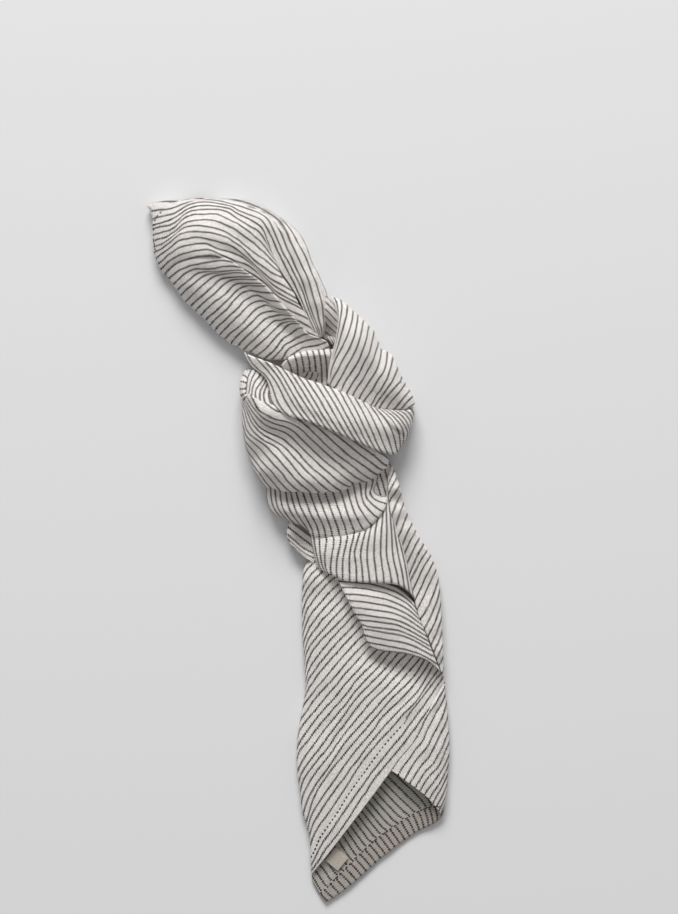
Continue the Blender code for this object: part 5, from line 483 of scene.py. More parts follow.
NETS["tail"] = (
    (0, ((1.8, -8), (2.6, -6.2), (4.4, -4.2), (7, -2.8), (9.6, -2.2))),
    (1, ((1.2, -13.4), (2, -11.2), (3.8, -8.4), (5.4, -6.9), (7.2, -5.1), (10.5, -3))),
    (2, ((1, -19), (2, -16.5), (4.1, -13.4), (5.9, -10.9), (7.7, -9.1), (9.3, -7.5), (13, -5))),
    (3, ((0.8, -25), (1.8, -22.3), (3.1, -19.4), (4.5, -17.3), (6.1, -15.1), (7.7, -13), (9.5, -11.6),
        (11.5, -9.6), (15.5, -7))),
    (4, ((0.9, -31.5), (1.5, -29), (2.7, -25.5), (3.8, -23), (5.6, -20.9), (7, -18.7), (8.8, -16.9),
        (10.9, -14.8), (12.7, -13), (14.7, -11), (18.5, -8))),
    (5, ((1, -38.5), (1.8, -35.1), (2.5, -31.6), (3.4, -29), (4.9, -26.9), (7.7, -23), (9.5, -20.9),
        (11.3, -18.7), (13.4, -16.2), (15.6, -14.4), (17.7, -12.6), (21.5, -10))),
    (6, ((1.2, -42.5), (2.2, -38.4), (3.1, -36.2), (4.1, -33.7), (5.6, -31.2), (7.4, -28.7),
        (9.1, -26.6), (12.7, -22.6), (14.5, -20.5), (16.3, -18.7), (17.9, -17.3), (22, -14))),
    (7, ((1.5, -47.5), (2.4, -43.4), (3.6, -40.5), (4.9, -37.6), (6.3, -35.5), (8.1, -33), (10.2, -30.5),
        (13.4, -26.6), (16.6, -23.4), (18.4, -21.2), (20.2, -19.4), (24, -16))),
    (8, ((1.9, -53), (2.3, -49.8), (3.1, -46.6), (4.1, -43.7), (5.6, -41.6), (7, -39.4), (8.8, -37.3),
        (10.6, -34.4), (12.4, -32.6), (16.6, -28.4), (20.2, -24.8), (21.6, -22.6), (26, -18.5))),
    (9, ((2.1, -57), (2.7, -52.3), (3.8, -49.4), (5.6, -46.2), (8.4, -42.6), (12, -38.4), (14.1, -35.9),
        (16.3, -33.4), (19.9, -29.8), (21.6, -28), (23.3, -25.9), (28, -21.5))),
    (10, ((2.4, -61.5), (3.2, -56.7), (4.4, -53.4), (5.9, -50.1), (7.7, -47.6), (10.9, -43.7),
        (14.9, -39.8), (19.1, -35.5), (21.3, -33.4), (24.9, -29), (30, -24.5))),
    (11, ((2.7, -65.5), (3.8, -60.7), (6, -56), (8.3, -53), (10.6, -49.8), (12.4, -47.6), (16.3, -42.6),
        (20.2, -38.7), (22, -36.9), (26.5, -31.9), (31.5, -27.5))),
    (12, ((2.4, -70.5), (3.2, -67.3), (4, -64.3), (5.7, -61.7), (7.3, -59.7), (9.3, -56.3), (11, -54.3),
        (14.5, -50.1), (18.4, -45.5), (22, -41.9), (24.5, -39.4), (28.4, -34.8), (33.5, -30))),
    (13, ((1.6, -76), (2.3, -72.7), (3.8, -69.7), (5.3, -66.7), (7, -64.7), (8.7, -61.7), (12, -57.7),
        (15.5, -53.5), (19.9, -48.7), (24.1, -44.1), (28.4, -39.8), (30.2, -37.6), (35.5, -33))),
    (14, ((0.8, -80.5), (1.7, -76.8), (3.7, -74.3), (5.7, -71.7), (9, -67), (12.3, -63.3), (15.7, -59),
        (19.3, -54.7), (22.9, -50.7), (27, -46.2), (31.6, -41.8), (37, -37))),
    (15, ((-0.6, -87.5), (0.3, -84), (2, -81.7), (4, -79), (5.7, -76), (9, -71.8), (12.7, -67.5),
        (15, -65.3), (19.3, -60.2), (25, -53.3), (29.1, -49.1), (32.7, -45.5), (38.5, -40.5))),
    (16, ((-1.4, -93.5), (-0.3, -89.3), (1.3, -87), (5, -82.3), (8.3, -78.7), (10, -76.3), (14, -71.3),
        (18.7, -66), (21.3, -62.3), (24.3, -59), (28, -55), (31.6, -51), (34, -48.4), (40, -43.5))),
    (17, ((-1.6, -98.5), (-0.7, -96.3), (1.7, -92.3), (5, -87.7), (9.3, -82), (12.3, -78.3),
        (15.7, -74.7), (19, -70.7), (22.3, -66.3), (25.7, -62.7), (29.7, -58.3), (33, -54.7),
        (36.7, -50.7), (42.5, -45.5))),
    (18, ((-1.8, -104.5), (-1.2, -102), (0.3, -99), (3.7, -94.7), (7.3, -90), (10.3, -86), (13.7, -82),
        (17, -78), (20.3, -74.3), (24, -70), (27.3, -65), (30.7, -61.3), (35, -57.3), (38.7, -53.7),
        (41.7, -50.3), (47.5, -45.5))),
    (19, ((-1.4, -110.5), (-0.6, -108), (1, -105), (4.7, -99.3), (8.3, -94.7), (12, -89.3),
        (15.7, -84.7), (19.3, -80.3), (23, -76), (26.7, -70.7), (30.3, -66.7), (33.7, -63),
        (40.9, -55.7), (44.7, -50.5), (50, -45))),
    (20, ((-0.8, -116), (0.2, -112.2), (1.4, -109.3), (6.4, -102.6), (9, -99.3), (12.3, -94.7),
        (15.7, -90), (19.3, -85.3), (23, -80.3), (26, -75.7), (29.7, -71.3), (34.3, -66.7),
        (38.7, -62.3), (42, -59.1), (45.7, -55), (49.3, -50.7), (54.5, -45.5))),
    (21, ((0, -121), (0.4, -118.2), (1.4, -114.7), (4.3, -110), (8.1, -105), (14.7, -97), (17.7, -92),
        (21.3, -87.7), (25.3, -82), (29, -77), (32.7, -73), (37, -68.7), (41.5, -64.2), (46.7, -58.3),
        (50.7, -53.7), (53, -51.7), (57.5, -47))),
    (22, ((0.4, -127), (1.4, -122.2), (3.9, -116.8), (6.8, -111.8), (10.6, -106.8), (16.7, -99),
        (20.7, -93), (24.7, -87.7), (28.7, -83), (35.7, -74.7), (39.7, -70.7), (44.7, -65.7),
        (49.3, -61), (53.3, -56.3), (57, -52), (61, -47.5))),
    (23, ((1.4, -132.5), (1.9, -129.8), (3.5, -124.7), (5.2, -121.3), (8.5, -115.5), (12.7, -110),
        (18.9, -100.5), (22.3, -95.5), (26, -91.3), (33.7, -82.7), (37.7, -78.3), (42, -73),
        (46.7, -68.7), (51, -64), (54.4, -59.9), (59.3, -54.3), (62.5, -50.5))),
    (24, ((3, -136), (4.3, -131.5), (5.2, -128), (7.3, -121.8), (10.6, -116.3), (14.3, -111),
        (18.1, -106), (21.8, -101.8), (26, -96.3), (30.3, -91.3), (34, -87.3), (37.3, -83), (41, -79),
        (44.3, -74.7), (50, -69.3), (55.3, -64.3), (58.3, -60.7), (60.4, -57.6), (61.7, -54.7),
        (64, -51))),
    (25, ((3.6, -140), (4.3, -135.9), (5.8, -131.6), (8.5, -126.8), (12.7, -120.5), (16.8, -114.7),
        (20.2, -109.7), (24.3, -103.8), (28, -99), (32.7, -93.7), (36.7, -89), (40.3, -83.5),
        (44.7, -79), (51.4, -72.7), (53.6, -69.9), (57.5, -66.3), (60.3, -62.1), (63.3, -57.9),
        (66, -53.5))),
    (26, ((4.6, -142.5), (5.6, -138.4), (8.9, -132), (12.7, -126), (16.8, -120), (21, -114.7),
        (24.8, -108.8), (29.3, -103.4), (33, -98), (38, -92), (42, -87.2), (46, -83), (51.7, -76.8),
        (57.5, -71.6), (60.8, -66.8), (63.6, -62.7), (65.8, -58.5), (68, -55))),
    (27, ((5, -147.5), (6, -144), (9.3, -137.6), (13.5, -131.8), (17.3, -126), (21, -120.5),
        (25.2, -114.3), (28.9, -108), (33.5, -101.8), (38, -96.3), (42, -92), (47, -86.7), (51.4, -81.2),
        (56.4, -76.6), (61.1, -71), (63.6, -66.8), (67.8, -61), (70, -58))),
    (28, ((5.2, -154), (7.2, -150), (10, -143), (13.5, -138), (16, -134.3), (19.8, -128.8),
        (23.3, -122.6), (27.7, -116.3), (32.3, -110), (37.5, -102.6), (41.7, -97), (46.3, -91.7),
        (50, -87.7), (54.2, -81.8), (58.1, -76), (62.5, -71.6), (65.8, -66.3), (70, -62.1), (71.8, -60))),
    (29, ((5.4, -157.5), (7.3, -153.8), (9.8, -148), (13.5, -142.6), (17.3, -137.2), (21, -131.3),
        (25.2, -125.5), (29.3, -119.3), (33.1, -114.3), (36.8, -108.8), (41, -103.8), (44.7, -99),
        (50, -92.9), (55.6, -85.4), (59.2, -80.2), (63.3, -75.2), (67.2, -69.1), (70.8, -64.9),
        (72.2, -62.6))),
    (30, ((5.6, -160), (8.9, -155.5), (12.3, -149.7), (17.3, -143.4), (21, -138), (24.8, -132.6),
        (28.5, -126.3), (33.1, -119.7), (36.8, -113.8), (41.8, -107.6), (46.4, -102.2), (50, -98),
        (54.4, -92.1), (58.1, -87.4), (61.7, -82.1), (66.2, -76.8), (69.2, -71.8), (71.1, -68.5),
        (72.6, -65.6))),
    (30.6, ((5.8, -161.5), (13, -152.3), (22.5, -139.8), (34, -124.6), (45.5, -109), (50, -102.6),
        (54.2, -98), (57.2, -94.3), (59.7, -89.9), (62.2, -84.3), (64.4, -80.4), (67.8, -76),
        (70.3, -71.8), (71.9, -69), (73, -66.8))),
)
NETS["cuff"] = (
    (31, ((45.5, -109), (50, -102.6), (54.2, -98), (57.2, -94.3), (59.7, -89.9), (62.2, -84.3),
        (65, -79.8), (68.2, -75.6), (70.6, -71.4), (72.6, -67.6))),
    (32, ((49.2, -111.4), (51.8, -106.8), (54.4, -103.6), (58.3, -98), (61.4, -94.6), (63.1, -89.9),
        (65.6, -85.2), (68.3, -80.2), (71.4, -75.4), (72.9, -71))),
    (33, ((52.3, -113.8), (55.5, -107.9), (58.1, -104.2), (60.7, -101), (63.6, -97.4), (66.4, -91.8),
        (68.9, -87.7), (71.1, -83.2), (73.3, -77.2), (73.6, -75))),
    (34, ((54.9, -115.7), (58.1, -110.5), (60.7, -106.8), (63.9, -103.2), (67.2, -97.4), (70, -91.6),
        (72.8, -86.2), (74.2, -82))),
    (35, ((57.6, -117.6), (60.7, -112.6), (62.8, -109.5), (66.5, -106.3), (68.6, -102.6), (71.4, -97.4),
        (73, -93.5), (74.8, -89.5))),
    (36, ((60, -119.4), (62.3, -115.3), (64.9, -111.6), (68.6, -108.3), (70.4, -105.2), (72.3, -101),
        (75, -95))),
    (37, ((62.4, -121.3), (64.9, -117.4), (67.1, -114.7), (70.2, -110.5), (72.3, -107.3), (75, -101.5))),
    (38, ((64.6, -123.4), (67.1, -119.6), (70.2, -115.3), (72.8, -110.6), (74.7, -106.4))),
    (39, ((66.6, -125.6), (68.6, -121.8), (71.3, -117.4), (74.4, -111))),
    (40, ((68.2, -127.7), (70.1, -124.2), (72.4, -120), (74, -115.6))),
    (41, ((69.6, -129.6), (71, -126.9), (72.8, -123), (73.6, -120))),
    (42, ((71, -131.4), (71.8, -129), (72.6, -126.4), (73.2, -123.6))),
)
NETS["base"] = (
    (-2, ((60, -108), (65, -112), (69, -117), (71.5, -122), (72.3, -126), (72.4, -128.4), (72.2, -130.4),
        (71.6, -131.8))),
    (-1, ((54, -108), (59.5, -112.6), (64.2, -117.8), (68, -123), (69.4, -127.4), (69.9, -130.4),
        (70.1, -132.6), (69.9, -134.2))),
    (0, ((49, -108.4), (54.6, -113.4), (59.6, -118.6), (63.8, -123.6), (66, -128), (67, -131.6),
        (67.6, -134.2), (67.7, -136.2))),
    (1, ((45.4, -109.6), (50.8, -114.8), (56, -119.8), (60.6, -124.4), (63.4, -128.6), (64.8, -132.6),
        (65.4, -135.4), (65.8, -137.6))),
    (2, ((42.4, -111.6), (47.6, -116.8), (52.8, -121.8), (57.4, -126.2), (60.6, -129.6), (62.2, -133.6),
        (63, -136.4), (63.5, -138.6))),
    (3, ((40.4, -114), (45.4, -119.2), (50.4, -124.2), (54.8, -128.4), (57.8, -131.2), (59.6, -134.8),
        (60.6, -137.6), (61.2, -139.7))),
    (4, ((38.6, -116.6), (43.4, -121.8), (48, -126.6), (52, -130.6), (54.8, -132.8), (56.8, -136.2),
        (58, -139), (58.8, -141))),
    (5, ((36.8, -119.2), (41.2, -124.2), (45.6, -129), (49.2, -132.8), (51.8, -134.6), (54, -138),
        (55.4, -140.6), (56.4, -142.6))),
    (6, ((35, -121.6), (39.2, -126.6), (43.2, -131.2), (46.6, -134.8), (48.9, -136.5), (51.2, -139.8),
        (52.9, -142.4), (54, -144.3))),
    (7, ((33.2, -124), (37, -128.8), (40.8, -133.2), (44, -136.8), (46.2, -138.4), (48.6, -141.6),
        (50.3, -144.2), (51.5, -146))),
    (8, ((31.4, -126.4), (35, -131), (38.6, -135.4), (41.6, -138.8), (43.5, -140.3), (46, -143.4),
        (47.8, -146), (49, -147.8))),
    (9, ((29.6, -128.8), (33, -133.2), (36.4, -137.4), (39.2, -140.8), (40.9, -142.1), (43.4, -145.2),
        (45.3, -147.7), (46.6, -149.6))),
    (10, ((27.8, -131.2), (31, -135.4), (34.2, -139.6), (36.8, -142.9), (38.4, -144), (40.9, -147),
        (42.8, -149.5), (44.2, -151.4))),
    (11, ((26, -133.6), (29, -137.8), (32, -141.8), (34.4, -145), (35.9, -146.1), (38.4, -149),
        (40.4, -151.5), (41.8, -153.3))),
    (12, ((24.2, -136.2), (27, -140.2), (29.8, -144.1), (32, -147.2), (33.4, -148.3), (36, -151.2),
        (38, -153.6), (39.4, -155.4))),
    (13, ((22.4, -138.8), (25, -142.7), (27.6, -146.5), (29.6, -149.5), (31, -150.6), (33.6, -153.4),
        (35.6, -155.8), (37, -157.6))),
    (14, ((20.6, -141.4), (23, -145.2), (25.4, -148.9), (27.4, -151.8), (28.6, -152.9), (31.2, -155.7),
        (33.2, -158), (34.6, -159.8))),
    (15, ((18.6, -144), (20.8, -147.8), (23.2, -151.4), (25, -154.2), (26.2, -155.2), (28.8, -158),
        (30.8, -160.2), (32.2, -162))),
    (16, ((16.4, -146.8), (18.6, -150.4), (20.8, -154), (22.6, -156.7), (23.8, -157.7), (26.4, -160.3),
        (28.3, -162.5), (29.7, -164.2))),
    (17, ((14, -149.8), (16.2, -153.2), (18.4, -156.6), (20.2, -159.2), (21.4, -160.2), (23.8, -162.7),
        (25.7, -164.8), (27.1, -166.4))),
    (18, ((11.6, -152.8), (13.8, -156), (15.9, -159.2), (17.7, -161.7), (18.9, -162.7), (21.2, -165.1),
        (23, -167), (24.3, -168.6))),
    (19, ((9, -156), (11.2, -159), (13.3, -162), (15, -164.4), (16.2, -165.4), (18.4, -167.6),
        (20.1, -169.4), (21.4, -170.8))),
    (20, ((7, -159.4), (8.8, -162), (10.7, -164.8), (12.3, -167.2), (13.4, -168.2), (15.5, -170.2),
        (17.1, -171.8), (18.3, -173))),
    (21, ((5.9, -163), (7.2, -165), (8.6, -167.4), (9.9, -169.6), (10.8, -170.8), (12.6, -172.8),
        (14.1, -174.2), (15.2, -175.2))),
    (22, ((6, -165), (6.8, -166.8), (7.8, -168.8), (8.8, -170.8), (9.6, -172), (11, -174),
        (12.2, -175.4), (13.3, -176.4))),
)
NETS["hollow"] = (
    (-1, ((-9.6, 93.2), (-9.2, 92.4), (-8.8, 91.6), (-8.4, 90.8), (-8, 90))),
    (0, ((-6.5, 96.5), (-5.8, 95), (-5, 93.4), (-4.4, 91.4), (-4, 89))),
    (1, ((-3, 98.8), (-2.2, 97), (-1.6, 94.6), (-1.2, 91.4), (-1, 87.4))),
    (2, ((0, 99.8), (0.8, 98.2), (1.4, 95.4), (1.8, 91.4), (2, 86.4))),
    (3, ((3, 100.4), (3.8, 99), (4.5, 95.8), (4.9, 91.4), (5, 85.4))),
    (4, ((6, 100.8), (6.8, 99.2), (7.4, 96), (7.8, 91.4), (8, 84.6))),
    (5, ((9, 101), (9.8, 99), (10.4, 96), (10.8, 91.4), (11, 83.6))),
    (6, ((12, 101.2), (12.6, 98.4), (13, 95.4), (13.4, 91), (13.8, 83))),
    (7, ((15, 101.4), (15.6, 98), (15.8, 95), (15.8, 91), (16, 82.6))),
    (8, ((17.5, 101.5), (17.8, 98), (17.8, 95), (17.8, 91), (18, 82))),
)
NETS["pocket"] = (
    (0, ((-4.5, 15.4), (-3, 14), (0, 11.6), (3, 9.4), (6, 7.4))),
    (1, ((-6.2, 12.5), (-4.6, 11.4), (-1, 8.4), (3, 5.2), (6.8, 2.6))),
    (2, ((-6.9, 9.2), (-5.6, 8.2), (-2.2, 5), (2, 1.6), (7.4, -1))),
    (3, ((-6.2, 6.2), (-5, 5.4), (-1.6, 2.2), (3, -1.2), (7.8, -3.6))),
    (4, ((-4, 2.8), (-3, 2.2), (0.6, -0.6), (4.6, -3.2), (8.2, -5.6))),
    (5, ((-0.8, -0.4), (0, -0.8), (3, -2.6), (6, -4.6), (8.8, -7))),
    (6, ((2.6, -3), (3.4, -3.4), (5, -4.4), (7, -6), (9.4, -8.4))),
)
NETS["shoulder"] = (
    (-1, ((-26.4, 91), (-27, 88.5), (-27.4, 85.5), (-27.8, 82), (-28, 78.5), (-27.8, 75))),
    (0, ((-24.2, 91.2), (-25.2, 88.8), (-26, 86.6), (-26.3, 83.9), (-26.6, 80.5), (-27, 77.5), (-27, 74))),
    (1, ((-21.4, 91.4), (-22.7, 88.5), (-23.7, 86.9), (-24.5, 84.2), (-25.1, 80), (-25.5, 78),
        (-25.8, 75.6), (-25, 72))),
    (2, ((-19, 89.6), (-20.6, 86.9), (-21.7, 86), (-22.7, 83.9), (-23.5, 81.2), (-23.7, 78.9),
        (-23.7, 76.6), (-22.8, 73.5), (-21.2, 70.8))),
    (3, ((-17.4, 87.9), (-19.3, 84.4), (-20.4, 82.8), (-21.3, 81.6), (-21.9, 79.9), (-21.9, 77.4),
        (-21.2, 74.4), (-19.8, 71.6), (-18, 69.6))),
    (4, ((-16, 86.8), (-17.6, 84), (-18.8, 81.9), (-19.5, 80.3), (-19.7, 78), (-19.6, 75.6), (-18.6, 73),
        (-16.9, 70.6), (-14.2, 68.4))),
    (5, ((-14.6, 85.4), (-16.3, 83.2), (-17.4, 80.6), (-17.9, 78.6), (-17.5, 75.6), (-16.3, 73.5),
        (-14.6, 71.7), (-12.7, 69.8), (-10.6, 67.8))),
    (6, ((-13.4, 83), (-14.6, 81.2), (-15.3, 79.2), (-15.2, 76.8), (-14.4, 74.4), (-13.1, 72),
        (-11.2, 70.4), (-8.6, 67.8))),
    (7, ((-11.6, 81.6), (-12.6, 79.4), (-12.9, 77), (-12.4, 74.8), (-11.2, 72.4), (-9.4, 70.4), (-7, 68))),
)
NETS["roll"] = (
    (0, ((-27, 91.6), (-25.6, 90.6), (-24.4, 89.2))),
    (1, ((-28.8, 88.6), (-27.2, 87.8), (-25.8, 86.6))),
    (2, ((-30, 85), (-28, 84.8), (-26.2, 84.2))),
    (3, ((-30.2, 81.2), (-28.4, 81.4), (-26.4, 81.6))),
    (4, ((-29.6, 78), (-28.2, 78.6), (-26.6, 79.4))),
    (5, ((-28.4, 75.6), (-27.4, 76.4), (-26, 77.4))),
)
NETS["gusset"] = (
    (0, ((11, 129), (13.4, 127.6), (15.6, 125.4), (17.8, 123), (20, 120))),
    (1, ((10.4, 126.4), (12.8, 124.8), (15.2, 122.4), (17.6, 119.8), (20, 117))),
    (2, ((10, 123.4), (12.4, 121.4), (14.8, 119), (17.4, 116.2), (20, 113.4))),
    (3, ((9.6, 120.4), (12, 118.4), (14.4, 116), (17, 113.2), (19.8, 110.4))),
    (4, ((9.4, 117), (11.8, 115.2), (14.2, 112.9), (16.8, 110.6), (19.6, 108))),
    (5, ((9.4, 112.8), (11.6, 111), (14, 109), (16.6, 107.4), (19.6, 105.4))),
    (6, ((9.4, 108.4), (11.4, 107), (13.6, 105.6), (16.2, 104.2), (19.4, 103))),
)
NETS["lip"] = (
    (0, ((13.4, 107.6), (14.6, 105.6), (15.8, 103.6))),
    (1, ((14.6, 108), (15.8, 106), (17, 103.9))),
    (2, ((16, 107.8), (17.2, 105.8), (18.4, 103.6))),
    (3, ((17.4, 107.2), (18.6, 105.2), (19.8, 103))),
)

# Each panel's heights, as (x, y, z): silhouettes first, then ridges and troughs.
HEIGHTS = {}
HEIGHTS["leaf"] = (
    (-74, 166, 8), (-73.4, 158, 8), (-73, 150, 7), (-70, 142, 6.5), (-67, 138.6, 6), (-62, 160, 14),
    (-50, 162, 17), (-35, 163, 17.5), (-25, 160, 16), (-61, 144.4, 12.4), (-54, 146.3, 15.4),
    (-48, 147.3, 16.7), (-42, 147.5, 17.4), (-50, 153, 17.3), (-36, 150, 17.5), (-30, 152, 17.2),
    (-36, 146.4, 16.8), (-29, 143, 15), (-24, 140, 14.2), (-18, 135.4, 13.8), (-12, 129.6, 13.4),
    (-6, 123, 12.8), (0, 116, 11.6), (5, 110.6, 10.4), (-24, 147, 16.4), (-18, 143, 15.6),
    (-13, 138.4, 14.8), (-8, 133, 14), (-3, 126.6, 13), (-40, 141, 13.2), (-30, 136, 12.2),
    (-20, 129, 11.2), (-10, 118, 10), (-2, 112, 9.2), (-56, 142, 11), (-48, 141.6, 13.4), (-40, 134, 10),
    (-25, 124, 9), (-66, 165.4, 11.4), (-57, 170.6, 11.5), (-50, 173, 11), (-41.7, 172.6, 11.6),
    (-35, 171.5, 12.4), (-28.6, 167.5, 13.4), (-22, 164.2, 13.8), (-18, 160.6, 13.2), (-16, 154, 12.7),
    (-14, 149, 12.3), (-9.6, 140, 12.3), (-4.6, 132.4, 12.1), (0, 125, 11.8), (4, 117, 11),
    (7, 109.6, 10.2),
)
HEIGHTS["over"] = (
    (15.2, 127.6, 13), (19, 118, 20), (19, 108, 20.5), (17, 99, 20), (15, 90, 19), (14.2, 84, 17),
    (24, 122.5, 14), (29.6, 117.7, 13.5), (37, 110, 13), (39.3, 104, 12.5), (27, 110, 22), (32, 104, 21.8),
    (35, 97, 20.4), (25, 98, 22.5), (22, 88, 20), (30, 86, 19.4), (39, 92, 17.6), (37, 83, 16.6),
    (38, 76, 14), (41, 101, 12.5), (46.5, 97.3, 12), (50.6, 88.2, 12), (54.5, 81.3, 12), (57.4, 74, 12.5),
    (45.5, 90, 17.6), (48, 82, 17), (50, 76, 15.5), (44, 80, 17), (44, 72, 13.5), (53, 71.3, 13),
    (30, 77, 17), (22, 80, 18.5),
)
HEIGHTS["wrap"] = (
    (-28, 100, 14), (-24, 92, 14), (-17, 86.4, 20), (-15, 79, 23), (-11, 71, 27), (-7, 68.2, 28),
    (-17.4, 95.4, 21), (-8.6, 91.4, 23.5), (3.2, 86, 24.5), (15.3, 82, 24.5), (27, 77.2, 22.5),
    (37.5, 72, 19), (45, 71.2, 16), (52, 70.9, 14), (56.6, 72, 12), (-12, 86, 24.5), (-4, 80, 27.5),
    (6, 76, 29), (18, 70.5, 29), (30, 66, 27.5), (40, 63, 23.5), (48, 62.5, 19), (54, 64, 14.5),
    (-0.6, 66.4, 29.5), (10.2, 62.6, 30.5), (21, 58, 30), (32, 53, 26.5), (41, 49.6, 21),
    (46.6, 48.6, 16.5), (50.1, 52.1, 14), (54.1, 57.7, 12), (56, 64.5, 11),
)
HEIGHTS["front"] = (
    (-29, 75, 11), (-29.5, 68, 11), (-28, 56, 10.5), (-24, 46.2, 10), (-16, 31.9, 11), (-25.8, 77, 20),
    (-22.4, 75.4, 23), (-18.6, 72.6, 25.4), (-13.4, 69.8, 26.5), (-6.6, 67.4, 26.7), (0.4, 64.8, 26.6),
    (9, 61, 26), (18, 57, 25.5), (28, 53, 23.5), (36.5, 49, 20), (44, 46.5, 15), (8, 66, 24), (23, 60, 23),
    (-2, 71, 24), (36, 54, 19.5), (-17, 75, 23.5), (-22, 66, 21.4), (-15, 63, 23.2), (-5, 58.5, 22.4),
    (5, 55, 22.2), (15, 50.5, 21.4), (26, 46, 19.8), (36, 42.5, 17), (43, 43, 13.5), (-24, 55, 16.5),
    (-17, 52, 19.6), (-9, 48, 21), (1, 43, 20.8), (12, 39.5, 20), (23, 37, 18.2), (32, 38, 15.8),
    (-19.5, 41, 16.4), (-12.2, 37.6, 19.2), (-4, 34.5, 19.8), (5, 33, 19.8), (16, 32.4, 18.4),
    (-7, 30.8, 17), (6, 30.2, 17.2), (21.4, 31.2, 15.6), (28.6, 34.8, 14), (38.4, 38.9, 13), (44, 44.9, 12),
)
HEIGHTS["under"] = (
    (-16.8, 33, 7), (-12.4, 33, 9), (-7, 32.5, 10.5), (4.4, 32, 11), (15.8, 32, 11), (26, 35, 11),
    (35.6, 38.6, 10.5), (38.4, 40.4, 10), (-16.9, 27.5, 7), (-14.9, 21, 7), (-9.4, 16.6, 7.5),
    (-3.8, 14.7, 8), (2.4, 12, 8), (-12, 22.8, 10.5), (-8, 20, 12.5), (0, 19.5, 14.5), (10, 19, 15),
    (20, 19.5, 15), (28, 19.5, 15), (34, 20, 14.5), (39, 19.5, 13.5), (37, 25.5, 12.5), (43, 24.5, 12.5),
    (44.2, 28.2, 11), (38, 31, 9.5), (-5, 26.5, 11.5), (5, 26, 12), (15, 26, 12), (25, 26.5, 12),
    (31, 28, 12), (4.6, 9.4, 8.5), (6.7, 7.4, 9), (12.8, 6.9, 10), (19.8, 7.2, 11), (27.4, 9.6, 12),
    (32, 11, 13), (35.8, 13.6, 13.5), (8, 12.5, 11), (18, 12, 12), (25, 13.5, 13),
)
HEIGHTS["middle"] = (
    (5, 9.5, 7), (13, 9.5, 8), (23.6, 10.6, 9), (33.6, 15, 10.5), (39.4, 20.4, 10.5), (43, 28.4, 10),
    (44.4, 41, 9), (6.8, 0, 8), (10.4, -9.6, 8.5), (10, 0, 10.5), (16, 1, 12), (25, 1, 12.5), (34, 3, 13.5),
    (40.3, 6, 14), (44, 12, 13.5), (46, 20, 12), (51.9, 1, 11.5), (48.8, 11.2, 11.5), (55.4, -15.4, 11),
    (57, -23.2, 9), (18.2, -9.8, 12), (28, -9, 13.5), (38, -9, 14), (46, -8, 14.5), (51, -9, 13.5),
    (13.8, -10.6, 10.5), (21.4, -14.2, 12.5), (31.5, -15.1, 14), (41.9, -15.4, 14.5), (49.4, -16.6, 14),
    (52.2, -18.2, 13), (54.6, -20.2, 12),
)
HEIGHTS["side"] = (
    (43.8, 38, 8), (45.6, 44.6, 8), (44.6, 24.5, 12), (46.8, 13, 12), (50.2, 2.8, 11), (53.4, -8.6, 8.5),
    (56.3, -20.6, 8), (59.2, -32, 9), (63.4, -41.8, 9), (67, -50.8, 8.5), (71.2, -61.2, 7.5),
    (47.5, 37.5, 13), (49, 32, 15), (50, 22, 15), (54, 12, 14), (59, 1, 12), (63.5, -10, 10.5),
    (66, -24, 9.5), (68.5, -38, 9), (70.3, -50, 9), (49, 37.2, 6.5), (51.6, 25.2, 7), (56.3, 15, 7),
    (62, 6, 7), (66.9, -3.7, 7), (69.9, -16.6, 7), (70.9, -29.6, 7), (71.5, -42.2, 7), (72.1, -59, 6.5),
)
HEIGHTS["tuck"] = (
    (17.6, -11.8, 8), (34, -13.2, 9), (48.5, -17.6, 9), (57, -25, 7.5), (20.6, -17.6, 11),
    (25.6, -27.5, 12), (30.8, -36, 12), (33.6, -44.8, 12), (35.6, -47.6, 11.5), (30, -22, 13),
    (38, -25.7, 13.5), (46, -29, 13), (52, -31, 12), (59.9, -33.8, 9.5), (36, -36, 13.5), (44, -41, 13.5),
    (52, -43, 13), (60, -45, 12), (65.3, -47.2, 10), (46.4, -49.9, 12.5), (53, -50.7, 13),
    (58.4, -52.2, 13), (64.4, -54.7, 11.5), (70.6, -60.6, 8), (68.8, -56.2, 8.5),
)
HEIGHTS["tail"] = (
    (1.8, -7.5, 5), (0.8, -21, 4.5), (1.2, -35.5, 4.5), (2.3, -55.5, 4.5), (2.6, -72.4, 4.5),
    (-0.4, -88.4, 4.5), (-1.8, -101.6, 4.5), (0.4, -121.4, 4.5), (4.2, -140, 4.5), (5, -154, 4),
    (5.8, -161.5, 3.6), (9.6, -2.2, 6), (13.4, -6.2, 6), (18, -9.2, 6), (21.6, -11.4, 6), (32, -21, 6),
    (45, -35, 6), (58, -39, 6), (68.6, -46, 6), (71.8, -56.4, 6), (72.2, -61.6, 6.2), (72.9, -69.2, 6),
    (73.4, -74, 5.5), (6, -14, 7.5), (10, -30, 8), (14, -22, 6.5), (20, -33, 7), (12, -45, 8.3),
    (22, -42, 7), (15, -65, 8.6), (28, -51, 7.4), (35, -58, 8), (20, -85, 8.6), (40, -70, 8.6),
    (52, -62, 8), (62, -60, 7.3), (12, -100, 7.8), (30, -98, 8.6), (50, -85, 8.6), (62, -75, 8.2),
    (12, -122, 7.3), (22, -118, 8.2), (35, -112, 8.5), (45, -102, 8.6), (58, -91, 8.5), (13, -140, 6.8),
    (22, -132, 7.8), (10, -152, 5.3), (15, -149.8, 6), (22.5, -139.8, 7.2), (34, -124.6, 8),
    (45.5, -109, 8.2),
)
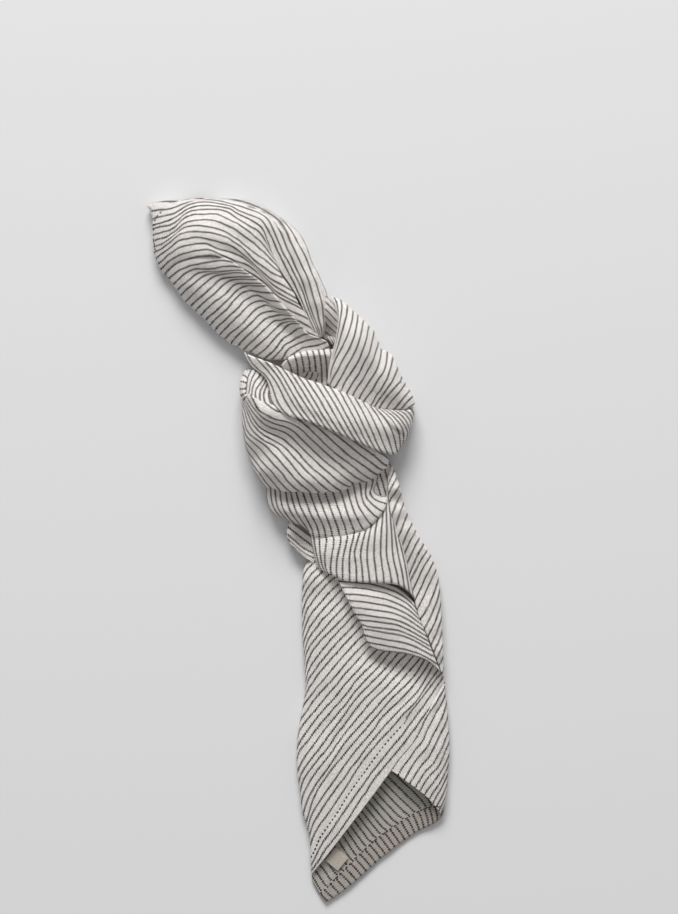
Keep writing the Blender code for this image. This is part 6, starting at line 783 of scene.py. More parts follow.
HEIGHTS["cuff"] = (
    (45.5, -109, 8.2), (56.5, -96, 8.5), (65.5, -84, 8), (73.4, -73.4, 5.5), (49, -111.6, 8.2),
    (56.4, -116.8, 8.4), (63.3, -122, 8), (68.8, -127.8, 6.5), (71, -131, 5), (60, -105, 8.6),
    (66, -109, 8.6), (70, -98, 8), (72.5, -112, 6), (75, -97, 5), (74.4, -110, 4.5), (73.8, -114.8, 4.5),
    (68, -118, 8),
)
HEIGHTS["base"] = (
    (49, -108.4, 2), (30, -130, 2), (10, -156, 2), (13.3, -176.4, 2.2), (29.7, -164.2, 2),
    (44.2, -151.4, 2), (58.8, -141, 2.1), (67.7, -136.2, 2.8), (71.6, -131.8, 4), (69.4, -127.4, 4),
    (63.4, -128.6, 2.5), (50, -122, 2), (72, -122, 4.4), (60, -108, 2.2),
)
HEIGHTS["hollow"] = (
    (-9.6, 93.2, 9), (0, 99.8, 10), (9, 101, 10), (17.5, 101.5, 9), (-6, 95.4, 11.5), (0.8, 98.2, 12.5),
    (9.8, 99, 12.5), (15.6, 98, 11), (-5, 92, 8), (1.5, 94.4, 8), (10.6, 95, 8), (15.8, 94, 8),
    (-4, 89, 5.5), (5, 91, 5.5), (11, 90, 5.5), (5, 85.4, 5), (16, 82.6, 5), (17.9, 91, 6),
)
HEIGHTS["pocket"] = (
    (-4.5, 15.4, 7), (-6.9, 9.2, 6), (-6.2, 6.2, 6), (-0.8, -0.4, 6), (2.6, -3, 6.5), (-3, 14, 8),
    (-5.6, 8.2, 7.5), (-3, 2.2, 7.5), (0, -0.8, 7.5), (3.4, -3.4, 8), (-1.2, 8, 3.5), (-1, 2.6, 3.8),
    (3, -1, 4), (6, -5, 6), (2, 8, 3.5), (6, 7.4, 5), (7, 0, 5), (9.4, -8.4, 7),
)
HEIGHTS["shoulder"] = (
    (-27.8, 77, 12), (-27.2, 84, 13), (-26.2, 90, 12), (-22, 90, 14.5), (-24.6, 84, 17), (-25.6, 78, 18.5),
    (-20.4, 84.5, 17.5), (-18, 85.6, 16.5), (-22, 79, 21.4), (-24, 76.4, 21), (-20.4, 75.6, 23.4),
    (-16.8, 82, 18), (-18, 77, 22), (-15.4, 79, 20), (-14.2, 75, 22.4), (-15.4, 71.6, 24.4),
    (-12, 71, 24.6), (-9, 69, 24.4), (-18.4, 71.4, 23.6), (-22.8, 72.6, 20.6),
)
HEIGHTS["roll"] = (
    (-30.2, 81.4, 12), (-29, 87, 11.6), (-26.8, 91.4, 11.6), (-28.6, 76, 12.4), (-28.4, 84.8, 15.6),
    (-28.6, 80.6, 16.4), (-27.4, 77.4, 17.4), (-26.2, 84.2, 14), (-26.4, 80.6, 14.6), (-26, 87, 13.4),
    (-24.8, 89.6, 12.8),
)
HEIGHTS["gusset"] = (
    (11, 128.6, 8), (9.6, 121, 7), (9.4, 116, 6), (16, 124, 12.4), (16, 119, 12.6), (15.6, 114.6, 9.6),
    (19.4, 120.6, 16), (19.6, 113.6, 15.6), (19.6, 108.6, 12), (13, 120, 10.4), (13.4, 115, 7.4),
    (13.4, 110.4, 3.4), (10, 110, 4), (16.4, 108, 4), (12.4, 106.6, 4), (16, 104.8, 5), (19, 104, 8),
)
HEIGHTS["lip"] = (
    (13.6, 107.4, 6.4), (15, 106, 9.8), (16, 103.8, 8.6), (16.6, 107.4, 9.4), (17.4, 105.4, 11.4),
    (18.4, 103.8, 10.6), (19.6, 104, 12),
)
HEIGHTS["vane"] = (
    (-74, 174, 7), (-73.6, 166, 8), (-62, 174, 9.6), (-50, 176.6, 8), (-35, 176.5, 8), (-20, 173, 8),
    (-9, 167, 8), (0, 159, 8), (8, 143, 8), (13.5, 130, 8), (14, 118, 8), (13, 107, 7.4), (-8, 158, 13.8),
    (-3, 148, 15), (3, 136, 15), (8, 124, 13.5), (10, 113, 11), (-14, 164.5, 12.6), (-12, 157, 13),
    (-8.5, 149, 13.6), (-4, 140, 13.8), (1, 130.6, 13.2), (5, 120.6, 12.2), (-66, 165.4, 11.4),
    (-57, 170.6, 11.5), (-50, 173, 11), (-41.7, 172.6, 11.6), (-35, 171.5, 12.4), (-28.6, 167.5, 13.4),
    (-22, 164.2, 13.8), (-18, 160.6, 13.2), (-16, 154, 12.7), (-14, 149, 12.3), (-9.6, 140, 12.3),
    (-4.6, 132.4, 12.1), (0, 125, 11.8), (4, 117, 11), (7, 109.6, 10.2),
)
HEIGHTS["flank"] = (
    (-67, 138.6, 6), (-66, 137, 6), (-57, 125.5, 6), (-46, 113.5, 6), (-36, 105, 6), (-26, 100, 7),
    (-12, 94.6, 8), (-3, 94, 8.5), (8, 97, 9), (15, 101, 8), (-61, 144.4, 12.6), (-54, 146.3, 15.6),
    (-48, 147.3, 16.9), (-42, 147.5, 17.6), (-38, 146.6, 18), (-31, 142, 18.6), (-25, 138, 18.6),
    (-19, 133.4, 18.4), (-13, 127.4, 17.8), (-7, 120, 17), (-1, 113.2, 15.6), (4, 108.4, 13.6),
    (-60, 137.6, 11.4), (-54, 138.6, 13.4), (-48, 138.4, 14.4), (-40, 136, 14.2), (-33, 133, 14),
    (-26, 129.6, 13.8), (-18, 123.6, 13.4), (-11, 117, 12.8), (-5, 111.4, 12), (1, 106.6, 11),
    (10, 104.6, 10.6), (-50, 143, 16.2), (-44, 142, 16.9), (-37, 140.6, 17.2), (-30, 137.4, 17.2),
    (-22, 132.4, 17), (-15, 126.4, 16.6), (-9, 119.6, 15.8), (-4, 114, 14.6), (1, 109.6, 13.2),
    (-54, 131.6, 12.6), (-50, 131, 13.2), (-42, 125, 13.6), (-34, 118, 13.4), (-26, 111, 13),
    (-18, 105.5, 12.4), (-9, 100, 11.4), (-50, 125, 10.4), (-40, 116.4, 10.6), (-30, 108.4, 10.6),
    (-20, 101.6, 10.4),
)
HEIGHTS["nook"] = (
    (35.6, 43.6, 8), (37.4, 38, 8.4), (40.6, 27.6, 8.4), (39.4, 42, 9.4), (40.6, 35, 8.8),
    (43.2, 27.6, 8.4), (42.4, 43, 8.4), (43.6, 36, 7.4), (45.8, 27.4, 7.8), (45.4, 43, 8.4),
    (46.8, 34, 8.6), (48.6, 26.4, 8),
)

# Soft creases of each panel: depth (below zero is a trough), width and path.
CREASES = {}
CREASES["hollow"] = (
    (3, 2.4, ((-7, 94.6), (0, 97.4), (9, 98.2), (16, 97.6))),
    (-4, 4, ((-4, 89), (4, 89.6), (14, 88.6))),
)
CREASES["tail"] = (
    (-0.7, 1.6, ((16, -98), (21, -90), (25, -84), (31, -77))),
    (-0.5, 1.4, ((50, -90), (56, -84), (61, -78), (66, -70))),
    (0.5, 1.6, ((46, -86), (53, -79), (59, -71))),
    (-0.5, 1.3, ((44, -80), (52, -75), (60, -66))),
    (-0.4, 1.5, ((6, -96), (12, -88), (20, -80))),
    (0.45, 1.8, ((10, -110), (18, -101), (26, -92))),
    (-0.35, 1.4, ((22, -60), (30, -52), (38, -44))),
    (0.35, 1.6, ((8, -70), (14, -62), (20, -56))),
    (-0.4, 1.4, ((36, -72), (42, -70), (50, -66))),
    (0.4, 2, ((30, -114), (36, -105), (42, -97))),
    (-2.2, 6, ((69, -52), (71, -62), (72.4, -72), (71.6, -84))),
    (-2, 5.5, ((32, -49), (46, -56), (58, -63), (68, -72))),
    (-0.35, 0.8, ((7, -150), (16, -134.3), (27.7, -116.3), (37.5, -102.6), (50, -87.7))),
)
CREASES["cuff"] = (
    (-1, 1.3, ((66, -84), (68, -80.6), (70, -77.5), (71.7, -75.4))),
    (0.4, 1.4, ((58, -104), (63, -97), (67, -88))),
    (-0.4, 1.2, ((62, -108), (67, -100), (71, -91))),
    (-0.4, 1, ((66, -118), (70, -113), (73, -108))),
)
CREASES["leaf"] = (
    (-0.8, 1.8, ((-46, 152.5), (-38, 150.6), (-30, 147), (-24, 143.4))),
    (0.6, 2, ((-50, 158.5), (-40, 156.5), (-30, 151.5), (-22, 145.6))),
    (-0.5, 1.6, ((-44, 163), (-34, 159.6), (-26, 153))),
    (0.4, 1.6, ((-40, 167), (-30, 162), (-22, 156))),
    (-0.5, 1.4, ((-66, 158), (-61, 159.6), (-56, 163))),
    (0.4, 1.4, ((-66, 155), (-60, 157.4), (-54, 160))),
    (1.2, 6, ((-56, 148), (-44, 147.5), (-34, 146), (-26, 143))),
)
CREASES["vane"] = (
    (-0.8, 1.3, ((-10.4, 160), (-8.4, 154), (-5.6, 148), (-2, 140.6), (1, 133), (4, 124))),
    (0.7, 1.5, ((-7, 162), (-3.4, 154.6), (1, 146), (4.4, 137), (6.8, 128))),
    (-0.5, 1.2, ((1.4, 150), (5, 142), (8.4, 132), (10.4, 124))),
)
CREASES["flank"] = (
    (-0.9, 1.6, ((-47, 139.8), (-41, 138.2), (-36, 136), (-30, 133.4), (-24, 131), (-18, 126),
        (-12, 121.2))),
    (0.5, 1.6, ((-42, 129), (-36, 126), (-30, 122), (-24, 117))),
    (-0.5, 1.5, ((-35, 133), (-31, 129), (-26, 125.6), (-20, 122))),
    (-0.7, 1.2, ((-14, 116), (-10, 113), (-6, 109.6), (-2, 106.6))),
    (0.5, 1.4, ((-16, 112), (-12, 109.4), (-8, 105))),
)
CREASES["wrap"] = (
    (-0.9, 1, ((36, 70), (40.5, 66.8), (44.5, 62.6), (49, 59.4), (52, 57.6))),
    (0.9, 0.9, ((38.1, 71.4), (41.9, 68.9), (45, 65.1), (47.5, 62), (50.6, 60.1), (53.1, 58.9))),
    (0.4, 1.6, ((-6, 78), (4, 72), (16, 66), (28, 60))),
    (-0.4, 1.4, ((-8, 73), (2, 69), (12, 65))),
    (-1.8, 6, ((22, 58), (34, 57), (44, 55), (51, 53))),
)
CREASES["front"] = (
    (-0.6, 1.6, ((-24, 68), (-18, 62), (-10, 57), (-4, 50))),
    (0.5, 1.8, ((-20, 58), (-13, 50), (-7, 43))),
    (-0.5, 1.6, ((2, 56), (10, 48), (18, 41))),
    (0.4, 1.6, ((-10, 60), (0, 52), (8, 44))),
    (-1.6, 4.6, ((-22, 64), (-12, 58.5), (-2, 55), (8, 50), (20, 44))),
)
CREASES["under"] = (
    (0.7, 2, ((-8, 18.6), (4, 17.4), (18, 17.4), (30, 18), (38, 19))),
    (-0.6, 1.6, ((-10, 27.6), (4, 28.6), (18, 28.6), (30, 29.6))),
)
CREASES["tuck"] = (
    (-0.4, 1.2, ((22, -20), (34, -24), (46, -28), (56, -34))),
    (0.4, 1.4, ((24, -27), (36, -31), (50, -36))),
)
CREASES["middle"] = (
    (0.4, 1.4, ((10, 0), (24, -3), (40, -2))),
    (-0.4, 1.2, ((14, 5), (28, 4), (42, 8))),
    (1.8, 5, ((10, 7), (26, 6), (42, 9))),
)
CREASES["side"] = (
    (-0.5, 1.4, ((52, 20), (57, 6), (62, -8), (66, -24))),
    (-2.2, 5.5, ((60, 18), (65, 4), (69, -10), (72, -24))),
    (-2.4, 5, ((48, 30), (51, 18), (56, 4), (61, -10), (64, -24), (67, -38))),
)
CREASES["over"] = (
    (-0.4, 1.2, ((24, 108), (28, 99), (34, 90), (41, 82))),
    (0.4, 1.3, ((29, 112), (33, 102), (40, 92))),
)

# The level of each panel's underside, and the radius of its four turned edges:
# first row, last row, left column, right column.
PANELS = {
    "leaf": (0.9, (0.0, 0.4, 2.0, 0.5)),
    "flank": (0.45, (0.0, 1.5, 2.2, 1.4)),
    "vane": (0.6, (0.4, 2.4, 2.2, 0.6)),
    "over": (0.75, (1.5, 0.6, 2.0, 0.6)),
    "wrap": (0.9, (1.5, 1.5, 2.2, 1.8)),
    "front": (0.3, (0.6, 1.2, 2.0, 1.2)),
    "shoulder": (0.55, (1.0, 0.6, 1.0, 0.6)),
    "roll": (0.75, (1.0, 1.0, 2.2, 0.8)),
    "gusset": (0.9, (0.8, 0.8, 0.6, 0.6)),
    "lip": (1.1, (0.8, 0.8, 0.8, 0.8)),
    "nook": (1.2, (0.6, 0.6, 0.6, 0.6)),
    "hollow": (1.6, (0.6, 0.6, 1.6, 0.6)),
    "under": (0.6, (1.2, 1.2, 1.2, 1.4)),
    "pocket": (1.9, (0.8, 0.8, 1.4, 0.6)),
    "middle": (1.1, (1.0, 1.2, 1.4, 1.4)),
    "side": (0.4, (0.8, 0.8, 0.6, 1.8)),
    "tuck": (1.3, (0.8, 1.4, 1.2, 1.6)),
    "tail": (0.35, (0.8, 0.0, 2.2, 1.6)),
    "cuff": (0.35, (0.0, 1.6, 0.0, 2.2)),
}

# The seed of everything random.
SEED = 7

# Millimetres between the mesh's points, and the fewest points that a row is spread over.
SPACING = 1.3
ROW_POINTS = 16
# Extra points at these distances from an edge, and the least distance for all the others.
EDGE_STEPS = (0.12, 0.45, 0.95, 1.6)
EDGE_ROOM = 1.8
# How far down each ring of an edge that turns over lies, as a share of the way.
RING_STEPS = (0.1, 0.28, 0.5, 0.7, 0.86, 0.96, 1.0)
# The underside is drawn in by this much, or by this share of a small panel.
TURN_MOST = 3.5
TURN_SHARE = 0.3
# Rounding brings no edge lower than this, and no underside comes nearer the table than this.
EDGE_LEAST = 0.8
UNDER_LEAST = 0.05
# The CAD solids are cut this far up, so every height comes down by as much.
FLAT_CUT = 0.3
ALL_SIDES = ("first", "right", "last", "left")
# The sides in the order of a panel's edge radii.
RADIUS_SIDES = ("first", "last", "left", "right")

# Soft unevenness of the face and of the underside: the height and width of its lumps.
RUMPLES = ((0.26, 9.0), (0.11, 3.6))
UNDER_RUMPLE = (0.25, 8.0)
# The lumps repeat after so many, and they are counted from an offset that keeps them above zero.
LUMPS = 97
LUMPS_START = 200
# The share of a crease at either end that keeps one faint depth.
CREASE_ENDS = 0.03

# The cloth's thickness, the hem's, the hem's width and the edge of the mouth that it lines.
CLOTH_THICK = 0.55
HEM_THICK = 1.1
HEM_WIDE = 7.0
HEM_EDGE = (
    (5.8, -161.5), (15, -149.8), (22.5, -139.8), (34, -124.6), (45.5, -109), (56.4, -116.8),
    (63.3, -122), (68.8, -127.8), (71, -131),
)
# Points between the face and the wrong side of that hem: share of the way, and how far out.
HEM_RIM = ((0.15, 0.2), (0.5, 0.34), (0.85, 0.2))
# The stripe that the mouth starts at, and the x just past where its free edge meets the cuff.
MOUTH_STRIPE = 22.0
APEX = 45.8
# The floor of the mouth, the least room over it, and how far its walls stand in from the
# napkin's side.
FLOOR = 1.3
MOUTH_ROOM = 0.3
WALL_INSET = 0.9
# The step of the stripes from ring to ring of the hem's rim.
RIM_STEP = 0.04
# The strip of the cuff that runs on under the tail: how far it reaches, how far down it goes
# and how much cloth that takes.
LIP_LONG = 2.2
LIP_DOWN = 1.3
LIP_CLOTH = 2.4
# The layers wound up inside a panel: their heights as shares of the room there, and how much
# of that room is left free at the bottom and in all.
LAYER_SHARES = (0.06, 0.25, 0.44, 0.63, 0.82)
LAYER_BOTTOM = 0.5
LAYER_FREE = 1.6
# Their spacing of points, how far in their edges lie (in mm, and as the most of a panel's
# side), and the stripes that they are shifted by.
LAYER_SPACING = 3.4
LAYER_INSET = 4.2
LAYER_INSET_SHARE = 0.35
LAYER_SHIFT = 11

# Millimetres from one stripe to the next, and its limits where folds stretch or pack them.
PITCH = 3.4
GAP_LEAST = 0.3
GAP_MOST = 4.2
# How fast an edge comes to count as one that runs along the stripes, as it turns that way.
FOLLOW = 1.5
# Half a stripe's width, and the length that one over and under is drawn at: of the stripes'
# dark yarn, and of the whole weave.
STRIPE_HALF = 0.42
YARN_SHOWN = 1.15
WEAVE_SHOWN = 0.9
# How much painted shade darkens the weave inside the open end, where the flap overhead shades it, and on
# the hem there.
INSIDE = 0.6
ON_HEM = 0.68

# The least height of the open end's lower layer, and how far its underside is drawn in.
LOWER_LEAST = 0.7
LOWER_INSET = 0.6
# Where it is higher than this its underside lifts with it, this far below.
LIFTED = 2.2
LIFTED_THICK = 1.9
# That layer, and the hem that is folded back on to it: first and last column, lift, level of
# the underside, edge radii, shift of the stripes and how much more painted shade it takes.
HEM_COLUMN = 4
LOWER_LAYERS = (
    (0, 6.75, -0.2, 0.2, (0.3, 0.3, 0.0, 0.5), 0.0, 0.0),
    (HEM_COLUMN, 7, 0.1, 0.1, (0.5, 0.5, 0.25, 0.8), 0.5, ON_HEM - INSIDE),
)

# Colours, as sRGB hex.
FLAX_DARK, FLAX_PALE = "#b3ada8", "#f6f2ef"
# Painted shade inside the open end: a greener grey, and a browner one on the hem.
INSIDE_SHADE_COLOUR, HEM_SHADE_COLOUR = "#7d7c6b", "#7d7268"
STRIPE_YARN = "#25211d"
TAPE_PALE, TAPE_DARK = "#c6beb2", "#a2998d"
THREAD_PALE, THREAD_DARK = "#4a443e", "#1c1916"
TABLE = "#e1e1e2"
# The ribs of a close tape or thread, drawn a little coarser than they are. A wave texture has
# a rib each 0.314 units at a scale of one.
RIB = 0.7
WAVE_RIB = 0.314

# The flap's line of stitches runs on this stripe, which is left bare as far as this x.
SEAM_STRIPE = 28.0
SEAM_HALF = 0.4
SEAM_END = 53.0
CORNER_SEAM = (
    (-69.6, 169.6), (-71.3, 167.9), (-72.7, 165.4), (-73.1, 161), (-73.1, 156), (-72.5, 151.5),
)
# The mouth's line of stitches lies this far off the edge of its hem.
SEAM_SHIFT = (0.2, -0.3)
SEAM_POINTS = 70
# A height over everything, from which the seams are dropped on to the cloth.
ABOVE_ALL = 60.0
# Each stitch's step, length, width and height.
STITCH = {"Step": 2.2, "Length": 1.4, "Width": 1.0, "Height": 0.6}

# The label: one corner, its two sides from there, its height, its arch, half its thickness,
# and the number of points to a side.
LABEL_CORNER = np.array([18.9, -160.2])
LABEL_ALONG = np.array([5.4, 6.6])
LABEL_ACROSS = np.array([-6.4, 5.2])
LABEL_HEIGHT = 2.35
LABEL_ARCH = 0.25
LABEL_HALF = 0.25
LABEL_POINTS = 9

# The light, in metres and watts, and the even sky.
WINDOW_SIZE = (1.9, 1.3)
WINDOW_POWER = 134.0
WINDOW_PLACE = (-0.2, 3.0, 1.85)
SKY = 0.38
# Half the table's width and its level, in metres: just under the napkin.
TABLE_HALF = 3.0
TABLE_LEVEL = -0.0002

# The picture: its height in pixels, the millimetres to a pixel, its centre, and the camera's
# height in metres over a plane through the cloth, with that plane's own height.
PICTURE_HIGH = 914
PIXEL = 0.5
PICTURE_CENTRE = (19.5, 47.5)
CAMERA_HEIGHT = 1.3
PICTURE_PLANE = 0.008
SENSOR = 36.0


def weights(params, count):
    """One row of smooth-curve weights over count points for each parameter."""
    table = np.zeros((len(params), count))
    for row, t in enumerate(params):
        i = min(int(t), count - 2)
        f = t - i
        parts = (
            (i - 1, -f + 2 * f**2 - f**3),
            (i, 2 - 5 * f**2 + 3 * f**3),
            (i + 1, f + 4 * f**2 - 3 * f**3),
            (i + 2, -(f**2) + f**3),
        )
        for k, w in parts:
            table[row, min(max(k, 0), count - 1)] += 0.5 * w
    return table


def height_through(table):
    """The height field that passes through each (x, y, z) of the table with the least bend."""
    table = np.array(table, float)
    flat, z = table[:, :2], table[:, 2]

    def bend(gap):
        return gap**2 * np.log(gap + 1e-12)

    count = len(flat)
    plane = np.hstack([np.ones((count, 1)), flat])
    left = np.zeros((count + 3, count + 3))
    left[:count, :count] = bend(np.linalg.norm(flat[:, None] - flat[None], axis=2))
    left[:count, :count] += 2.0 * np.eye(count)
    left[:count, count:] = plane
    left[count:, :count] = plane.T
    solved = np.linalg.solve(left, np.concatenate([z, np.zeros(3)]))

    def height(x, y):
        gap = np.hypot(x[..., None] - flat[:, 0], y[..., None] - flat[:, 1])
        level = solved[count] + solved[count + 1] * x + solved[count + 2] * y
        return bend(gap) @ solved[:count] + level

    return height


def unevenness(x, y, size, seed):
    """Smooth lumps from -1 to 1, about size millimetres across."""
    table = np.random.default_rng(seed).uniform(-1, 1, (LUMPS, LUMPS))
    gx, gy = x / size + LUMPS_START, y / size + LUMPS_START
    i, j = np.floor(gx).astype(int), np.floor(gy).astype(int)
    fx, fy = gx - i, gy - j
    fx, fy = fx * fx * (3 - 2 * fx), fy * fy * (3 - 2 * fy)

    def at(a, b):
        return table[a % LUMPS, b % LUMPS]

    low = at(i, j) * (1 - fx) + at(i + 1, j) * fx
    high = at(i, j + 1) * (1 - fx) + at(i + 1, j + 1) * fx
    return low * (1 - fy) + high * fy


def off_path(x, y, path):
    """Distance to a path of (x, y) points, and how far along it the nearest point is, 0 to 1."""
    path = np.array(path, float)
    ends = np.concatenate([[0], np.cumsum(np.linalg.norm(np.diff(path, axis=0), axis=1))])
    best = np.full(np.shape(x), 1e9)
    along = np.zeros(np.shape(x))
    for k in range(len(path) - 1):
        step = path[k + 1] - path[k]
        length = max(np.dot(step, step), 1e-9)
        t = np.clip(((x - path[k, 0]) * step[0] + (y - path[k, 1]) * step[1]) / length, 0, 1)
        gap = np.hypot(x - path[k, 0] - t * step[0], y - path[k, 1] - t * step[1])
        closer = gap < best
        best = np.where(closer, gap, best)
        along = np.where(closer, ends[k] + t * (ends[k + 1] - ends[k]), along)
    return best, along / ends[-1]


def creased(name, x, y):
    """The height that the panel's creases add."""
    lift = np.zeros(np.shape(x))
    for depth, width, path in CREASES.get(name, ()):
        gap, along = off_path(x, y, path)
        along = np.clip(along, CREASE_ENDS, 1 - CREASE_ENDS)
        fade = np.sqrt(np.clip(np.sin(np.pi * along), 0, 1))
        lift += depth * fade * np.exp(-((gap / width) ** 2))
    return lift


def steps(count, cell, spacing, near=EDGE_STEPS, inset=0.0):
    """Parameters along one side of a net, closer together near both ends."""
    low, high = inset / cell, count - 1 - inset / cell
    even = np.linspace(low, high, max(3, round((high - low) * cell / spacing) + 1))
    room = EDGE_ROOM / cell
    first = [low + d / cell for d in near]
    last = [high - d / cell for d in near]
    inner = [t for t in even[1:-1] if low + room < t < high - room]
    return np.array(sorted([low, high, *first, *last, *inner]))


def evenly(path, count):
    """Points spread evenly along a path of (x, y) points."""
    path = np.array(path, float)
    ends = np.concatenate([[0], np.cumsum(np.linalg.norm(np.diff(path, axis=0), axis=1))])
    places = np.linspace(0, ends[-1], count)
    return np.stack([np.interp(places, ends, path[:, k]) for k in (0, 1)], axis=1)


def net_of(name, rows=None):
    """A net's stripe numbers and its (x, y) points.

    Rows of unlike lengths are spread out evenly first."""
    net = rows or NETS[name]
    stripes = np.array([row[0] for row in net], float)
    paths = [row[1] for row in net]
    if len({len(path) for path in paths}) > 1:
        count = max(ROW_POINTS, *(len(path) for path in paths))
        paths = [evenly(path, count) for path in paths]
    return stripes, np.array(paths, float)


def cells_of(flat):
    """The net's mean step along a column and along a row."""
    down = np.linalg.norm(np.diff(flat, axis=0), axis=2).mean()
    across = np.linalg.norm(np.diff(flat, axis=1), axis=2).mean()
    return down, across


def surface(name, params=None, rows=None, plain=False):
    """The panel's points, its pattern and its parameters.

    The pattern is mm along the stripe, stripe number, mm between stripes, and the share of painted shade."""
    stripes, flat = net_of(name, rows)
    if params is None:
        params = [steps(*side, SPACING) for side in zip(flat.shape, cells_of(flat))]
    first, second = weights(params[0], len(flat)), weights(params[1], flat.shape[1])
    xy = np.einsum("ri,ijk,cj->rck", first, flat, second)
    x, y = xy[..., 0], xy[..., 1]
    z = height_through(HEIGHTS[name])(x, y)
    if not plain:
        z = z + creased(name, x, y)
        for k, (height, width) in enumerate(RUMPLES):
            z = z + height * unevenness(x, y, width, SEED + k)
    z = z - FLAT_CUT
    # Arc lengths along rows give the threads an even run, from the middle column outwards.
    run = np.zeros(xy.shape[:2])
    run[:, 1:] = np.cumsum(np.linalg.norm(np.diff(xy, axis=1), axis=2), axis=1)
    run -= run[:, run.shape[1] // 2][:, None]
    number = np.repeat((first @ stripes)[:, None], xy.shape[1], axis=1)
    points = np.dstack([x, y, z])
    # The open end's lower layer gets painted shade, for the flap's shadow over it.
    painted_shade = np.full(number.shape, INSIDE if name == "base" else 0.0)
    gap = stripe_gap(points, number)
    if name == "tail":
        # No stripe shows where the flap is stitched.
        stitched = (np.abs(number - SEAM_STRIPE) < SEAM_HALF) & (x < SEAM_END)
        gap = np.where(stitched, GAP_LEAST, gap)
    return points, np.dstack([run, number, gap, painted_shade]), params


def stripe_gap(points, number):
    """Millimetres of cloth between one stripe and the next, at each point."""
    down = np.gradient(points, axis=0)
    along = np.gradient(points, axis=1)
    along /= np.linalg.norm(along, axis=2, keepdims=True) + 1e-9
    down -= (down * along).sum(axis=2, keepdims=True) * along
    step = np.abs(np.gradient(number, axis=0)) + 1e-9
    return np.clip(np.linalg.norm(down, axis=2) / step, GAP_LEAST, GAP_MOST)


def rounded(points, radii):
    """Brings the panel's edges down in a quarter turn of the given radii."""
    down = np.zeros(points.shape[:2])
    flat = points[..., :2]
    rows = np.zeros(points.shape[:2])
    rows[1:] = np.cumsum(np.linalg.norm(np.diff(flat, axis=0), axis=2), axis=0)
    columns = np.zeros(points.shape[:2])
    columns[:, 1:] = np.cumsum(np.linalg.norm(np.diff(flat, axis=1), axis=2), axis=1)
    gaps = (rows, rows[-1:] - rows, columns, columns[:, -1:] - columns)
    for radius, gap in zip(radii, gaps):
        if radius:
            inner = np.clip(radius - gap, 0, radius)
            down += radius - np.sqrt(radius**2 - inner**2)
    points = points.copy()
    least = np.minimum(points[..., 2], EDGE_LEAST)
    points[..., 2] = np.maximum(points[..., 2] - down, least)
    return points


class Cloth:
    """Points, faces and face-corner pattern coordinates gathered for one mesh."""

    def __init__(self):
        self.points, self.faces, self.pattern = [], [], []
        self.count = 0

    def add_points(self, points):
        """Adds a row or a grid of points, and gives their numbers in the same shape."""
        points = np.asarray(points, float)
        ids = np.arange(self.count, self.count + points.size // 3)
        self.points.append(points.reshape(-1, 3).copy())
        self.count += len(ids)
        return ids.reshape(points.shape[:-1])

    def quads(self, ids, pattern, flip):
        """Faces over a grid of point numbers, with the pattern at each of its points."""

        def corners(grid):
            a, b, c, d = grid[:-1, :-1], grid[:-1, 1:], grid[1:, 1:], grid[1:, :-1]
            return (a, d, c, b) if flip else (a, b, c, d)

        self.faces.append(np.stack([part.reshape(-1) for part in corners(ids)], axis=1))
        self.pattern.append(np.stack([part.reshape(-1, 4) for part in corners(pattern)], axis=1))

    def sheet(self, points, pattern, flip):
        """Adds a grid of points with faces over it, and gives their numbers."""
        ids = self.add_points(points)
        self.quads(ids, pattern, flip)
        return ids

    def mesh(self, name):
        """The gathered cloth as a mesh, in its place in the frame."""
        points = placed(np.concatenate(self.points)) * MM
        faces = np.concatenate(self.faces)
        pattern = np.concatenate(self.pattern).reshape(-1, 4)
        mesh = bpy.data.meshes.new(name)
        mesh.vertices.add(len(points))
        mesh.vertices.foreach_set("co", points.reshape(-1))
        mesh.loops.add(faces.size)
        mesh.loops.foreach_set("vertex_index", faces.reshape(-1).astype(np.int32))
        mesh.polygons.add(len(faces))
        mesh.polygons.foreach_set("loop_start", np.arange(0, faces.size, 4, dtype=np.int32))
        mesh.update(calc_edges=True)
        # The second map holds the mm between stripes and the share of painted shade.
        for layer_name, columns in (("weave", (0, 1)), ("gap", (2, 3))):
            layer = mesh.uv_layers.new(name=layer_name)
            layer.data.foreach_set("uv", pattern[:, columns].reshape(-1).astype(np.float32))
        mesh.validate()
        mesh.shade_smooth()
        return mesh


def turned_over(points):
    """True if a grid's faces, taken in order, would point down."""
    across = points[:, 1:] - points[:, :-1]
    down = points[1:] - points[:-1]
    area = across[:-1, :, 0] * down[:, :-1, 1] - across[:-1, :, 1] * down[:, :-1, 0]
    return area.sum() < 0


def unit(vectors):
    """The vectors, each at a length of one."""
    return vectors / (np.linalg.norm(vectors, axis=-1, keepdims=True) + 1e-9)


def outward_pattern(points, pattern, path):
    """How the pattern changes with each millimetre straight out over the border."""
    flat = points[..., :2]
    along = unit(np.gradient(flat, axis=1))
    across = np.gradient(flat, axis=0)
    across = unit(across - (across * along).sum(axis=2, keepdims=True) * along)
    across = across * np.sign(np.gradient(pattern[..., 1], axis=0))[..., None]
    i, j = np.array(path).T
    rows, columns = flat.shape[:2]
    inner = flat[np.clip(i, 1, rows - 2), np.clip(j, 1, columns - 2)]
    edge = flat[i, j]
    border = unit(np.gradient(edge, axis=0))
    out = edge - inner
    out = unit(out - (out * border).sum(axis=1, keepdims=True) * border)
    run = (out * along[i, j]).sum(axis=1)
    stripes = (out * across[i, j]).sum(axis=1) / PITCH
    return np.stack([run, stripes, 0 * run, 0 * run], axis=1)


def border_path(count, sides):
    """The border points of consecutive sides, each given by name, corners included."""
    rows, columns = count
    whole = {
        "first": [(0, j) for j in range(columns)],
        "right": [(i, columns - 1) for i in range(rows)],
        "last": [(rows - 1, j) for j in range(columns - 1, -1, -1)],
        "left": [(i, 0) for i in range(rows - 1, -1, -1)],
    }
    path = []
    for side in sides:
        path += whole[side] if not path else whole[side][1:]
    return path


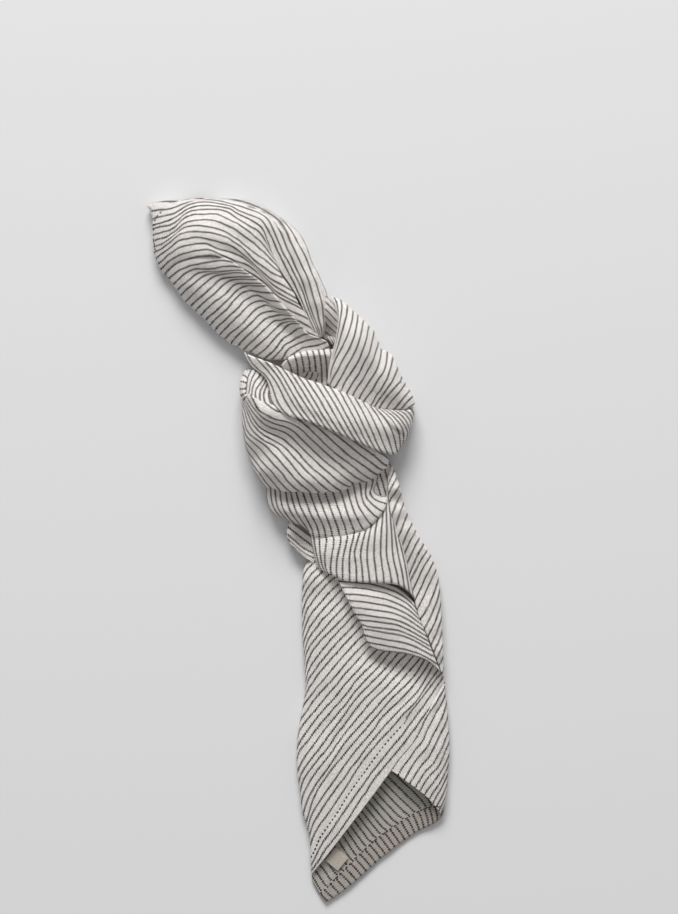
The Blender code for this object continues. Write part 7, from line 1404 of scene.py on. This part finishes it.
def joined(cloth, high, low, path, rings=RING_STEPS, outside=True):
    """Turns the cloth over from the border of one grid to that of another.

    high and low are (points, point numbers, pattern); path lists the border's grid places."""
    i, j = np.array(path).T
    top, foot = high[0][i, j], low[0][i, j]
    closes = path[0] == path[-1]
    levels, numbers = [top], [high[1][i, j]]
    for s in rings[:-1]:
        inward = 1 - math.sqrt(1 - s * s)
        ring = top + (foot - top) * np.array([inward, inward, s])
        made = cloth.add_points(ring[:-1] if closes else ring)
        numbers.append(np.append(made, made[0]) if closes else made)
        levels.append(ring)
    levels.append(foot)
    numbers.append(low[1][i, j])
    edge = high[2][i, j]
    run_on = outward_pattern(high[0], high[2], path)
    # Where an edge runs along the stripes, they follow it as far apart as they were woven.
    follows = np.clip(FOLLOW * np.abs(run_on[:, 1]) * PITCH, 0, 1)
    edge[:, 2] += (PITCH - edge[:, 2]) * follows
    patterns, gone = [edge], np.zeros(len(path))
    for before, after in zip(levels, levels[1:]):
        gone = gone + np.linalg.norm(after - before, axis=1)
        patterns.append(edge + run_on * gone[:, None])
    flip = turned_over(high[0]) != outside
    cloth.quads(np.array(numbers), np.array(patterns), flip)


def pillow(cloth, name, rows=None, sides=ALL_SIDES):
    """A panel of wound cloth: its face, edges that turn under, and its underside."""
    level, radii = PANELS[name]
    points, pattern, params = surface(name, rows=rows)
    points = rounded(points, radii)
    _, flat = net_of(name, rows)
    # The underside is the same net drawn in from the borders that turn under.
    drawn_in = []
    both_ends = (("first", "last"), ("left", "right"))
    for t, cell, size, ends in zip(params, cells_of(flat), flat.shape, both_ends):
        most = min(TURN_MOST / cell, TURN_SHARE * (size - 1))
        low, high = (most if end in sides else 0 for end in ends)
        drawn_in.append(low + t * (size - 1 - low - high) / (size - 1))
    lower, lower_pattern, _ = surface(name, params=drawn_in, rows=rows, plain=True)
    height, width = UNDER_RUMPLE
    bumps = height * unevenness(lower[..., 0], lower[..., 1], width, SEED + len(RUMPLES))
    lower[..., 2] = np.maximum(level + bumps, UNDER_LEAST)
    over = turned_over(points)
    ids = cloth.sheet(points, pattern, over)
    low_ids = cloth.sheet(lower, lower_pattern, not over)
    path = border_path(points.shape[:2], sides)
    joined(cloth, (points, ids, pattern), (lower, low_ids, lower_pattern), path)
    return points, ids, pattern, params


def hem_gap(x, y):
    """Distance from the hemmed edge of the mouth."""
    return off_path(x, y, HEM_EDGE)[0]


def inside(cloth, name, top, first_row, walls, open_side):
    """The inside of the open end under a panel: the cloth overhead, its walls and the floor.

    top is what pillow() gave. The hem joins it to the inside along open_side."""
    params = top[3]
    _, flat = net_of(name)
    size = flat.shape[1]
    inset = WALL_INSET / cells_of(flat)[1]
    low, high = (inset if side in walls else 0 for side in ("left", "right"))
    rows = params[0][params[0] >= first_row]
    columns = low + params[1] * (size - 1 - low - high) / (size - 1)
    overhead, pattern, _ = surface(name, params=(rows, columns))
    radii = [r if side in walls else 0 for r, side in zip(PANELS[name][1], RADIUS_SIDES)]
    overhead = rounded(overhead, radii)
    gap = hem_gap(overhead[..., 0], overhead[..., 1])
    thick = CLOTH_THICK + (HEM_THICK - CLOTH_THICK) * (gap < HEM_WIDE)
    overhead[..., 2] = np.maximum(overhead[..., 2] - thick, FLOOR + MOUTH_ROOM)
    floor = overhead.copy()
    floor[..., 2] = FLOOR
    over = turned_over(overhead)
    ceiling = cloth.sheet(overhead, pattern, not over)
    ground = cloth.sheet(floor, pattern, over)
    path = border_path(overhead.shape[:2], walls)
    whole, low_part = (overhead, ceiling, pattern), (floor, ground, pattern)
    joined(cloth, whole, low_part, path, (0.5, 1.0), False)
    hem_rim(cloth, top, overhead, ceiling, open_side)


def hem_rim(cloth, top, overhead, ceiling, open_side):
    """The hem's thickness along the open side, from the face to the wrong side."""
    points, ids, pattern, _ = top
    rows = len(overhead)
    if open_side == "last":
        columns = np.flatnonzero(points[-1, :, 0] <= APEX)
        upper, under = (-1, columns), (-1, columns)
    else:
        upper, under = (slice(-rows, None), 0), (slice(None), 0)
    a, b = points[upper], overhead[under]
    out = np.gradient((a + b)[:, :2], axis=0)
    out = np.stack([out[:, 1], -out[:, 0]], axis=1)
    out /= np.linalg.norm(out, axis=1, keepdims=True)
    away = a[:, :2].mean(axis=0) - points[..., :2].reshape(-1, 2).mean(axis=0)
    out = out * (1 if away @ out.mean(axis=0) > 0 else -1)
    numbers = [ids[upper]]
    for share, bulge in HEM_RIM:
        ring = a + (b - a) * share
        ring[:, :2] += out * bulge
        numbers.append(cloth.add_points(ring))
    numbers.append(ceiling[under])
    step = np.array([0, RIM_STEP, 0, 0])
    patterns = [pattern[upper] + step * k for k in range(len(numbers))]
    normal = np.cross(a[1] - a[0], b[0] - a[0])
    cloth.quads(np.array(numbers), np.array(patterns), bool(normal[:2] @ out[0] < 0))


def hidden_layers(cloth, name, rows=None):
    """The layers wound up inside a panel, which never show but are part of the cloth."""
    level = PANELS[name][0]
    _, flat = net_of(name, rows)
    params = []
    for cell, size in zip(cells_of(flat), flat.shape):
        inset = min(LAYER_INSET / cell, LAYER_INSET_SHARE * (size - 1)) * cell
        params.append(steps(size, cell, LAYER_SPACING, (), inset))
    face, pattern, _ = surface(name, params=params, rows=rows, plain=True)
    over = turned_over(face)
    room = np.maximum(face[..., 2] - level - LAYER_FREE, 0)
    for share in LAYER_SHARES:
        points = face.copy()
        points[..., 2] = level + LAYER_BOTTOM + room * share
        shift = np.array([0, LAYER_SHIFT * share, 0, 0])
        cloth.sheet(points, pattern + shift, over)


def base_and_hem(cloth):
    """The lower layer of the open end, and the hem that is folded back on to it."""
    _, flat = net_of("base")
    down, across = cells_of(flat)
    rows = steps(len(flat), down, SPACING)
    for low, high, lift, level, radii, shift, painted_shade in LOWER_LAYERS:
        columns = low + steps(2, (high - low) * across, SPACING) * (high - low)
        points, pattern, _ = surface("base", params=(rows, columns))
        points[..., 2] = np.maximum(points[..., 2] + lift, LOWER_LEAST)
        points = rounded(points, radii)
        # The hem takes more painted shade than the layer under it.
        pattern = pattern + np.array([0, shift, 0, painted_shade])
        # The underside is drawn in a little all round.
        inset = LOWER_INSET / down
        lower_rows = inset + rows * (1 - 2 * inset / (len(flat) - 1))
        inset = LOWER_INSET / across
        lower_columns = low + inset + (columns - low) * (1 - 2 * inset / (high - low))
        params = lower_rows, lower_columns
        lower, lower_pattern, _ = surface("base", params=params, plain=True)
        lower[..., 2] = np.where(lower[..., 2] > LIFTED, lower[..., 2] - LIFTED_THICK, level)
        over = turned_over(points)
        ids = cloth.sheet(points, pattern, over)
        low_ids = cloth.sheet(lower, lower_pattern, not over)
        path = border_path(points.shape[:2], ALL_SIDES)
        top, foot = (points, ids, pattern), (lower, low_ids, lower_pattern)
        joined(cloth, top, foot, path, (0.3, 0.7, 1.0))


def cuff_lip(cloth, top):
    """The cuff runs on a little under the tail at the crease between them."""
    points, ids, pattern, _ = top
    back = points[0, :, :2] - points[2, :, :2]
    back /= np.linalg.norm(back, axis=1, keepdims=True)
    lip = points[0].copy()
    lip[:, :2] += back * LIP_LONG
    lip[:, 2] -= LIP_DOWN
    made = cloth.add_points(lip)
    low = pattern[0] - np.array([0, LIP_CLOTH / PITCH, 0, 0])
    cloth.quads(np.array([made, ids[0]]), np.array([low, pattern[0]]), turned_over(points))


def napkin_cloth():
    """All the panels, the open end with its inside, and the layers wound up in them."""
    cloth = Cloth()
    for name in PANELS:
        if name not in ("tail", "cuff"):
            pillow(cloth, name)
            hidden_layers(cloth, name)
    tail = pillow(cloth, "tail", sides=("left", "first", "right"))
    mouth = next(k for k, row in enumerate(NETS["tail"]) if row[0] >= MOUTH_STRIPE)
    hidden_layers(cloth, "tail", rows=NETS["tail"][: mouth - 1])
    cuff = pillow(cloth, "cuff", sides=("right", "last"))
    cuff_lip(cloth, cuff)
    inside(cloth, "tail", tail, mouth, ("left", "first", "right"), "last")
    inside(cloth, "cuff", cuff, 0, ("right", "last"), "left")
    base_and_hem(cloth)
    return cloth


def placed(points):
    """The tables' place in the frame: the CAD model's box is centred on the origin."""
    return np.asarray(points, float) + SHIFT


def linear(code):
    """A colour in sRGB hex as linear values."""
    parts = [int(code[k : k + 2], 16) / 255 for k in (1, 3, 5)]
    return [c / 12.92 if c <= 0.04045 else ((c + 0.055) / 1.055) ** 2.4 for c in parts] + [1.0]


def add(tree, kind, settings=None, links=None, values=None):
    """Adds a node with its settings, its inputs' values and the links into it."""
    node = tree.nodes.new(kind)
    for key, value in (settings or {}).items():
        setattr(node, key, value)
    for key, value in (values or {}).items():
        node.inputs[key].default_value = value
    for key, source in (links or {}).items():
        tree.links.new(source, node.inputs[key])
    return node


def maths(tree, kind, *inputs):
    """A Math node on numbers or other nodes' outputs."""
    node = add(tree, "ShaderNodeMath", {"operation": kind})
    for k, given in enumerate(inputs):
        if isinstance(given, (int, float)):
            node.inputs[k].default_value = given
        else:
            tree.links.new(given, node.inputs[k])
    return node.outputs[0]


def ramp(tree, value, low, high, to_low=0.0, to_high=1.0):
    """A smooth step between two values."""
    node = add(
        tree,
        "ShaderNodeMapRange",
        {"interpolation_type": "SMOOTHSTEP"},
        {"Value": value},
        {"From Min": low, "From Max": high, "To Min": to_low, "To Max": to_high},
    )
    return node.outputs["Result"]


def blend(tree, share, first, second):
    """A mix of two colours, each given as sRGB hex or as another node's output."""
    node = add(tree, "ShaderNodeMix", {"data_type": "RGBA"}, {"Factor": share})
    for socket, colour in ((node.inputs[6], first), (node.inputs[7], second)):
        if isinstance(colour, str):
            socket.default_value = linear(colour)
        else:
            tree.links.new(colour, socket)
    return node.outputs[2]


def new_material(name, roughness):
    """A new material with its node tree and its shader."""
    material = bpy.data.materials.new(name)
    material.use_nodes = True
    tree = material.node_tree
    shader = next(n for n in tree.nodes if n.type == "BSDF_PRINCIPLED")
    shader.inputs["Roughness"].default_value = roughness
    return material, tree, shader


def raised(tree, shader, height, depth):
    """Gives the shader a fine bump of the given depth in metres."""
    values = {"Strength": 0.5, "Distance": depth}
    bump = add(tree, "ShaderNodeBump", None, {"Height": height}, values)
    tree.links.new(bump.outputs["Normal"], shader.inputs["Normal"])


def striped_linen():
    """Washed plain-weave linen, off-white with yarn-dyed charcoal stripes: matt, a little hairy."""
    material, tree, shader = new_material("washed_striped_linen", 0.92)

    def layer(name):
        where = add(tree, "ShaderNodeUVMap", {"uv_map": name})
        parts = add(tree, "ShaderNodeSeparateXYZ", None, {"Vector": where.outputs["UV"]})
        return parts.outputs["X"], parts.outputs["Y"]

    def times(a, b):
        return maths(tree, "MULTIPLY", a, b)

    def plus(a, b):
        return maths(tree, "ADD", a, b)

    def plus_times(start, a, b):
        return maths(tree, "MULTIPLY_ADD", a, b, start)

    def sine(angle):
        return maths(tree, "SINE", angle)

    along, stripe = layer("weave")
    # The second map holds the mm between stripes and the share of painted shade.
    gap, painted_shade = layer("gap")

    def noise(per_mm, per_stripe, detail, offset):
        """Noise with so many lumps to a millimetre along a stripe and from stripe to stripe."""
        place = {"X": times(along, per_mm), "Y": times(stripe, per_stripe)}
        where = add(tree, "ShaderNodeCombineXYZ", None, place, {"Z": offset})
        values = {"Scale": 1.0, "Detail": detail, "Roughness": 0.6}
        made = add(tree, "ShaderNodeTexNoise", None, {"Vector": where.outputs[0]}, values)
        return made.outputs["Fac"]

    def centred(value):
        return maths(tree, "SUBTRACT", value, 0.5)

    # The stripes waver by a tenth of a millimetre or two. Their dark yarn goes over and under a
    # thread every half millimetre, drawn twice as coarse, so they look toothed and dotted.
    waver = times(centred(noise(0.16, 0.9, 2, 3.0)), 0.2)
    centre = maths(tree, "PINGPONG", plus(stripe, waver), 0.5)
    off = times(centre, gap)
    drift = times(noise(0.35, 0.7, 1, 11.0), 5.0)
    over_under = sine(plus_times(drift, along, 2 * math.pi / YARN_SHOWN))
    slub = times(centred(noise(0.7, 2.1, 3, 8.0)), 0.9)
    half = plus(times(over_under, 0.26), plus(slub, STRIPE_HALF))
    half = times(half, ramp(tree, gap, 0.3, 2.2, 0.25, 1.0))
    mask = ramp(tree, maths(tree, "SUBTRACT", off, half), -0.12, 0.12, 1.0, 0.0)
    # Where a fold packs the stripes closer than the yarn is wide they can't be told apart.
    mask = times(mask, ramp(tree, gap, 0.35, 0.9))
    dots = plus_times(plus_times(0.46, noise(0.35, 1.3, 3, 5.0), 1.0), over_under, 0.16)
    ink = maths(tree, "MINIMUM", times(mask, dots), 1.0)
    # Flax is uneven: broad cloudy patches, single threads a shade lighter or darker each way,
    # and a fine speckle.
    cloudy = noise(0.09, 0.32, 2, 0.0)
    weft_threads = noise(0.5, 9.0, 1, 1.0)
    warp_threads = noise(2.6, 1.2, 1, 6.0)
    speckle = noise(1.25, 4.3, 1, 9.0)
    tone = plus_times(times(warp_threads, 0.24), weft_threads, 0.24)
    tone = plus_times(tone, speckle, 1.4)
    tone = plus_times(tone, cloudy, 0.2)
    flax = blend(tree, plus(tone, -0.49), FLAX_DARK, FLAX_PALE)
    # Painted shade inside the open end, where the flap shades it: a greener grey, and a browner one on the
    # hem.
    shade = blend(tree, ramp(tree, painted_shade, INSIDE, ON_HEM), INSIDE_SHADE_COLOUR, HEM_SHADE_COLOUR)
    colour = blend(tree, ink, blend(tree, painted_shade, flax, shade), STRIPE_YARN)
    tree.links.new(colour, shader.inputs["Base Color"])
    # Linen threads lie about 0.5 mm apart. They are drawn at 0.9 mm, the finest that shows.
    warp = sine(times(stripe, 2 * math.pi * PITCH / WEAVE_SHOWN))
    weft = sine(times(along, 2 * math.pi / WEAVE_SHOWN))
    fuzz = times(noise(1.6, 5.5, 2, 2.0), 1.6)
    raised(tree, shader, plus_times(fuzz, times(warp, weft), 0.35), 0.00016)
    shader.inputs["Specular IOR Level"].default_value = 0.25
    shader.inputs["Sheen Weight"].default_value = 0.15
    shader.inputs["Sheen Roughness"].default_value = 0.6
    return material


def mottled(name, pale, dark, size, roughness):
    """A matt thread material: soft uneven patches of the given size in mm, and fine ribs."""
    material, tree, shader = new_material(name, roughness)
    where = {"Vector": add(tree, "ShaderNodeTexCoord").outputs["Object"]}
    values = {"Scale": 1 / (size * MM), "Detail": 3.0}
    patches = add(tree, "ShaderNodeTexNoise", None, where, values)
    values = {"Scale": WAVE_RIB / (RIB * MM), "Distortion": 0.7}
    ribs = add(tree, "ShaderNodeTexWave", None, where, values)
    colour = blend(tree, patches.outputs["Fac"], dark, pale)
    tree.links.new(colour, shader.inputs["Base Color"])
    raised(tree, shader, ribs.outputs["Fac"], 0.0001)
    return material


def plain_cotton():
    """Cotton tape, closely woven and matt, for the label: fine ribs and a faint mottle."""
    return mottled("cotton_tape", TAPE_PALE, TAPE_DARK, 1.2, 0.85)


def sewing_thread():
    """Charcoal sewing thread, matt, with the twist of its plies."""
    return mottled("charcoal_thread", THREAD_PALE, THREAD_DARK, 0.5, 0.7)


def matt_table():
    """A pale painted table top under the napkin."""
    material, _, shader = new_material("painted_table", 0.9)
    shader.inputs["Base Color"].default_value = linear(TABLE)
    return material


def label_piece():
    """The label: a thin strip, a little arched towards its far end."""
    cloth = Cloth()
    share = np.linspace(0, 1, LABEL_POINTS)
    s, t = np.meshgrid(share, share, indexing="ij")
    flat = LABEL_CORNER + LABEL_ALONG * s[..., None] + LABEL_ACROSS * t[..., None]
    grid = np.dstack([flat, LABEL_HEIGHT + LABEL_ARCH * np.sin(3 * s + 1) * t])
    over = turned_over(grid)
    for level, flip in ((LABEL_HALF, over), (-LABEL_HALF, not over)):
        cloth.sheet(grid + np.array([0, 0, level]), np.dstack([grid, grid[..., 2]]), flip)
    return cloth


def linked(name, data):
    """A new object in the scene."""
    obj = bpy.data.objects.new(name, data)
    bpy.context.scene.collection.objects.link(obj)
    return obj


def object_of(name, cloth, material, node):
    """A piece of the gathered cloth that stands for a node of the CAD model."""
    obj = linked(name, cloth.mesh(name))
    obj.data.materials.append(material)
    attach(obj, "root")
    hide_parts(node)
    return obj


def seams():
    """The hems' lines of stitches: along the flap, inside the mouth and at the puffed corner."""
    stripe = next(path for number, path in NETS["tail"] if number == SEAM_STRIPE)
    flap = [(x, y) for x, y in stripe if x < SEAM_END]
    _, base = net_of("base")
    mouth = base[1:, HEM_COLUMN] + np.array(SEAM_SHIFT)
    return flap, mouth, CORNER_SEAM


def laid_on(napkin, path):
    """The path's points where they meet the cloth from above."""
    depsgraph = bpy.context.evaluated_depsgraph_get()
    places = []
    for x, y in evenly(path, SEAM_POINTS):
        start = Vector(placed((x, y, ABOVE_ALL)) * MM)
        found, place, _, _ = napkin.ray_cast(start, Vector((0, 0, -1)), depsgraph=depsgraph)
        if found:
            places.append(place)
    return places


def stitch_tree(thread):
    """Geometry nodes: a small raised stitch at even steps along each seam."""
    tree = bpy.data.node_groups.new("stitches_along_seams", "GeometryNodeTree")
    tree.interface.new_socket("Geometry", in_out="INPUT", socket_type="NodeSocketGeometry")
    for name in STITCH:
        tree.interface.new_socket(name, in_out="INPUT", socket_type="NodeSocketFloat")
    tree.interface.new_socket("Geometry", in_out="OUTPUT", socket_type="NodeSocketGeometry")

    def node(kind, links=None, values=None, settings=None):
        return add(tree, kind, settings, links, values).outputs

    given = node("NodeGroupInput")
    seam = node("GeometryNodeMeshToCurve", {"Mesh": given["Geometry"]})
    along = {"Curve": seam[0], "Length": given["Step"]}
    places = node("GeometryNodeCurveToPoints", along, None, {"mode": "LENGTH"})
    tangent = {"Vector": places["Tangent"]}
    turn = node("FunctionNodeAlignRotationToVector", tangent, None, {"axis": "X"})
    sides = {"X": given["Length"], "Y": given["Width"], "Z": given["Height"]}
    size = node("ShaderNodeCombineXYZ", sides)
    limits = {"Min": (0.7, 0.75, 0.8), "Max": (1.15, 1.1, 1.1), "Seed": SEED}
    uneven = node("FunctionNodeRandomValue", None, limits, {"data_type": "FLOAT_VECTOR"})
    both = {0: size[0], 1: uneven[0]}
    scale = node("ShaderNodeVectorMath", both, None, {"operation": "MULTIPLY"})
    ball = {"Segments": 10, "Rings": 6, "Radius": 0.5}
    stitch = node("GeometryNodeMeshUVSphere", None, ball)
    spread = {
        "Points": places["Points"],
        "Instance": stitch["Mesh"],
        "Rotation": turn[0],
        "Scale": scale[0],
    }
    made = node("GeometryNodeInstanceOnPoints", spread)
    real = node("GeometryNodeRealizeInstances", {"Geometry": made[0]})
    dyed = node("GeometryNodeSetMaterial", {"Geometry": real[0]}, {"Material": thread})
    node("NodeGroupOutput", {"Geometry": dyed[0]})
    return tree


def hem_stitches(napkin):
    """The stitches of the hems, laid on the cloth and turned into a plain mesh."""
    points, edges = [], []
    for path in seams():
        first = len(points)
        points += laid_on(napkin, path)
        edges += [(k, k + 1) for k in range(first, len(points) - 1)]
    guide = bpy.data.meshes.new("seam_lines")
    guide.from_pydata(points, edges, [])
    obj = linked("hem_stitches", guide)
    tree = stitch_tree(sewing_thread())
    modifier = obj.modifiers.new("stitches", "NODES")
    modifier.node_group = tree
    for socket in tree.interface.items_tree:
        if socket.name in STITCH:
            modifier[socket.identifier] = STITCH[socket.name] * MM
    evaluated = obj.evaluated_get(bpy.context.evaluated_depsgraph_get())
    baked = bpy.data.meshes.new_from_object(evaluated)
    obj.modifiers.remove(modifier)
    obj.data = baked
    baked.shade_smooth()
    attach(obj, "root")
    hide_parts("napkin_cloth")
    return obj


def table_top():
    """The table, a wide square just under the napkin."""
    mesh = bpy.data.meshes.new("table_top")
    corners = [(-1, -1), (1, -1), (1, 1), (-1, 1)]
    corners = [(x * TABLE_HALF, y * TABLE_HALF, 0) for x, y in corners]
    mesh.from_pydata(corners, [], [(0, 1, 2, 3)])
    obj = linked("table_top", mesh)
    obj.location.z = TABLE_LEVEL
    obj.data.materials.append(matt_table())


def window_light():
    """Soft light from a wide window beyond the top of the picture, and an even sky."""
    scene = bpy.context.scene
    world = bpy.data.worlds.new("overcast")
    world.use_nodes = True
    background = next(n for n in world.node_tree.nodes if n.type == "BACKGROUND")
    background.inputs["Color"].default_value = (1.0, 1.0, 1.0, 1)
    background.inputs["Strength"].default_value = SKY
    scene.world = world
    data = bpy.data.lights.new("window", "AREA")
    data.shape = "RECTANGLE"
    data.size, data.size_y = WINDOW_SIZE
    data.energy = WINDOW_POWER
    obj = linked("window", data)
    obj.location = WINDOW_PLACE
    obj.rotation_mode = "QUATERNION"
    obj.rotation_quaternion = (-Vector(WINDOW_PLACE)).to_track_quat("-Z", "Y")
    scene.view_settings.view_transform = "Standard"


def camera_above():
    """Straight above, at the scale of the picture."""
    data = bpy.data.cameras.new("camera")
    data.sensor_width = SENSOR
    data.lens = SENSOR * CAMERA_HEIGHT / (PICTURE_HIGH * PIXEL * MM)
    obj = linked("camera", data)
    x, y, _ = placed((*PICTURE_CENTRE, 0)) * MM
    obj.location = (x, y, CAMERA_HEIGHT + PICTURE_PLANE)
    bpy.context.scene.camera = obj


for old in list(bpy.data.objects):
    bpy.data.objects.remove(old)
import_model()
# The label's middle ties the tables to the frame.
label_low, label_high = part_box("label")
label_middle = LABEL_CORNER + (LABEL_ALONG + LABEL_ACROSS) / 2
SHIFT = np.array([
    (label_low.x + label_high.x) / 2 / MM - label_middle[0],
    (label_low.y + label_high.y) / 2 / MM - label_middle[1],
    0.0,
])
napkin = object_of("striped_linen", napkin_cloth(), striped_linen(), "napkin_cloth")
label = object_of("woven_tab", label_piece(), plain_cotton(), "label")
stitches = hem_stitches(napkin)
table_top()
window_light()
camera_above()
